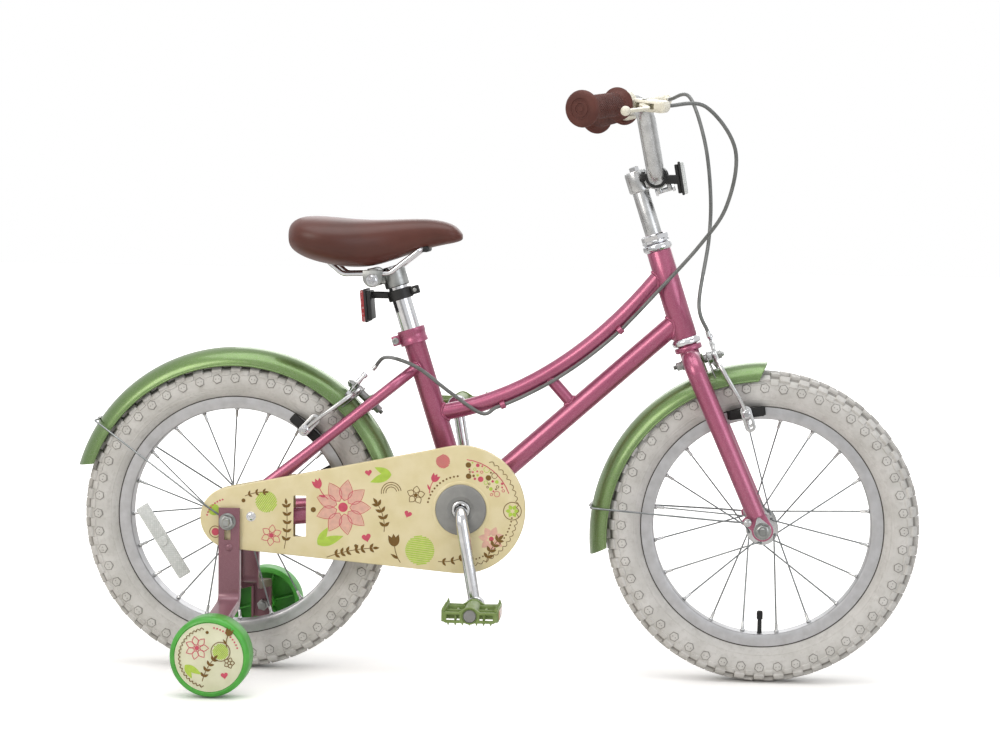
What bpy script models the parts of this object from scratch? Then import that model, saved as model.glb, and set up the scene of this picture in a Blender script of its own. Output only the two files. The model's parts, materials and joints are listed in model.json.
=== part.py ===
# Kids bike with a step-through frame, mudguards, chain guard and stabilisers.
# Metres, +X forward, +Z up, -Y is the chain side. The origin is on the ground, in the
# middle of the bike's length and width.

import math

import bmesh
import bpy
from mathutils import Matrix, Vector

# Wheels and ground
WHEELBASE = 0.695
TYRE_R = 0.2045
TYRE_HALF_W = 0.0265
TREAD_HALF_W = 0.008
RIM_OUTER_R = 0.1605
RIM_DEPTH = 0.0185
RIM_INNER_R = RIM_OUTER_R - RIM_DEPTH
RIM_HALF_W = 0.0135
SPOKE_COUNT = 20
SPOKE_R = 0.001
FLANGE_R = 0.021
FLANGE_Y = 0.030
HUB_R = 0.012
AXLE_R = 0.005
FRONT_DROPOUT_Y = 0.046
REAR_DROPOUT_Y = 0.055
DROPOUT_T = 0.004
WHEEL_STEPS = 24
GAP = 0.0003

# Steering
AXIS_TILT = math.radians(17.9)
FORK_OFFSET = 0.024
HEAD_LOW = 0.266
HEAD_HIGH = 0.385
HEAD_R = 0.016
HEAD_BORE_R = 0.0134
STEERER_R = 0.0127
STEERER_BORE_R = 0.0114
STEERER_TOP = 0.4075
QUILL_R = 0.0111
QUILL_LOW = 0.330
LEG_Y = 0.046
LEG_TOP_R = 0.0125
LEG_LOW_R = 0.0122
CROWN_BEND_R = 0.024
CUP_R = 0.019
ARM_DROP = 0.082
BLOCK_BELOW_RIM_EDGE = 0.010
REAR_PIVOT_R = RIM_OUTER_R - BLOCK_BELOW_RIM_EDGE + ARM_DROP
BRAKE_BOLT_T = REAR_PIVOT_R - 0.0005
CROWN_T = BRAKE_BOLT_T + 0.006
BOLT_R = 0.003
FRONT_BOLT_REACH = 0.020
REAR_BOLT_REACH = 0.020
REAR_BRAKE_ANGLE = math.radians(47)
BRIDGE_R = 0.006

# Stem and handlebar
STEM_REACH = 0.0252
STEM_T = 0.4777
STEM_LOW = 0.465
STEM_TOP = 0.493
STEM_R = 0.0145
BAR_R = 0.0111
BAR_TURN = 0.0380
BAR_RISE = Vector((-0.0184, 0.0320, 0.0966))
BAR_SWEEP = Vector((-0.070, 0.145, -0.015))
BAR_BENDS = [0.020, 0.036]
STEM_CLAMP_HALF_W = 0.0125
BAND_Y = -0.0178
BAR_SIDES = 10
GRIP_LENGTH = 0.096
GRIP_R = 0.0145
GRIP_FLANGE_R = 0.023
BRACKET_LENGTH = 0.020
BRACKET_PLACE = 0.109
BRACKET_REACH = 0.060
BRACKET_H = 0.015
LEVER_TILT = {1: math.radians(12), -1: math.radians(-5)}
LEVER_PIVOT = (0.031, 0.003)
LEVER_POINTS = [(0.031, 0.003), (0.035, 0.015), (0.047, 0.028),
                (0.052, 0.048), (0.050, 0.072), (0.048, 0.086)]
LEVER_T = 0.006
LEVER_W = 0.010
LEVER_TAPER = 0.25
BALL_R = 0.0062

# Frame
BB_FORWARD = 0.305
BB_HEIGHT = 0.2262
BB_R = 0.028
BB_BORE_R = 0.0255
BB_HALF_W = 0.034
SEAT_TILT = math.radians(17.4)
SEAT_TUBE_BACK = 0.004
SEAT_TUBE_TOP = 0.2400
SEAT_TUBE_R = 0.0143
SEAT_BORE_R = 0.0130
SEAT_BORE_DEPTH = 0.178
POST_R = 0.0127
TOP_TUBE_R = 0.0111
DOWN_TUBE_R = 0.0135
DOWN_TUBE_T = 0.291
STAY_R = 0.0070
STAY_FOOT_HALF_W = 0.0055
STAY_FOOT_HALF_H = 0.0085
CHAINSTAY_HALF_W = 0.0072
CHAINSTAY_HALF_H = 0.011
STRUT_R = 0.008

# Saddle: stations from the back to the nose, as distances from the top of the seat post
POST_TOP = 0.328
SADDLE_STATIONS = [
    # x, half width, top, underside
    (-0.1341, 0.0200, 0.0470, 0.0300),
    (-0.1301, 0.0430, 0.0560, 0.0220),
    (-0.1191, 0.0610, 0.0625, 0.0140),
    (-0.1021, 0.0700, 0.0645, 0.0070),
    (-0.0781, 0.0720, 0.0635, 0.0015),
    (-0.0531, 0.0640, 0.0615, -0.0015),
    (-0.0281, 0.0500, 0.0605, -0.0005),
    (-0.0031, 0.0380, 0.0610, 0.0060),
    (0.0219, 0.0315, 0.0620, 0.0150),
    (0.0469, 0.0285, 0.0623, 0.0235),
    (0.0689, 0.0255, 0.0595, 0.0290),
    (0.0839, 0.0205, 0.0535, 0.0320),
    (0.0924, 0.0110, 0.0445, 0.0355),
]
RAIL_Y = 0.022
RAIL_R = 0.0035
RAIL_BEND_R = 0.014
RAIL_POINTS = [(-0.0871, 0.0110), (-0.0621, -0.0105), (-0.0001, -0.0085), (0.0429, 0.0255)]
CLAMP_X = -0.0221
CLAMP_Z = -0.0145
CLAMP_R = 0.0125
REFLECTOR_W = 0.048
REFLECTOR_H = 0.042

# Drive
CHAIN_PITCH = 0.0127
RING_TEETH = 28
SPROCKET_TEETH = 14
CHAIN_Y = 0.0465
CHAIN_HALF_W = 0.0036
CHAIN_HALF_H = 0.004
CRANK_LENGTH = 0.124
CRANK_R = 0.0083
CRANK_TILT = math.radians(10.0)
CRANK_BEND_R = 0.020
ARM_IN_Y = 0.084
ARM_OUT_Y = 0.090
SPINDLE_R = 0.0045
EYE_R = 0.0125
EYE_HALF_T = 0.007
PEDAL_IN_Y = 0.103
PEDAL_WIDTH = 0.068
PEDAL_LENGTH = 0.073
PEDAL_HEIGHT = 0.024
DISC_R = 0.033

# Chain guard
GUARD_Y = 0.070
GUARD_T = 0.002
GUARD_FRONT_R = 0.0835
GUARD_REAR_R = 0.0402
GUARD_REAR_SHIFT = (0.0030, 0.0040)
GUARD_LIP = 0.008
GUARD_HOLE_R = 0.026
INNER_GUARD_Y = 0.0400
INNER_GUARD_T = 0.0015
GUARD_FOOT_X = 0.066
GUARD_FOOT_R = 0.0035
GUARD_SCREWS = [(0.030, 0.211, REAR_DROPOUT_Y + DROPOUT_T), (0.222, 0.2215, 0.0452)]
WINDOW = (0.094, 0.213, 0.0167, 0.0536)

# Mudguards
MUDGUARD_T = 0.0012
MUDGUARD_HALF_W = 0.031
MUDGUARD_DEPTH = 0.0225
MUDGUARD_STEP = math.radians(9.5)
CROWN_FLAT = 18
STRAP_T = 0.0016
STRAP_W = 0.016
STRAP_TOP = 0.008
REAR_MUDGUARD_GAP = 0.019
REAR_MUDGUARD_R = TYRE_R + REAR_MUDGUARD_GAP
REAR_MUDGUARD_FRONT = math.radians(14.0)
REAR_MUDGUARD_TAIL = math.radians(163.6)
FRONT_MUDGUARD_GAP = 0.0265
FRONT_MUDGUARD_R = TYRE_R + FRONT_MUDGUARD_GAP
FRONT_MUDGUARD_SHIFT = Vector((0.005, 0.0, -0.015))
FRONT_MUDGUARD_TIP = math.radians(90.5)
FRONT_MUDGUARD_TAIL = math.radians(186.5)

# Stabilisers
STAB_X = 0.004
STAB_WHEEL_R = 0.051
STAB_WHEEL_OUT_Y = 0.222
STAB_WHEEL_W = 0.035
STAB_LIFT = 0.0015
STAB_ARM_W = 0.028
STAB_ARM_T = 0.003
STAB_ARM_Y = 0.0765
STAB_ARM_OUT_Y = 0.178
STAB_SHELF = 0.036
STAB_BOLT_REACH = 0.034
AXLE_END = 0.0925
STAY_WIRE_R = 0.0012
CABLE_R = 0.0025

# Brake arms and blocks
# Caliper arms from the cable end to the brake block, as (sideways, up) from the centre bolt
OUTER_ARM = [(-0.032, 0.017), (-0.014, 0.011), (0.000, 0.002), (0.020, -0.001), (0.035, -0.011),
             (0.0405, -0.032), (0.0375, -0.060), (0.0300, -ARM_DROP)]
INNER_ARM = [(-0.003, 0.0005), (0.020, -0.003), *OUTER_ARM[4:]]
ARM_W = 0.0095
ARM_T = 0.0056
ARM_BOSS_T = 0.0066
ARM_BOSS_R = 0.0075
INNER_LAYER = 0.00375
OUTER_LAYER = 0.0108
BLOCK_LENGTH = 0.050
BLOCK_HEIGHT = 0.011
BLOCK_T = 0.010
BLOCK_Y = 0.0216
FRONT_BLOCK_REACH = 0.028
REAR_BLOCK_REACH = 0.018
ADJUSTER_H = 0.011

# Wheel sections, spokes and valves
RIM_BED_R = RIM_OUTER_R - 0.0105
RIM_SECTION = [(RIM_BED_R, 0.0088), (RIM_OUTER_R, 0.0112), (RIM_OUTER_R, RIM_HALF_W),
               (RIM_INNER_R + 0.0055, RIM_HALF_W), (RIM_INNER_R, 0.0060)]
TYRE_SECTION = [(RIM_BED_R + 0.0007, 0.0084), (RIM_OUTER_R + 0.0004, 0.0106),
                (RIM_OUTER_R + 0.0095, TYRE_HALF_W - 0.0045), (TYRE_R - 0.0215, TYRE_HALF_W),
                (TYRE_R - 0.0065, TYRE_HALF_W - 0.0065), (TYRE_R, TREAD_HALF_W)]
SPOKE_HOLE_R = 0.018
SPOKE_LEAD = math.radians(50)
SPOKE_RIM_R = RIM_INNER_R - GAP
FLANGE_T = 0.0018
SPOKE_OFFSET = 0.0015
VALVE_R = 0.003
VALVE_REACH = RIM_INNER_R - 0.030
FRONT_VALVE = math.radians(-90.0)
REAR_VALVE = math.radians(28.0)
FRONT_LEAD = 1
REAR_LEAD = -1

# Where the rear axle goes, so that the origin is in the middle of the length
TAIL_REACH = -REAR_MUDGUARD_R * math.cos(REAR_MUDGUARD_TAIL)
REAR_X = -(WHEELBASE + TYRE_R - TAIL_REACH) / 2
REAR_AXLE = Vector((REAR_X, 0, TYRE_R))
FRONT_AXLE = Vector((REAR_X + WHEELBASE, 0, TYRE_R))
BB = Vector((REAR_X + BB_FORWARD, 0, BB_HEIGHT))
X_AXIS = Vector((1, 0, 0))
Y_AXIS = Vector((0, 1, 0))
Z_AXIS = Vector((0, 0, 1))
STEER_UP = Vector((-math.sin(AXIS_TILT), 0, math.cos(AXIS_TILT)))
STEER_FORE = Vector((math.cos(AXIS_TILT), 0, math.sin(AXIS_TILT)))
SEAT_UP = Vector((-math.sin(SEAT_TILT), 0, math.cos(SEAT_TILT)))
SEAT_FORE = Vector((math.cos(SEAT_TILT), 0, math.sin(SEAT_TILT)))

MATERIALS = {
    "frame_paint": ("#b5637f", 0.35, 0.6),
    "guard_paint": ("#7a9a5a", 0.35, 0.6),
    "bracket_paint": ("#94606e", 0.45, 0.3),
    "chrome": ("#d5d5d8", 0.12, 1.0),
    "silver": ("#c4c4c4", 0.3, 1.0),
    "steel": ("#8d8d8f", 0.35, 1.0),
    "black_plastic": ("#1c1c1c", 0.5, 0.0),
    "tyre": ("#bdbbb6", 0.85, 0.0),
    "grip": ("#5a3028", 0.6, 0.0),
    "saddle": ("#5a3028", 0.5, 0.0),
    "ivory_plastic": ("#ece8d4", 0.4, 0.0),
    "cream_plastic": ("#e3d6ac", 0.4, 0.0),
    "grey_plastic": ("#8f8f8c", 0.45, 0.0),
    "olive_plastic": ("#7e9a4c", 0.45, 0.0),
    "green_plastic": ("#4fae3f", 0.4, 0.0),
    "cable": ("#6d6a66", 0.5, 0.0),
    "red_lens": ("#b01c1c", 0.15, 0.0),
    "clear_lens": ("#e6e6e6", 0.15, 0.0),
}


# Materials and objects

def linear(channel):
    if channel <= 0.04045:
        return channel / 12.92
    return ((channel + 0.055) / 1.055) ** 2.4


def material(name):
    found = bpy.data.materials.get(name)
    if found:
        return found
    colour, rough, metallic = MATERIALS[name]
    made = bpy.data.materials.new(name)
    made.use_nodes = True
    shader = made.node_tree.nodes["Principled BSDF"]
    rgb = [linear(int(colour[i:i + 2], 16) / 255) for i in (1, 3, 5)]
    shader.inputs["Base Color"].default_value = (*rgb, 1)
    shader.inputs["Roughness"].default_value = rough
    shader.inputs["Metallic"].default_value = metallic
    return made


def clear_scene():
    for thing in list(bpy.data.objects):
        bpy.data.objects.remove(thing)


def finish_mesh(bm):
    bmesh.ops.remove_doubles(bm, verts=bm.verts, dist=1e-6)
    bmesh.ops.recalc_face_normals(bm, faces=bm.faces)
    return bm


def add_object(name, bm, slot, origin=None, smooth=True):
    # The mesh is made in world space; the object's origin goes to the given point.
    mesh = bpy.data.meshes.new(name)
    if origin is not None:
        bmesh.ops.translate(bm, verts=bm.verts, vec=-Vector(origin))
    bm.to_mesh(mesh)
    bm.free()
    mesh.materials.append(material(slot))
    thing = bpy.data.objects.new(name, mesh)
    if origin is not None:
        thing.location = origin
    bpy.context.scene.collection.objects.link(thing)
    if smooth:
        mesh.shade_smooth()
        mesh.set_sharp_from_angle(angle=math.radians(35))
    return thing


def combined(base, others, operation):
    # Welds shapes together, or cuts them away, with an exact Boolean.
    def temporary(bm):
        mesh = bpy.data.meshes.new("temporary")
        bm.to_mesh(mesh)
        bm.free()
        thing = bpy.data.objects.new("temporary", mesh)
        bpy.context.scene.collection.objects.link(thing)
        return thing

    target = temporary(base)
    tools = [temporary(other) for other in others]
    for tool in tools:
        step = target.modifiers.new("step", "BOOLEAN")
        step.operation = operation
        step.solver = "EXACT"
        step.object = tool
    graph = bpy.context.evaluated_depsgraph_get()
    bm = bmesh.new()
    bm.from_object(target, graph)
    for thing in [target, *tools]:
        mesh = thing.data
        bpy.data.objects.remove(thing)
        bpy.data.meshes.remove(mesh)
    bmesh.ops.remove_doubles(bm, verts=bm.verts, dist=1e-6)
    bmesh.ops.dissolve_degenerate(bm, edges=bm.edges, dist=1e-7)
    return bm


def welded(base, *others):
    return combined(base, others, "UNION")


def cut(base, *others):
    return combined(base, others, "DIFFERENCE")


def mirrored(bm):
    copy = bm.copy()
    bmesh.ops.scale(copy, vec=(1, -1, 1), verts=copy.verts)
    bmesh.ops.reverse_faces(copy, faces=copy.faces)
    return copy


def on_side(bm, side):
    # Shapes are modelled on the left (+Y) and mirrored for the right.
    if side > 0:
        return bm
    flipped = mirrored(bm)
    bm.free()
    return flipped


# Basic shapes

def turned(profile, start, axis, steps=16, turn=0.0):
    # A round piece: the profile's points are (radius, distance along the axis).
    bm = bmesh.new()
    verts = [bm.verts.new((r, 0, h)) for r, h in profile]
    closed = min(r for r, h in profile) > 1e-7
    pairs = list(zip(verts, verts[1:]))
    if closed:
        pairs.append((verts[-1], verts[0]))
    edges = [bm.edges.new(pair) for pair in pairs]
    bmesh.ops.spin(bm, geom=verts + edges, cent=(0, 0, 0), axis=(0, 0, 1),
                   angle=math.tau, steps=steps, use_merge=True, use_duplicate=False)
    finish_mesh(bm)
    place = Vector(axis).to_track_quat("Z", "Y").to_matrix().to_4x4()
    spin = Matrix.Rotation(turn, 4, "Z")
    bmesh.ops.transform(bm, matrix=Matrix.Translation(Vector(start)) @ place @ spin, verts=bm.verts)
    return bm


def rod(start, end, radius, steps=10, end_radius=None):
    span = Vector(end) - Vector(start)
    last = radius if end_radius is None else end_radius
    bm = bmesh.new()
    bmesh.ops.create_cone(bm, cap_ends=True, segments=steps, radius1=radius, radius2=last, depth=span.length)
    place = span.to_track_quat("Z", "Y").to_matrix().to_4x4()
    middle = Matrix.Translation((Vector(start) + Vector(end)) / 2)
    bmesh.ops.transform(bm, matrix=middle @ place, verts=bm.verts)
    return bm


def snug(radius, steps):
    # The radius of a many-sided bore that clears a round of the given radius.
    return (radius + GAP) / math.cos(math.pi / steps)


def ring(start, end, radius, bore, steps=10):
    span = Vector(end) - Vector(start)
    profile = [(bore, 0), (radius, 0), (radius, span.length), (bore, span.length)]
    return turned(profile, start, span, steps)


def hexagon(start, end, radius):
    return rod(start, end, radius, 6)


def block(centre, size, turn=None):
    bm = bmesh.new()
    bmesh.ops.create_cube(bm, size=1)
    bmesh.ops.scale(bm, vec=size, verts=bm.verts)
    if turn is not None:
        bmesh.ops.transform(bm, matrix=turn.to_4x4(), verts=bm.verts)
    bmesh.ops.translate(bm, vec=centre, verts=bm.verts)
    bmesh.ops.recalc_face_normals(bm, faces=bm.faces)
    return bm


def plate(outline, y_low, y_high):
    # A flat plate: an outline of (x, z) points pulled out along Y.
    bm = bmesh.new()
    face = bm.faces.new([bm.verts.new((x, y_low, z)) for x, z in outline])
    pulled = bmesh.ops.extrude_face_region(bm, geom=[face])
    moved = [v for v in pulled["geom"] if isinstance(v, bmesh.types.BMVert)]
    bmesh.ops.translate(bm, vec=(0, y_high - y_low, 0), verts=moved)
    return finish_mesh(bm)


def arc(centre, radius, start, end, steps):
    # Points of an arc in the XZ plane.
    angles = [start + (end - start) * i / steps for i in range(steps + 1)]
    return [(centre[0] + radius * math.cos(a), centre[1] + radius * math.sin(a)) for a in angles]


def frames_along(points, up):
    # A side and an up direction at each point of a path.
    result = []
    side = None
    for i, point in enumerate(points):
        ahead = points[min(i + 1, len(points) - 1)] - point
        behind = point - points[max(i - 1, 0)]
        if ahead.length < 1e-9:
            ahead = behind
        if behind.length < 1e-9:
            behind = ahead
        tangent = (ahead.normalized() + behind.normalized()).normalized()
        if up is not None:
            side = tangent.cross(up(point) if callable(up) else up).normalized()
        elif side is None:
            side = tangent.orthogonal().normalized()
        else:
            side = (side - tangent * side.dot(tangent)).normalized()
        stretch = 1 / max(0.5, tangent.dot(ahead.normalized()))
        result.append((point, side, side.cross(tangent), stretch))
    return result


def swept(points, section, up=None, size=None):
    # A solid along a path. The section's points are (side, up); size scales both at each point.
    bm = bmesh.new()
    rings = []
    for i, (point, side, rise, stretch) in enumerate(frames_along(points, up)):
        wide, tall = size[i] if size else (1, 1)
        rings.append([bm.verts.new(point + side * a * wide + rise * b * tall) for a, b in section])
    count = len(section)
    for low, high in zip(rings, rings[1:]):
        for i in range(count):
            j = (i + 1) % count
            bm.faces.new((low[i], low[j], high[j], high[i]))
    bm.faces.new(rings[0])
    bm.faces.new(rings[-1])
    bmesh.ops.recalc_face_normals(bm, faces=bm.faces)
    return bm


def swept_flat(points, section, side):
    # A strip bent about one direction, which stays its side direction all along.
    def up_at(point):
        return side
    turned_section = [(-b, a) for a, b in section]
    return swept(points, turned_section, up=up_at)


def oval(half_side, half_up, sides=10):
    turns = [math.tau * (i + 0.5) / sides for i in range(sides)]
    return [(half_side * math.cos(a), half_up * math.sin(a)) for a in turns]


def bar_section(width, thickness):
    return [(-width / 2, -thickness / 2), (width / 2, -thickness / 2),
            (width / 2, thickness / 2), (-width / 2, thickness / 2)]


def tube(points, radius, sides=10):
    return swept(points, oval(radius, radius, sides))


def rounded(points, radii, step=math.radians(20)):
    # A path whose corners are arcs, with one radius for all of them or one for each.
    points = [Vector(point) for point in points]
    if not isinstance(radii, list):
        radii = [radii] * (len(points) - 2)
    path = [points[0]]
    for before, corner, after, radius in zip(points, points[1:], points[2:], radii):
        back = (before - corner).normalized()
        on = (after - corner).normalized()
        turn = math.pi - back.angle(on)
        if turn < 1e-4:
            path.append(corner)
            continue
        reach = radius * math.tan(turn / 2)
        centre = corner + (back + on).normalized() * math.hypot(radius, reach)
        first = corner + back * reach - centre
        normal = first.cross(corner + on * reach - centre).normalized()
        count = max(2, round(turn / step))
        for i in range(count + 1):
            path.append(centre + Matrix.Rotation(turn * i / count, 3, normal) @ first)
    path.append(points[-1])
    return path


def curve_through(points, per_span=3):
    # A smooth curve through hand-chosen points.
    points = [Vector(p) for p in points]
    ends = [2 * points[0] - points[1], *points, 2 * points[-1] - points[-2]]
    path = []
    for a, b, c, d in zip(ends, ends[1:], ends[2:], ends[3:]):
        for i in range(per_span):
            t = i / per_span
            path.append(0.5 * (2 * b + (c - a) * t + (2 * a - 5 * b + 4 * c - d) * t * t
                               + (3 * b - a - 3 * c + d) * t ** 3))
    path.append(points[-1])
    return path


def steer(t, fore, y=0.0):
    # A point given by its height along the steering axis and its distance in front of it.
    foot = FRONT_AXLE - STEER_FORE * FORK_OFFSET
    return foot + STEER_UP * t + STEER_FORE * fore + Y_AXIS * y


def seat(t, fore=0.0, y=0.0):
    # A point given by its distance up the seat tube from the bottom bracket.
    foot = BB - SEAT_FORE * SEAT_TUBE_BACK
    return foot + SEAT_UP * t + SEAT_FORE * fore + Y_AXIS * y


def from_post(x, y, z):
    # A point given by its distance forwards, to the left and up from the top of the seat post.
    return seat(POST_TOP) + Vector((x, y, z))


def from_rear_axle(x, y, z):
    # A point given by its distance in front of the rear axle, to the left and above the ground.
    return Vector((REAR_AXLE.x + x, y, z))


def from_front_axle(x, y, z):
    return Vector((FRONT_AXLE.x + x, y, z))


# Frame and what is fixed to it

def top_tube_path():
    start = seat(0.125)
    end = steer(0.358, 0)
    first = start + Vector((math.cos(math.radians(9)), 0, math.sin(math.radians(9)))) * 0.120
    second = end - Vector((math.cos(math.radians(52)), 0, math.sin(math.radians(52)))) * 0.130
    path = []
    for i in range(13):
        t = i / 12
        path.append(start * (1 - t) ** 3 + first * 3 * t * (1 - t) ** 2
                    + second * 3 * t * t * (1 - t) + end * t ** 3)
    return path


def seat_stay_path():
    high = seat(0.1935, 0, 0.004)
    bend = high + Vector((-0.030, 0.037, -0.0245))
    low = REAR_AXLE + Vector((0.018, 0.0590, 0.0225))
    return rounded([high, bend, low], 0.025)


def seat_stay(path):
    # A round tube whose lower part is pressed flatter and taller towards the dropout.
    points = path[:-1] + [path[-2].lerp(path[-1], 0.45), path[-1]]
    size = [(1, 1)] * (len(points) - 1) + [(STAY_FOOT_HALF_W / STAY_R, STAY_FOOT_HALF_H / STAY_R)]
    return swept(points, oval(STAY_R, STAY_R, 8), up=Z_AXIS, size=size)


def chainstay_path():
    start = BB + Vector((-0.018, 0.0305, -0.001))
    end = REAR_AXLE + Vector((0.046, 0.0545, 0.003))
    return [start, end]


def make_frame():
    foot, crown = steer(HEAD_LOW, 0), steer(HEAD_HIGH, 0)
    head = rod(foot, crown, HEAD_R, 12)
    seat_tube = rod(seat(0.012), seat(SEAT_TUBE_TOP), SEAT_TUBE_R, 12)
    shell = rod(BB - Y_AXIS * BB_HALF_W, BB + Y_AXIS * BB_HALF_W, BB_R, 12)
    down = rod(BB + Vector((0.012, 0, 0.0106)), steer(DOWN_TUBE_T, 0), DOWN_TUBE_R, 12)
    top = tube(top_tube_path(), TOP_TUBE_R, 10)
    strut_top = top_tube_path()[5].lerp(top_tube_path()[6], 0.3)
    down_way = (steer(DOWN_TUBE_T, 0) - BB).normalized()
    strut_low = BB + down_way * (strut_top - BB).dot(down_way)
    parts = [seat_tube, shell, down, top, rod(strut_top, strut_low, STRUT_R, 12)]
    stay, chainstay = seat_stay_path(), chainstay_path()
    bridge = stay_bridge()
    low_bridge = chainstay[0].lerp(chainstay[-1], 0.16)
    for side in (1, -1):
        parts.append(on_side(seat_stay(stay), side))
        parts.append(on_side(swept(chainstay, oval(CHAINSTAY_HALF_W, CHAINSTAY_HALF_H, 8),
                                   up=Z_AXIS), side))
        tip = arc((REAR_AXLE.x, REAR_AXLE.z), 0.017, math.radians(95), math.radians(285), 6)
        tab = plate([*tip, (REAR_AXLE.x + 0.052, REAR_AXLE.z - 0.006),
                     (REAR_AXLE.x + 0.052, REAR_AXLE.z + 0.012),
                     (REAR_AXLE.x + 0.026, REAR_AXLE.z + 0.026)],
                    REAR_DROPOUT_Y, REAR_DROPOUT_Y + DROPOUT_T)
        parts.append(on_side(tab, side))
    for end in (bridge, low_bridge):
        parts.append(rod(end, Vector((end.x, -end.y, end.z)), BRIDGE_R, 8))
    parts += cable_clips()
    solid = welded(head, *parts)
    bolt_way = rear_brake_way()
    holes = [
        rod(foot - STEER_UP * 0.02, crown + STEER_UP * 0.02, HEAD_BORE_R, 12),
        rod(seat(SEAT_TUBE_TOP - SEAT_BORE_DEPTH), seat(SEAT_TUBE_TOP + 0.02), SEAT_BORE_R, 12),
        rod(BB - Y_AXIS * 0.05, BB + Y_AXIS * 0.05, BB_BORE_R, 12),
        rod(REAR_AXLE - Y_AXIS * 0.08, REAR_AXLE + Y_AXIS * 0.08, AXLE_R + GAP, 12),
        rod(rear_brake_pivot() - bolt_way * 0.06, rear_brake_pivot() + bolt_way * 0.02,
            BOLT_R + GAP, 10),
    ]
    cups = [crank_cup(1), crank_cup(-1)]
    add_object("frame", welded(cut(solid, *holes), *cups), "frame_paint")


def beside_top_tube(index):
    # A place for the cable below the top tube on the chain side, and the tube's direction.
    path = top_tube_path()
    along = (path[index + 1] - path[index - 1]).normalized()
    out = (along.cross(-Y_AXIS) - Y_AXIS).normalized()
    return path[index] + out * (TOP_TUBE_R + 0.0040), along


def clip_places():
    return [beside_top_tube(index) for index in (3, 9)]


def cable_clips():
    return [ring(place - along * 0.003, place + along * 0.003, CABLE_R + 0.0031, CABLE_R + 0.0011, 8)
            for place, along in clip_places()]


def rear_brake_up():
    # From the rear axle towards the rear brake.
    return Vector((math.cos(REAR_BRAKE_ANGLE), 0, math.sin(REAR_BRAKE_ANGLE)))


def rear_brake_way():
    # The rear brake's centre bolt points up and back, square to the wheel's radius there.
    return Vector((-math.sin(REAR_BRAKE_ANGLE), 0, math.cos(REAR_BRAKE_ANGLE)))


def stay_bridge():
    # The place on the left seat stay that is level with the rear brake's bolt.
    low, high = seat_stay_path()[-1], seat_stay_path()[-2]
    up = rear_brake_up()
    share = (REAR_PIVOT_R - (low - REAR_AXLE).dot(up)) / (high - low).dot(up)
    return low.lerp(high, share)


def rear_brake_pivot():
    bridge = stay_bridge()
    return Vector((bridge.x, 0, bridge.z)) + rear_brake_way() * REAR_BOLT_REACH


def make_seat_clamp():
    low, high = seat(SEAT_TUBE_TOP - 0.018), seat(SEAT_TUBE_TOP + 0.002)
    collar = rod(low, high, 0.0185, 12)
    middle = low.lerp(high, 0.5)
    turn = Matrix((SEAT_FORE, Y_AXIS, SEAT_UP)).transposed()
    ear = block(middle - SEAT_FORE * 0.0215, (0.011, 0.016, 0.013), turn)
    slot = block(middle - SEAT_FORE * 0.0215, (0.022, 0.002, 0.03), turn)
    core = rod(low - SEAT_UP * 0.01, high + SEAT_UP * 0.01, SEAT_TUBE_R + GAP, 12)
    hole = rod(middle - SEAT_FORE * 0.0225 - Y_AXIS * 0.02,
               middle - SEAT_FORE * 0.0225 + Y_AXIS * 0.02, 0.0025 + GAP, 8)
    add_object("seat_clamp", cut(welded(collar, ear), core, slot, hole), "frame_paint")


def make_headset():
    upper = turned([(HEAD_BORE_R, 0), (HEAD_R + 0.001, 0), (CUP_R, 0.003), (CUP_R, 0.008),
                    (CUP_R - 0.002, 0.0095), (HEAD_BORE_R, 0.0095)],
                   steer(HEAD_HIGH + GAP, 0), STEER_UP, 12)
    lower = turned([(HEAD_BORE_R, 0), (CUP_R - 0.002, 0), (CUP_R, 0.0015), (CUP_R, 0.006),
                    (HEAD_R + 0.001, 0.009), (HEAD_BORE_R, 0.009)],
                   steer(HEAD_LOW - GAP - 0.009, 0), STEER_UP, 12)
    add_object("headset_cup_upper", upper, "chrome")
    add_object("headset_cup_lower", lower, "chrome")


def crank_cup(side):
    start = BB + Y_AXIS * side * (BB_HALF_W - 0.001)
    return turned([(CRANK_R + 0.0007, 0), (BB_R - 0.001, 0), (0.022, 0.005), (CRANK_R + 0.0007, 0.005)],
                  start, Y_AXIS * side, 12)


def make_rear_axle():
    # The threaded axle with its cones, the nuts on the dropouts and the outer nuts.
    cone = REAR_DROPOUT_Y - GAP
    outer = REAR_DROPOUT_Y + DROPOUT_T + GAP
    arm = STAB_ARM_Y + STAB_ARM_T / 2 + GAP
    half = [(AXLE_R, outer), (0.0095, outer), (0.0095, GUARD_Y - GAP), (AXLE_R, GUARD_Y - GAP),
            (AXLE_R, arm), (0.0115, arm), (0.0115, arm + 0.0015), (0.0090, arm + 0.0015),
            (0.0090, arm + 0.0100), (AXLE_R, arm + 0.0100), (AXLE_R, AXLE_END), (0, AXLE_END)]
    profile = [(r, -y) for r, y in half[::-1]]
    profile += [(AXLE_R, -cone), (0.009, -cone), (0.009, -cone + 0.0045), (AXLE_R, -cone + 0.0045),
                (AXLE_R, cone - 0.0135), (0.009, cone - 0.0135), (0.009, cone), (AXLE_R, cone)]
    add_object("rear_axle", turned(profile + half, REAR_AXLE, Y_AXIS, 8), "steel")


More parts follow.
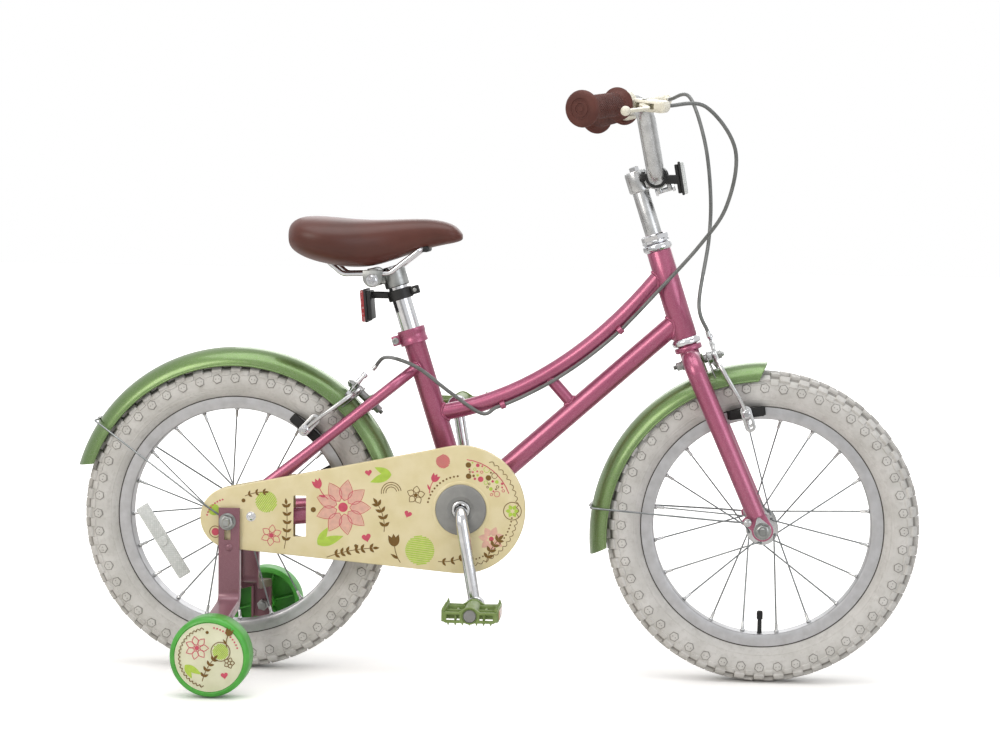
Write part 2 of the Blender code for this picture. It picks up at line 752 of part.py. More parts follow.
def make_stabiliser_bolt(side):
    # The bolt that carries a stabiliser wheel, with its head behind the bracket and its collar.
    way = Y_AXIS * side
    foot = Vector((REAR_X + STAB_X, 0, STAB_WHEEL_R + STAB_LIFT)) + way * (STAB_ARM_OUT_Y - STAB_ARM_T / 2)
    low = STAB_ARM_T + GAP
    high = STAB_WHEEL_OUT_Y - STAB_WHEEL_W - GAP - STAB_ARM_OUT_Y + STAB_ARM_T / 2
    shaft = turned([(0, -0.0125), (0.005, -0.0125), (0.005, low), (0.009, low), (0.009, high),
                    (0.005, high), (0.005, STAB_BOLT_REACH), (0, STAB_BOLT_REACH)], foot, way, 8)
    head = hexagon(foot - way * 0.0085, foot - way * GAP, 0.0064)
    name = "stabiliser_bolt_left" if side > 0 else "stabiliser_bolt_right"
    add_object(name, welded(shaft, head), "steel")


def make_stabiliser_bracket(side):
    # A pressed channel: an upright strap on the axle, a shelf outwards and a lower upright plate.
    axle = REAR_AXLE.z
    wheel_z = STAB_WHEEL_R + STAB_LIFT
    x = REAR_X + STAB_X / 2
    path = rounded([(x, STAB_ARM_Y, axle + 0.018), (x, STAB_ARM_Y, wheel_z + STAB_SHELF + 0.012),
                    (x, STAB_ARM_OUT_Y, wheel_z + STAB_SHELF), (x, STAB_ARM_OUT_Y, wheel_z - 0.017)],
                   0.012, math.radians(30))
    half, t, depth = STAB_ARM_W / 2, STAB_ARM_T / 2, 0.010
    channel = [(-half, t), (half, t), (half, -depth), (half - 2 * t, -depth), (half - 2 * t, -t),
               (-half + 2 * t, -t), (-half + 2 * t, -depth), (-half, -depth)]
    # The channel's hollow side faces the wheel of the bike, so its back faces outwards.
    arm = swept_flat(path, channel, X_AXIS)
    bore = rod((REAR_X, 0, axle), (REAR_X, 0.1, axle), AXLE_R + GAP, 12)
    low = rod((REAR_X + STAB_X, 0.1, wheel_z), (REAR_X + STAB_X, 0.25, wheel_z), 0.005 + GAP, 12)
    slot = block((REAR_X, STAB_ARM_Y, axle - 0.020), (0.008, 0.02, 0.010))
    clear = block((x, STAB_ARM_Y - t - 0.02, axle), (0.05, 0.04, 0.076))
    name = "stabiliser_bracket_left" if side > 0 else "stabiliser_bracket_right"
    add_object(name, on_side(cut(arm, bore, low, slot, clear), side), "bracket_paint")


def belt(rear, rear_r, front, front_r, steps=12):
    # The outline round two circles of the XZ plane, with straight runs between them.
    span = Vector((front[0] - rear[0], front[1] - rear[1]))
    heading = math.atan2(span.y, span.x)
    lean = math.acos((rear_r - front_r) / span.length)
    back = arc(rear, rear_r, heading + lean, heading - lean + math.tau, steps)
    fore = arc(front, front_r, heading - lean, heading + lean, steps + 5)
    return back + fore


def guard_outline(inset=0.0):
    rear = (REAR_AXLE.x + GUARD_REAR_SHIFT[0], REAR_AXLE.z + GUARD_REAR_SHIFT[1])
    return belt(rear, GUARD_REAR_R - inset, (BB.x, BB.z), GUARD_FRONT_R - inset)


def pitch_radius(teeth):
    return CHAIN_PITCH / (2 * math.sin(math.pi / teeth))


def make_chain():
    centres = (REAR_AXLE.x, REAR_AXLE.z), (BB.x, BB.z)
    rear_r, front_r = pitch_radius(SPROCKET_TEETH), pitch_radius(RING_TEETH)
    low, high = -CHAIN_Y - CHAIN_HALF_W, -CHAIN_Y + CHAIN_HALF_W
    outer = plate(belt(centres[0], rear_r + CHAIN_HALF_H, centres[1], front_r + CHAIN_HALF_H), low, high)
    inner = plate(belt(centres[0], rear_r - CHAIN_HALF_H, centres[1], front_r - CHAIN_HALF_H),
                  low - 0.01, high + 0.01)
    add_object("chain", cut(outer, inner), "steel")




def make_chain_guard():
    face, back = -GUARD_Y - GUARD_T, -GUARD_Y + GUARD_LIP
    shell = plate(guard_outline(), face, back)
    hollow = plate(guard_outline(0.0018), -GUARD_Y, back + 0.01)
    solid = cut(shell, hollow)
    bosses = [rod(from_rear_axle(x, -GUARD_Y - 0.001, z), from_rear_axle(x, -y - GAP, z), 0.0055, 12)
              for x, z, y in GUARD_SCREWS]
    heads = [rod(from_rear_axle(x, -GUARD_Y, z), from_rear_axle(x, face - 0.0016, z), 0.0050, 10)
             for x, z, y in GUARD_SCREWS]
    solid = welded(solid, *bosses, *heads)
    x, z, width, height = WINDOW
    holes = [block(from_rear_axle(x, -GUARD_Y, z), (width, 0.03, height)),
             rod(BB - Y_AXIS * 0.1, BB - Y_AXIS * 0.05, GUARD_HOLE_R, 12),
             rod(REAR_AXLE - Y_AXIS * 0.1, REAR_AXLE - Y_AXIS * 0.05, AXLE_R + GAP, 12)]
    add_object("chain_guard", cut(solid, *holes), "cream_plastic")
    # The inner shell covers the sprocket on the wheel's side.
    low, high = -INNER_GUARD_Y - INNER_GUARD_T, -INNER_GUARD_Y
    sheet = plate(guard_outline(0.001), low, high)
    past = WINDOW[0] - WINDOW[2] / 2 - 0.002 + 0.2
    trim = block(from_rear_axle(past, low, 0.2), (0.4, 0.02, 0.4))
    hole = rod(REAR_AXLE - Y_AXIS * 0.1, REAR_AXLE, 0.024, 12)
    add_object("chain_guard_inner", cut(welded(sheet, guard_foot(low)), trim, hole), "cream_plastic")


def guard_foot(sheet_y):
    # The stud that seats the inner shell on the right chain stay.
    start, end = [Vector((point.x, -point.y, point.z)) for point in chainstay_path()]
    out = (end - start).normalized().cross(Z_AXIS)
    share = (REAR_AXLE.x + GUARD_FOOT_X - start.x) / (end.x - start.x)
    face = start.lerp(end, share) + out * (CHAINSTAY_HALF_W * math.cos(math.pi / 8) + GAP)
    reach = (sheet_y + INNER_GUARD_T / 2 - face.y) / out.y
    return rod(face, face + out * reach, GUARD_FOOT_R, 8)


def make_frame_bolts():
    middle = seat(SEAT_TUBE_TOP - 0.008) - SEAT_FORE * 0.0225
    profile = [(0, -0.013), (0.0045, -0.013), (0.0045, -0.0083), (0.0025, -0.0083), (0.0025, 0.0083),
               (0.0045, 0.0083), (0.0045, 0.012), (0, 0.012)]
    add_object("seat_clamp_bolt", turned(profile, middle, Y_AXIS, 6), "steel")
    bolt = brake_bolt(rear_brake_pivot(), rear_brake_way(), -REAR_BOLT_REACH - BRIDGE_R, -0.0118)
    add_object("rear_brake_bolt", bolt, "steel")


def brake_bolt(pivot, way, behind, ahead):
    # The centre bolt of a caliper with its nuts, washer and spacer; way points out of the frame.
    nut, washer = behind - 0.0095, behind - 0.0020
    profile = [(0, nut - 0.0040), (BOLT_R, nut - 0.0040), (BOLT_R, nut), (0.0055, nut), (0.0055, washer),
               (0.0065, washer), (0.0065, behind - GAP), (BOLT_R, behind - GAP), (BOLT_R, ahead),
               (0.0056, ahead), (0.0056, -GAP), (BOLT_R, -GAP), (BOLT_R, 0.0144), (0.0058, 0.0144),
               (0.0058, 0.0192), (BOLT_R, 0.0192), (BOLT_R, 0.022), (0, 0.022)]
    return turned(profile, pivot, way, 8)


def mudguard_section():
    half, deep, t = MUDGUARD_HALF_W, MUDGUARD_DEPTH, MUDGUARD_T
    turns = [math.radians(a) for a in (-90, -54, -CROWN_FLAT, CROWN_FLAT, 54, 90)]
    outer = [(half * math.sin(a), -deep * (1 - math.cos(a))) for a in turns]
    inner = [((half - t) * math.sin(a), -deep * (1 - math.cos(a)) - t * math.cos(a)) for a in turns]
    return outer + inner[::-1]


def crown_radius(radius, first, last, angle):
    # How far the flat of a mudguard's crown lies from its centre at an angle.
    step = (last - first) / round((last - first) / MUDGUARD_STEP)
    from_middle = (angle - first) % step - step / 2
    drop = MUDGUARD_DEPTH * (1 - math.cos(math.radians(CROWN_FLAT)))
    return (radius - drop) * math.cos(step / 2) / math.cos(from_middle)


def mudguard(centre, radius, first, last):
    steps = round((last - first) / MUDGUARD_STEP)
    angles = [first + (last - first) * i / steps for i in range(steps + 1)]
    points = [centre + Vector((math.cos(a), 0, math.sin(a))) * radius for a in angles]
    return swept_flat(points, mudguard_section(), Y_AXIS)


def strap(bolt, up, way, centre, radius, first, last):
    # A flat strap on a brake bolt that reaches down into the crown of a mudguard.
    across = (bolt - centre).dot(way)
    out = centre + up * math.sqrt(radius ** 2 - across ** 2) + way * across - centre
    crown = crown_radius(radius, first, last, math.atan2(out.z, out.x))
    reach = (bolt - centre).dot(up) - math.sqrt(crown ** 2 - across ** 2) + MUDGUARD_T / 2
    turn = Matrix((way, Y_AXIS, up)).transposed()
    return block(bolt + up * (STRAP_TOP - reach) / 2, (STRAP_T, STRAP_W, reach + STRAP_TOP), turn)


def wire_stay(foot, foot_y, edge):
    # A bent wire from one side of the axle, over the mudguard's back and down again.
    high = Vector((edge.x, MUDGUARD_HALF_W + 0.004, edge.z))
    low = Vector((foot.x, foot_y, foot.z))
    bend = foot + (edge - foot).normalized() * GUARD_REAR_R
    left = [low, Vector((bend.x, foot_y, bend.z)), high]
    points = left + [Vector((p.x, -p.y, p.z)) for p in left[::-1]]
    return tube(rounded(points, 0.005, math.radians(30)), STAY_WIRE_R, 6)


def make_rear_mudguard():
    solid = mudguard(REAR_AXLE, REAR_MUDGUARD_R, REAR_MUDGUARD_FRONT, REAR_MUDGUARD_TAIL)
    pivot, way = rear_brake_pivot(), rear_brake_way()
    hanger = strap(pivot - way * 0.0129, rear_brake_up(), way, REAR_AXLE, REAR_MUDGUARD_R,
                   REAR_MUDGUARD_FRONT, REAR_MUDGUARD_TAIL)
    hole = rod(pivot - way * 0.016, pivot - way * 0.010, BOLT_R + GAP, 10)
    add_object("rear_mudguard", cut(welded(solid, hanger), hole), "guard_paint")
    angle = math.radians(146.2)
    out = Vector((math.cos(angle), 0, math.sin(angle)))
    crown = crown_radius(REAR_MUDGUARD_R, REAR_MUDGUARD_FRONT, REAR_MUDGUARD_TAIL, angle)
    edge = REAR_AXLE + out * (crown + STAY_WIRE_R + GAP)
    eye_y = (GUARD_Y + GUARD_T + STAB_ARM_Y - STAB_ARM_T / 2) / 2
    foot = REAR_AXLE + out * 0.0075
    wire = wire_stay(foot, eye_y, edge)
    for side in (1, -1):
        centre = REAR_AXLE + Y_AXIS * side * eye_y
        eye = ring(centre - Y_AXIS * 0.0011, centre + Y_AXIS * 0.0011, 0.009, AXLE_R + 2 * GAP, 8)
        wire = welded(wire, eye)
    add_object("rear_mudguard_stay", wire, "silver")


# Seat

def make_seat():
    post = rod(seat(SEAT_TUBE_TOP - 0.120), seat(POST_TOP), POST_R, 12)
    add_object("seat_post", post, "chrome", seat(SEAT_TUBE_TOP))
    rails = make_rails()
    make_saddle_clamp(rails)
    make_saddle(rails)
    make_rear_reflector()


def make_rails():
    # One wire: two rails that rise at the back and meet under the nose.
    left = [from_post(x, RAIL_Y, z) for x, z in RAIL_POINTS]
    right = [from_post(x, -RAIL_Y, z) for x, z in RAIL_POINTS]
    bends = [RAIL_BEND_R, RAIL_BEND_R, 0.010, 0.010, RAIL_BEND_R, RAIL_BEND_R]
    path = rounded(left + right[::-1], bends, math.radians(24))
    add_object("saddle_rails", tube(path, RAIL_R, 6), "chrome")
    # The same wire, a little thicker, cuts its seats in the clamp and the saddle.
    return lambda: tube(path, RAIL_R + GAP, 6)


def make_saddle_clamp(rails):
    middle = from_post(CLAMP_X, 0, CLAMP_Z)
    bolt = middle - Z_AXIS * 0.0035
    sleeve_low, sleeve_high = seat(POST_TOP - 0.028), seat(POST_TOP - 0.004)
    end = RAIL_Y + 0.0070
    barrel = turned([(0, -end), (0.0085, -end), (CLAMP_R, -end + 0.003), (CLAMP_R, end - 0.003),
                     (0.0085, end), (0, end)], middle, Y_AXIS, 10)
    neck = block((middle + sleeve_low.lerp(sleeve_high, 0.5)) / 2, (0.022, 0.020, 0.018))
    sleeve = rod(sleeve_low, sleeve_high, POST_R + 0.0035, 12)
    post = rod(seat(0.2), seat(0.4), POST_R + GAP, 12)
    shaft = rod(bolt - Y_AXIS * (end + 0.007), bolt + Y_AXIS * (end + 0.007), 0.0035, 6)
    nuts = [hexagon(bolt + Y_AXIS * side * (end - 0.001), bolt + Y_AXIS * side * (end + 0.005), 0.0075)
            for side in (1, -1)]
    solid = welded(sleeve, barrel, neck, shaft, *nuts)
    add_object("saddle_clamp", cut(solid, post, rails()), "steel")


def saddle_ring(station, count):
    # One cross-section: a crowned top, full sides that draw in below, and a flat underside.
    x, half, top, low = station
    widest = low + (top - low) * 0.52
    points = []
    for i in range(count):
        a = math.tau * i / count
        across, rise = math.cos(a), math.sin(a)
        if rise >= 0:
            y = half * math.copysign(abs(across) ** 0.82, across)
            z = widest + (top - widest) * rise ** 0.9
        else:
            draw = 1 - 0.16 * (-rise) ** 2
            y = half * draw * math.copysign(abs(across) ** 0.55, across)
            z = widest - (widest - low) * (-rise) ** 0.8
        points.append(from_post(x, y, z))
    return points


def make_saddle(rails):
    count = 14
    bm = bmesh.new()
    rings = [[bm.verts.new(p) for p in saddle_ring(station, count)] for station in SADDLE_STATIONS]
    for low, high in zip(rings, rings[1:]):
        for i in range(count):
            bm.faces.new((low[i], low[(i + 1) % count], high[(i + 1) % count], high[i]))
    bm.faces.new(rings[0])
    bm.faces.new(rings[-1])
    bmesh.ops.recalc_face_normals(bm, faces=bm.faces)
    add_object("saddle", cut(bm, rails()), "saddle")


def make_rear_reflector():
    ring_mid = seat(0.2895)
    low, high = ring_mid - SEAT_UP * 0.007, ring_mid + SEAT_UP * 0.007
    band = rod(low, high, POST_R + 0.004, 12)
    lean = Matrix.Rotation(math.radians(-5), 3, "Y")
    lens_mid = from_post(-0.0341, 0, -0.0520)
    lens = block(lens_mid, (0.007, REFLECTOR_W, REFLECTOR_H), lean)
    bmesh.ops.bevel(lens, geom=[e for e in lens.edges], offset=0.0015, segments=1, affect="EDGES")
    back_mid = lens_mid + lean @ Vector((0.0035 + GAP + 0.003, 0, 0))
    back = block(back_mid, (0.006, REFLECTOR_W - 0.004, REFLECTOR_H - 0.004), lean)
    arm_end = Vector((ring_mid.x - POST_R, 0, ring_mid.z))
    arm_start = Vector((back_mid.x, 0, ring_mid.z - 0.003))
    arm = block((arm_start + arm_end) / 2, ((arm_end - arm_start).length + 0.004, 0.012, 0.009))
    ear = block(ring_mid + SEAT_FORE * 0.0205, (0.012, 0.010, 0.011),
                Matrix((SEAT_FORE, Y_AXIS, SEAT_UP)).transposed())
    post = rod(seat(0.2), seat(0.4), POST_R + GAP, 12)
    add_object("rear_reflector", lens, "red_lens")
    add_object("rear_reflector_bracket", cut(welded(band, back, arm, ear), post), "black_plastic")


# Fork and steering

def leg_path():
    # From the crown out to the side and straight down to the dropout.
    low = steer(0.020, FORK_OFFSET * (CROWN_T - 0.020) / CROWN_T, LEG_Y)
    return rounded([steer(CROWN_T, 0, 0), steer(CROWN_T, 0, LEG_Y), low], CROWN_BEND_R)


def make_fork():
    steerer = rod(steer(CROWN_T - 0.004, 0), steer(STEERER_TOP, 0), STEERER_R, 12)
    parts = []
    for side in (1, -1):
        path = leg_path()
        length = (path[-1] - path[0]).length
        shares = [(point - path[0]).length / length for point in path]
        radii = [LEG_TOP_R + (LEG_LOW_R - LEG_TOP_R) * share for share in shares]
        leg = swept(path, oval(1, 1, 8), size=[(radius, radius) for radius in radii])
        parts.append(on_side(leg, side))
        parts.append(on_side(fork_tab(), side))
    race_t = CROWN_T + LEG_TOP_R
    race = rod(steer(race_t - 0.003, 0), steer(race_t + 0.0045, 0), CUP_R - 0.001, 12)
    solid = welded(steerer, race, *parts)
    holes = [
        rod(steer(0.300, 0), steer(0.45, 0), STEERER_BORE_R, 12),
        rod(steer(BRAKE_BOLT_T, -0.04), steer(BRAKE_BOLT_T, 0.04), BOLT_R + GAP, 10),
        rod(FRONT_AXLE - Y_AXIS * 0.08, FRONT_AXLE + Y_AXIS * 0.08, AXLE_R + GAP, 12),
    ]
    add_object("fork", cut(solid, *holes), "frame_paint", steer(HEAD_LOW, 0))


def fork_tab():
    tip = arc((FRONT_AXLE.x, FRONT_AXLE.z), 0.014, math.radians(200), math.radians(385), 8)
    top = steer(0.034, FORK_OFFSET * 0.86)
    outline = [*tip, (top.x + 0.009, top.z + 0.003), (top.x - 0.009, top.z - 0.003)]
    return plate(outline, FRONT_DROPOUT_Y, FRONT_DROPOUT_Y + DROPOUT_T)


def make_headset_locknut():
    # The upper race and the locknut on the steerer.
    base = HEAD_HIGH + GAP + 0.0095 + GAP
    race = turned([(0, 0), (CUP_R - 0.003, 0), (CUP_R - 0.001, 0.002), (CUP_R - 0.001, 0.005), (0, 0.005)],
                  steer(base, 0), STEER_UP, 12)
    lock = hexagon(steer(base + 0.004, 0), steer(base + 0.0115, 0), 0.0185)
    bore = rod(steer(base - 0.02, 0), steer(base + 0.03, 0), STEERER_R + GAP, 12)
    add_object("headset_locknut", cut(welded(race, lock), bore), "chrome")


def make_stem():
    # The quill stem with the heads of its two bolts.
    quill = rod(steer(QUILL_LOW, 0), steer(STEM_LOW + 0.002, 0), QUILL_R, 12)
    body = rod(steer(STEM_LOW, 0), steer(STEM_TOP, 0), STEM_R, 12)
    clamp_mid = steer(STEM_T, STEM_REACH)
    half = Y_AXIS * STEM_CLAMP_HALF_W
    clamp = rod(clamp_mid - half, clamp_mid + half, BAR_R + 0.005, 12)
    turn = Matrix((STEER_FORE, Y_AXIS, STEER_UP)).transposed()
    neck = block(steer(STEM_T, STEM_REACH * 0.45), (STEM_REACH * 0.9, 0.024, 0.020), turn)
    ear = block(steer(STEM_T - 0.015, STEM_REACH + 0.006), (0.014, 0.020, 0.016), turn)
    slot = block(steer(STEM_T - 0.018, STEM_REACH + 0.006), (0.002, 0.04, 0.026), turn)
    bar = rod(clamp_mid - Y_AXIS * 0.03, clamp_mid + Y_AXIS * 0.03, snug(BAR_R, 10), 10)
    pinch_t = STEM_T - 0.0195
    head = hexagon(steer(STEM_TOP - 0.001, 0), steer(STEM_TOP + 0.006, 0), 0.0065)
    pinch = rod(steer(pinch_t, STEM_REACH - 0.004), steer(pinch_t, STEM_REACH + 0.0155), 0.0035, 6)
    solid = cut(welded(quill, body, clamp, neck, ear), bar, slot)
    add_object("stem", welded(solid, head, pinch), "silver")
    front = steer(BRAKE_BOLT_T, FRONT_BOLT_REACH)
    bolt = brake_bolt(front, STEER_FORE, -FRONT_BOLT_REACH - LEG_TOP_R, -0.0049)
    add_object("front_brake_bolt", bolt, "steel")


def bar_path():
    middle = steer(STEM_T, STEM_REACH)
    foot = middle + Y_AXIS * BAR_TURN
    top = foot + BAR_RISE
    end = top + BAR_SWEEP
    return middle, foot, top, end


def make_handlebar():
    middle, foot, top, end = bar_path()
    half = rounded([middle, foot, top, end], BAR_BENDS, math.radians(18))
    path = [Vector((p.x, -p.y, p.z)) for p in half[:0:-1]] + half
    add_object("handlebar", tube(path, BAR_R, BAR_SIDES), "silver", middle)


def grip_frame():
    middle, foot, top, end = bar_path()
    along = (end - top).normalized()
    return end, along


def make_grips():
    end, along = grip_frame()
    bore = snug(BAR_R, 12)
    length, wall = GRIP_LENGTH, 0.0035
    profile = [(0, 0.004), (GRIP_FLANGE_R - 0.004, 0.004), (GRIP_FLANGE_R, 0), (GRIP_FLANGE_R, -wall),
               (GRIP_R, -0.008), (GRIP_R, -length + 0.007), (GRIP_FLANGE_R - 0.002, -length + wall),
               (GRIP_FLANGE_R - 0.002, -length), (bore, -length), (bore, GAP), (0, GAP)]
    for side, name in ((1, "grip_left"), (-1, "grip_right")):
        grip = turned(profile, end, along, 12)
        add_object(name, on_side(grip, side), "grip")


def bracket_frame(side):
    # Where a brake lever's bracket sits: its centre on the bar, outwards, forwards and up.
    end, along = grip_frame()
    fore = along.cross(Z_AXIS).normalized()
    rise = fore.cross(along)
    tilt = LEVER_TILT[side]
    ahead = fore * math.cos(tilt) + rise * math.sin(tilt)
    return end - along * BRACKET_PLACE, along, ahead, ahead.cross(along)


def make_brackets_and_levers():
    for side, word in ((1, "left"), (-1, "right")):
        centre, along, ahead, rise = bracket_frame(side)
        turn = Matrix((along, ahead, rise)).transposed()

        def at(fore, out, up=0.0):
            return centre + ahead * fore + along * out + rise * up

        half = BRACKET_LENGTH / 2
        clamp = rod(at(0, -half), at(0, half), BAR_R + 0.0045, 12)
        body = block(at((0.010 + BRACKET_REACH) / 2, -0.0015),
                     (0.019, BRACKET_REACH - 0.010, BRACKET_H), turn)
        nose = rod(at(BRACKET_REACH - 0.006, -0.008), at(BRACKET_REACH - 0.006, 0.006), BRACKET_H / 2, 12)
        slot = block(at(0.0310, 0.010), (0.027, 0.022, LEVER_T + 0.0012), turn)
        bore = rod(at(0, -0.03), at(0, 0.03), snug(BAR_R, 10), 10)
        pivot = at(*LEVER_PIVOT)
        pin = rod(pivot - rise * (LEVER_T / 2 + 0.002), pivot + rise * (LEVER_T / 2 + 0.002), 0.0024, 10)
        bracket = welded(cut(welded(clamp, body, nose), slot, bore), pin)
        add_object("lever_bracket_" + word, on_side(bracket, side), "ivory_plastic")
        path = curve_through([at(*point) for point in LEVER_POINTS], 2)
        shares = [1.0 - LEVER_TAPER * i / (len(path) - 1) for i in range(len(path))]
        sizes = [(share, share) for share in shares]
        blade = swept(path, bar_section(LEVER_W, LEVER_T - 0.0008), up=rise, size=sizes)
        boss = rod(pivot - rise * LEVER_T / 2, pivot + rise * LEVER_T / 2, 0.0062)
        dome = [(BALL_R * math.sin(math.pi * i / 5), -BALL_R * math.cos(math.pi * i / 5)) for i in range(6)]
        ball = turned([(0, dome[0][1]), *dome[1:-1], (0, dome[-1][1])], path[-1], path[-1] - path[-2], 7)
        hole = rod(pivot - rise * 0.01, pivot + rise * 0.01, 0.0024 + GAP, 10)
        lever = cut(welded(blade, boss, ball), hole)
        origin = Vector((pivot.x, side * pivot.y, pivot.z))
        add_object("brake_lever_" + word, on_side(lever, side), "ivory_plastic", origin)


def make_front_reflector():
    # A band round the bar at the stem, with the reflector in front of it.
    middle, foot, top, end = bar_path()
    centre = middle + Y_AXIS * BAND_Y
    lens_mid = middle + Vector((0.0347, 0, -0.0010))
    lens_turn = Matrix.Rotation(math.radians(-10), 3, "Y")
    lens = block(lens_mid, (0.007, REFLECTOR_W, REFLECTOR_H), lens_turn)
    bmesh.ops.bevel(lens, geom=list(lens.edges), offset=0.0015, segments=1, affect="EDGES")
    back_mid = lens_mid - lens_turn @ Vector((0.0035 + GAP + 0.0025, 0, 0))
    back = block(back_mid, (0.005, REFLECTOR_W - 0.004, REFLECTOR_H - 0.004), lens_turn)
    neck = block(Vector(((back_mid.x + centre.x + BAR_R) / 2, BAND_Y, lens_mid.z - 0.002)),
                 (back_mid.x - centre.x - BAR_R, 0.008, 0.012))
    band = rod(centre - Y_AXIS * 0.0045, centre + Y_AXIS * 0.0045, BAR_R + 0.003, 12)
    bore = rod(centre - Y_AXIS * 0.02, centre + Y_AXIS * 0.02, snug(BAR_R, 10), 10)
    add_object("front_reflector", lens, "clear_lens")
    add_object("front_reflector_bracket", cut(welded(band, neck, back), bore), "black_plastic")


def make_front_mudguard():
    centre = FRONT_AXLE + FRONT_MUDGUARD_SHIFT
    solid = mudguard(centre, FRONT_MUDGUARD_R, FRONT_MUDGUARD_TIP, FRONT_MUDGUARD_TAIL)
    bolt = steer(BRAKE_BOLT_T, FRONT_BOLT_REACH - 0.0060)
    hanger = strap(bolt, STEER_UP, STEER_FORE, centre, FRONT_MUDGUARD_R, FRONT_MUDGUARD_TIP,
                   FRONT_MUDGUARD_TAIL)
    hole = rod(steer(BRAKE_BOLT_T, 0.010), steer(BRAKE_BOLT_T, 0.018), BOLT_R + GAP, 10)
    add_object("front_mudguard", cut(welded(solid, hanger), hole), "guard_paint")
    angle = math.radians(170.6)
    out = Vector((math.cos(angle), 0, math.sin(angle)))
    crown = crown_radius(FRONT_MUDGUARD_R, FRONT_MUDGUARD_TIP, FRONT_MUDGUARD_TAIL, angle)
    edge = centre + out * (crown + STAY_WIRE_R + GAP)
    foot = FRONT_AXLE + Vector((-0.0197, 0, 0.0115))
    wire = wire_stay(foot, LEG_Y + LEG_LOW_R + STAY_WIRE_R + GAP, edge)
    add_object("front_mudguard_stay", wire, "silver")


def make_front_axle():
    cone = FRONT_DROPOUT_Y - GAP
    outer = FRONT_DROPOUT_Y + DROPOUT_T + GAP
    half = [(AXLE_R, cone - 0.006), (0.009, cone - 0.006), (0.009, cone), (AXLE_R, cone), (AXLE_R, outer),
            (0.0115, outer), (0.0115, outer + 0.0015), (0.0090, outer + 0.0015), (0.0090, outer + 0.010),
            (AXLE_R, outer + 0.010), (AXLE_R, outer + 0.016), (0, outer + 0.016)]
    profile = [(r, -y) for r, y in half[::-1]] + half
    add_object("front_axle", turned(profile, FRONT_AXLE, Y_AXIS, 8), "steel")


# Brakes

def caliper_arm(name, points, layer, reach, block_tilt, place, side):
    # A C-shaped arm with its brake block. place holds the pivot, the up and the forward
    # direction; reach is how far in front of the pivot the block sits.
    pivot, up, fore = place
    low = min(z for y, z in points)

    def at(y, rise, ahead):
        return pivot + Y_AXIS * y + up * rise + fore * ahead

    path = [at(y, z, layer + (reach - layer) * min(1.0, max(0.0, -z) / 0.072)) for y, z in points]
    blade = swept(path, bar_section(ARM_W, ARM_T), up=fore)
    half = ARM_BOSS_T / 2
    parts = [rod(at(0, 0, layer - half), at(0, 0, layer + half), ARM_BOSS_R, 8)]
    radial = (up * math.cos(block_tilt) + fore * math.sin(block_tilt))
    turn = Matrix((Y_AXIS.cross(radial), Y_AXIS, radial)).transposed()
    parts.append(block(at(BLOCK_Y, low, reach), (BLOCK_LENGTH, BLOCK_T, BLOCK_HEIGHT), turn))
    stud = [(0, 0.0237), (0.0031, 0.0237), (0.0031, 0.0335), (0.0056, 0.0335), (0.0056, 0.0375),
            (0.0031, 0.0375), (0.0031, 0.0395), (0, 0.0395)]
    parts.append(turned(stud, at(0, low + 0.0004, reach + 0.0003), Y_AXIS, 6))
    if points is OUTER_ARM:
        y, z = points[0]
        parts.append(rod(at(y, z - 0.006, layer), at(y, z + ADJUSTER_H, layer), 0.0036, 6))
    else:
        pinch_low, pinch_high = at(0.0295, -0.0080, layer - 0.0012), at(0.0295, -0.0080, layer + 0.0090)
        parts.append(rod(pinch_low, pinch_high, 0.0041, 6))
    bore = rod(at(0, 0, -0.01), at(0, 0, 0.03), BOLT_R + GAP, 8)
    arm = cut(welded(blade, *parts), bore)
    add_object(name, on_side(arm, side), "silver", pivot)


def front_brake_place():
    return steer(BRAKE_BOLT_T, FRONT_BOLT_REACH), STEER_UP, STEER_FORE


def rear_brake_place():
    return rear_brake_pivot(), rear_brake_up(), rear_brake_way()


def make_brakes():
    for end, place, reach, tilt, side in (
            ("front", front_brake_place(), FRONT_BLOCK_REACH, math.radians(9.3), -1),
            ("rear", rear_brake_place(), REAR_BLOCK_REACH, math.radians(3), 1)):
        caliper_arm(end + "_brake_arm_outer", OUTER_ARM, OUTER_LAYER, reach, tilt, place, side)
        caliper_arm(end + "_brake_arm_inner", INNER_ARM, INNER_LAYER, reach, tilt, place, -side)


def cable_start(side):
    # Just inside the nose of a lever bracket, and the direction in which the cable leaves it.
    centre, along, ahead, rise = bracket_frame(side)
    point = centre + ahead * (BRACKET_REACH - 0.006) - along * (0.011 + 3 * GAP)
    return (Vector((point.x, side * point.y, point.z)),
            Vector((-along.x, -side * along.y, -along.z)))


def adjuster_top(place, side):
    pivot, up, fore = place
    y, z = OUTER_ARM[0]
    return pivot + Y_AXIS * side * y + up * (z + ADJUSTER_H + GAP) + fore * OUTER_LAYER


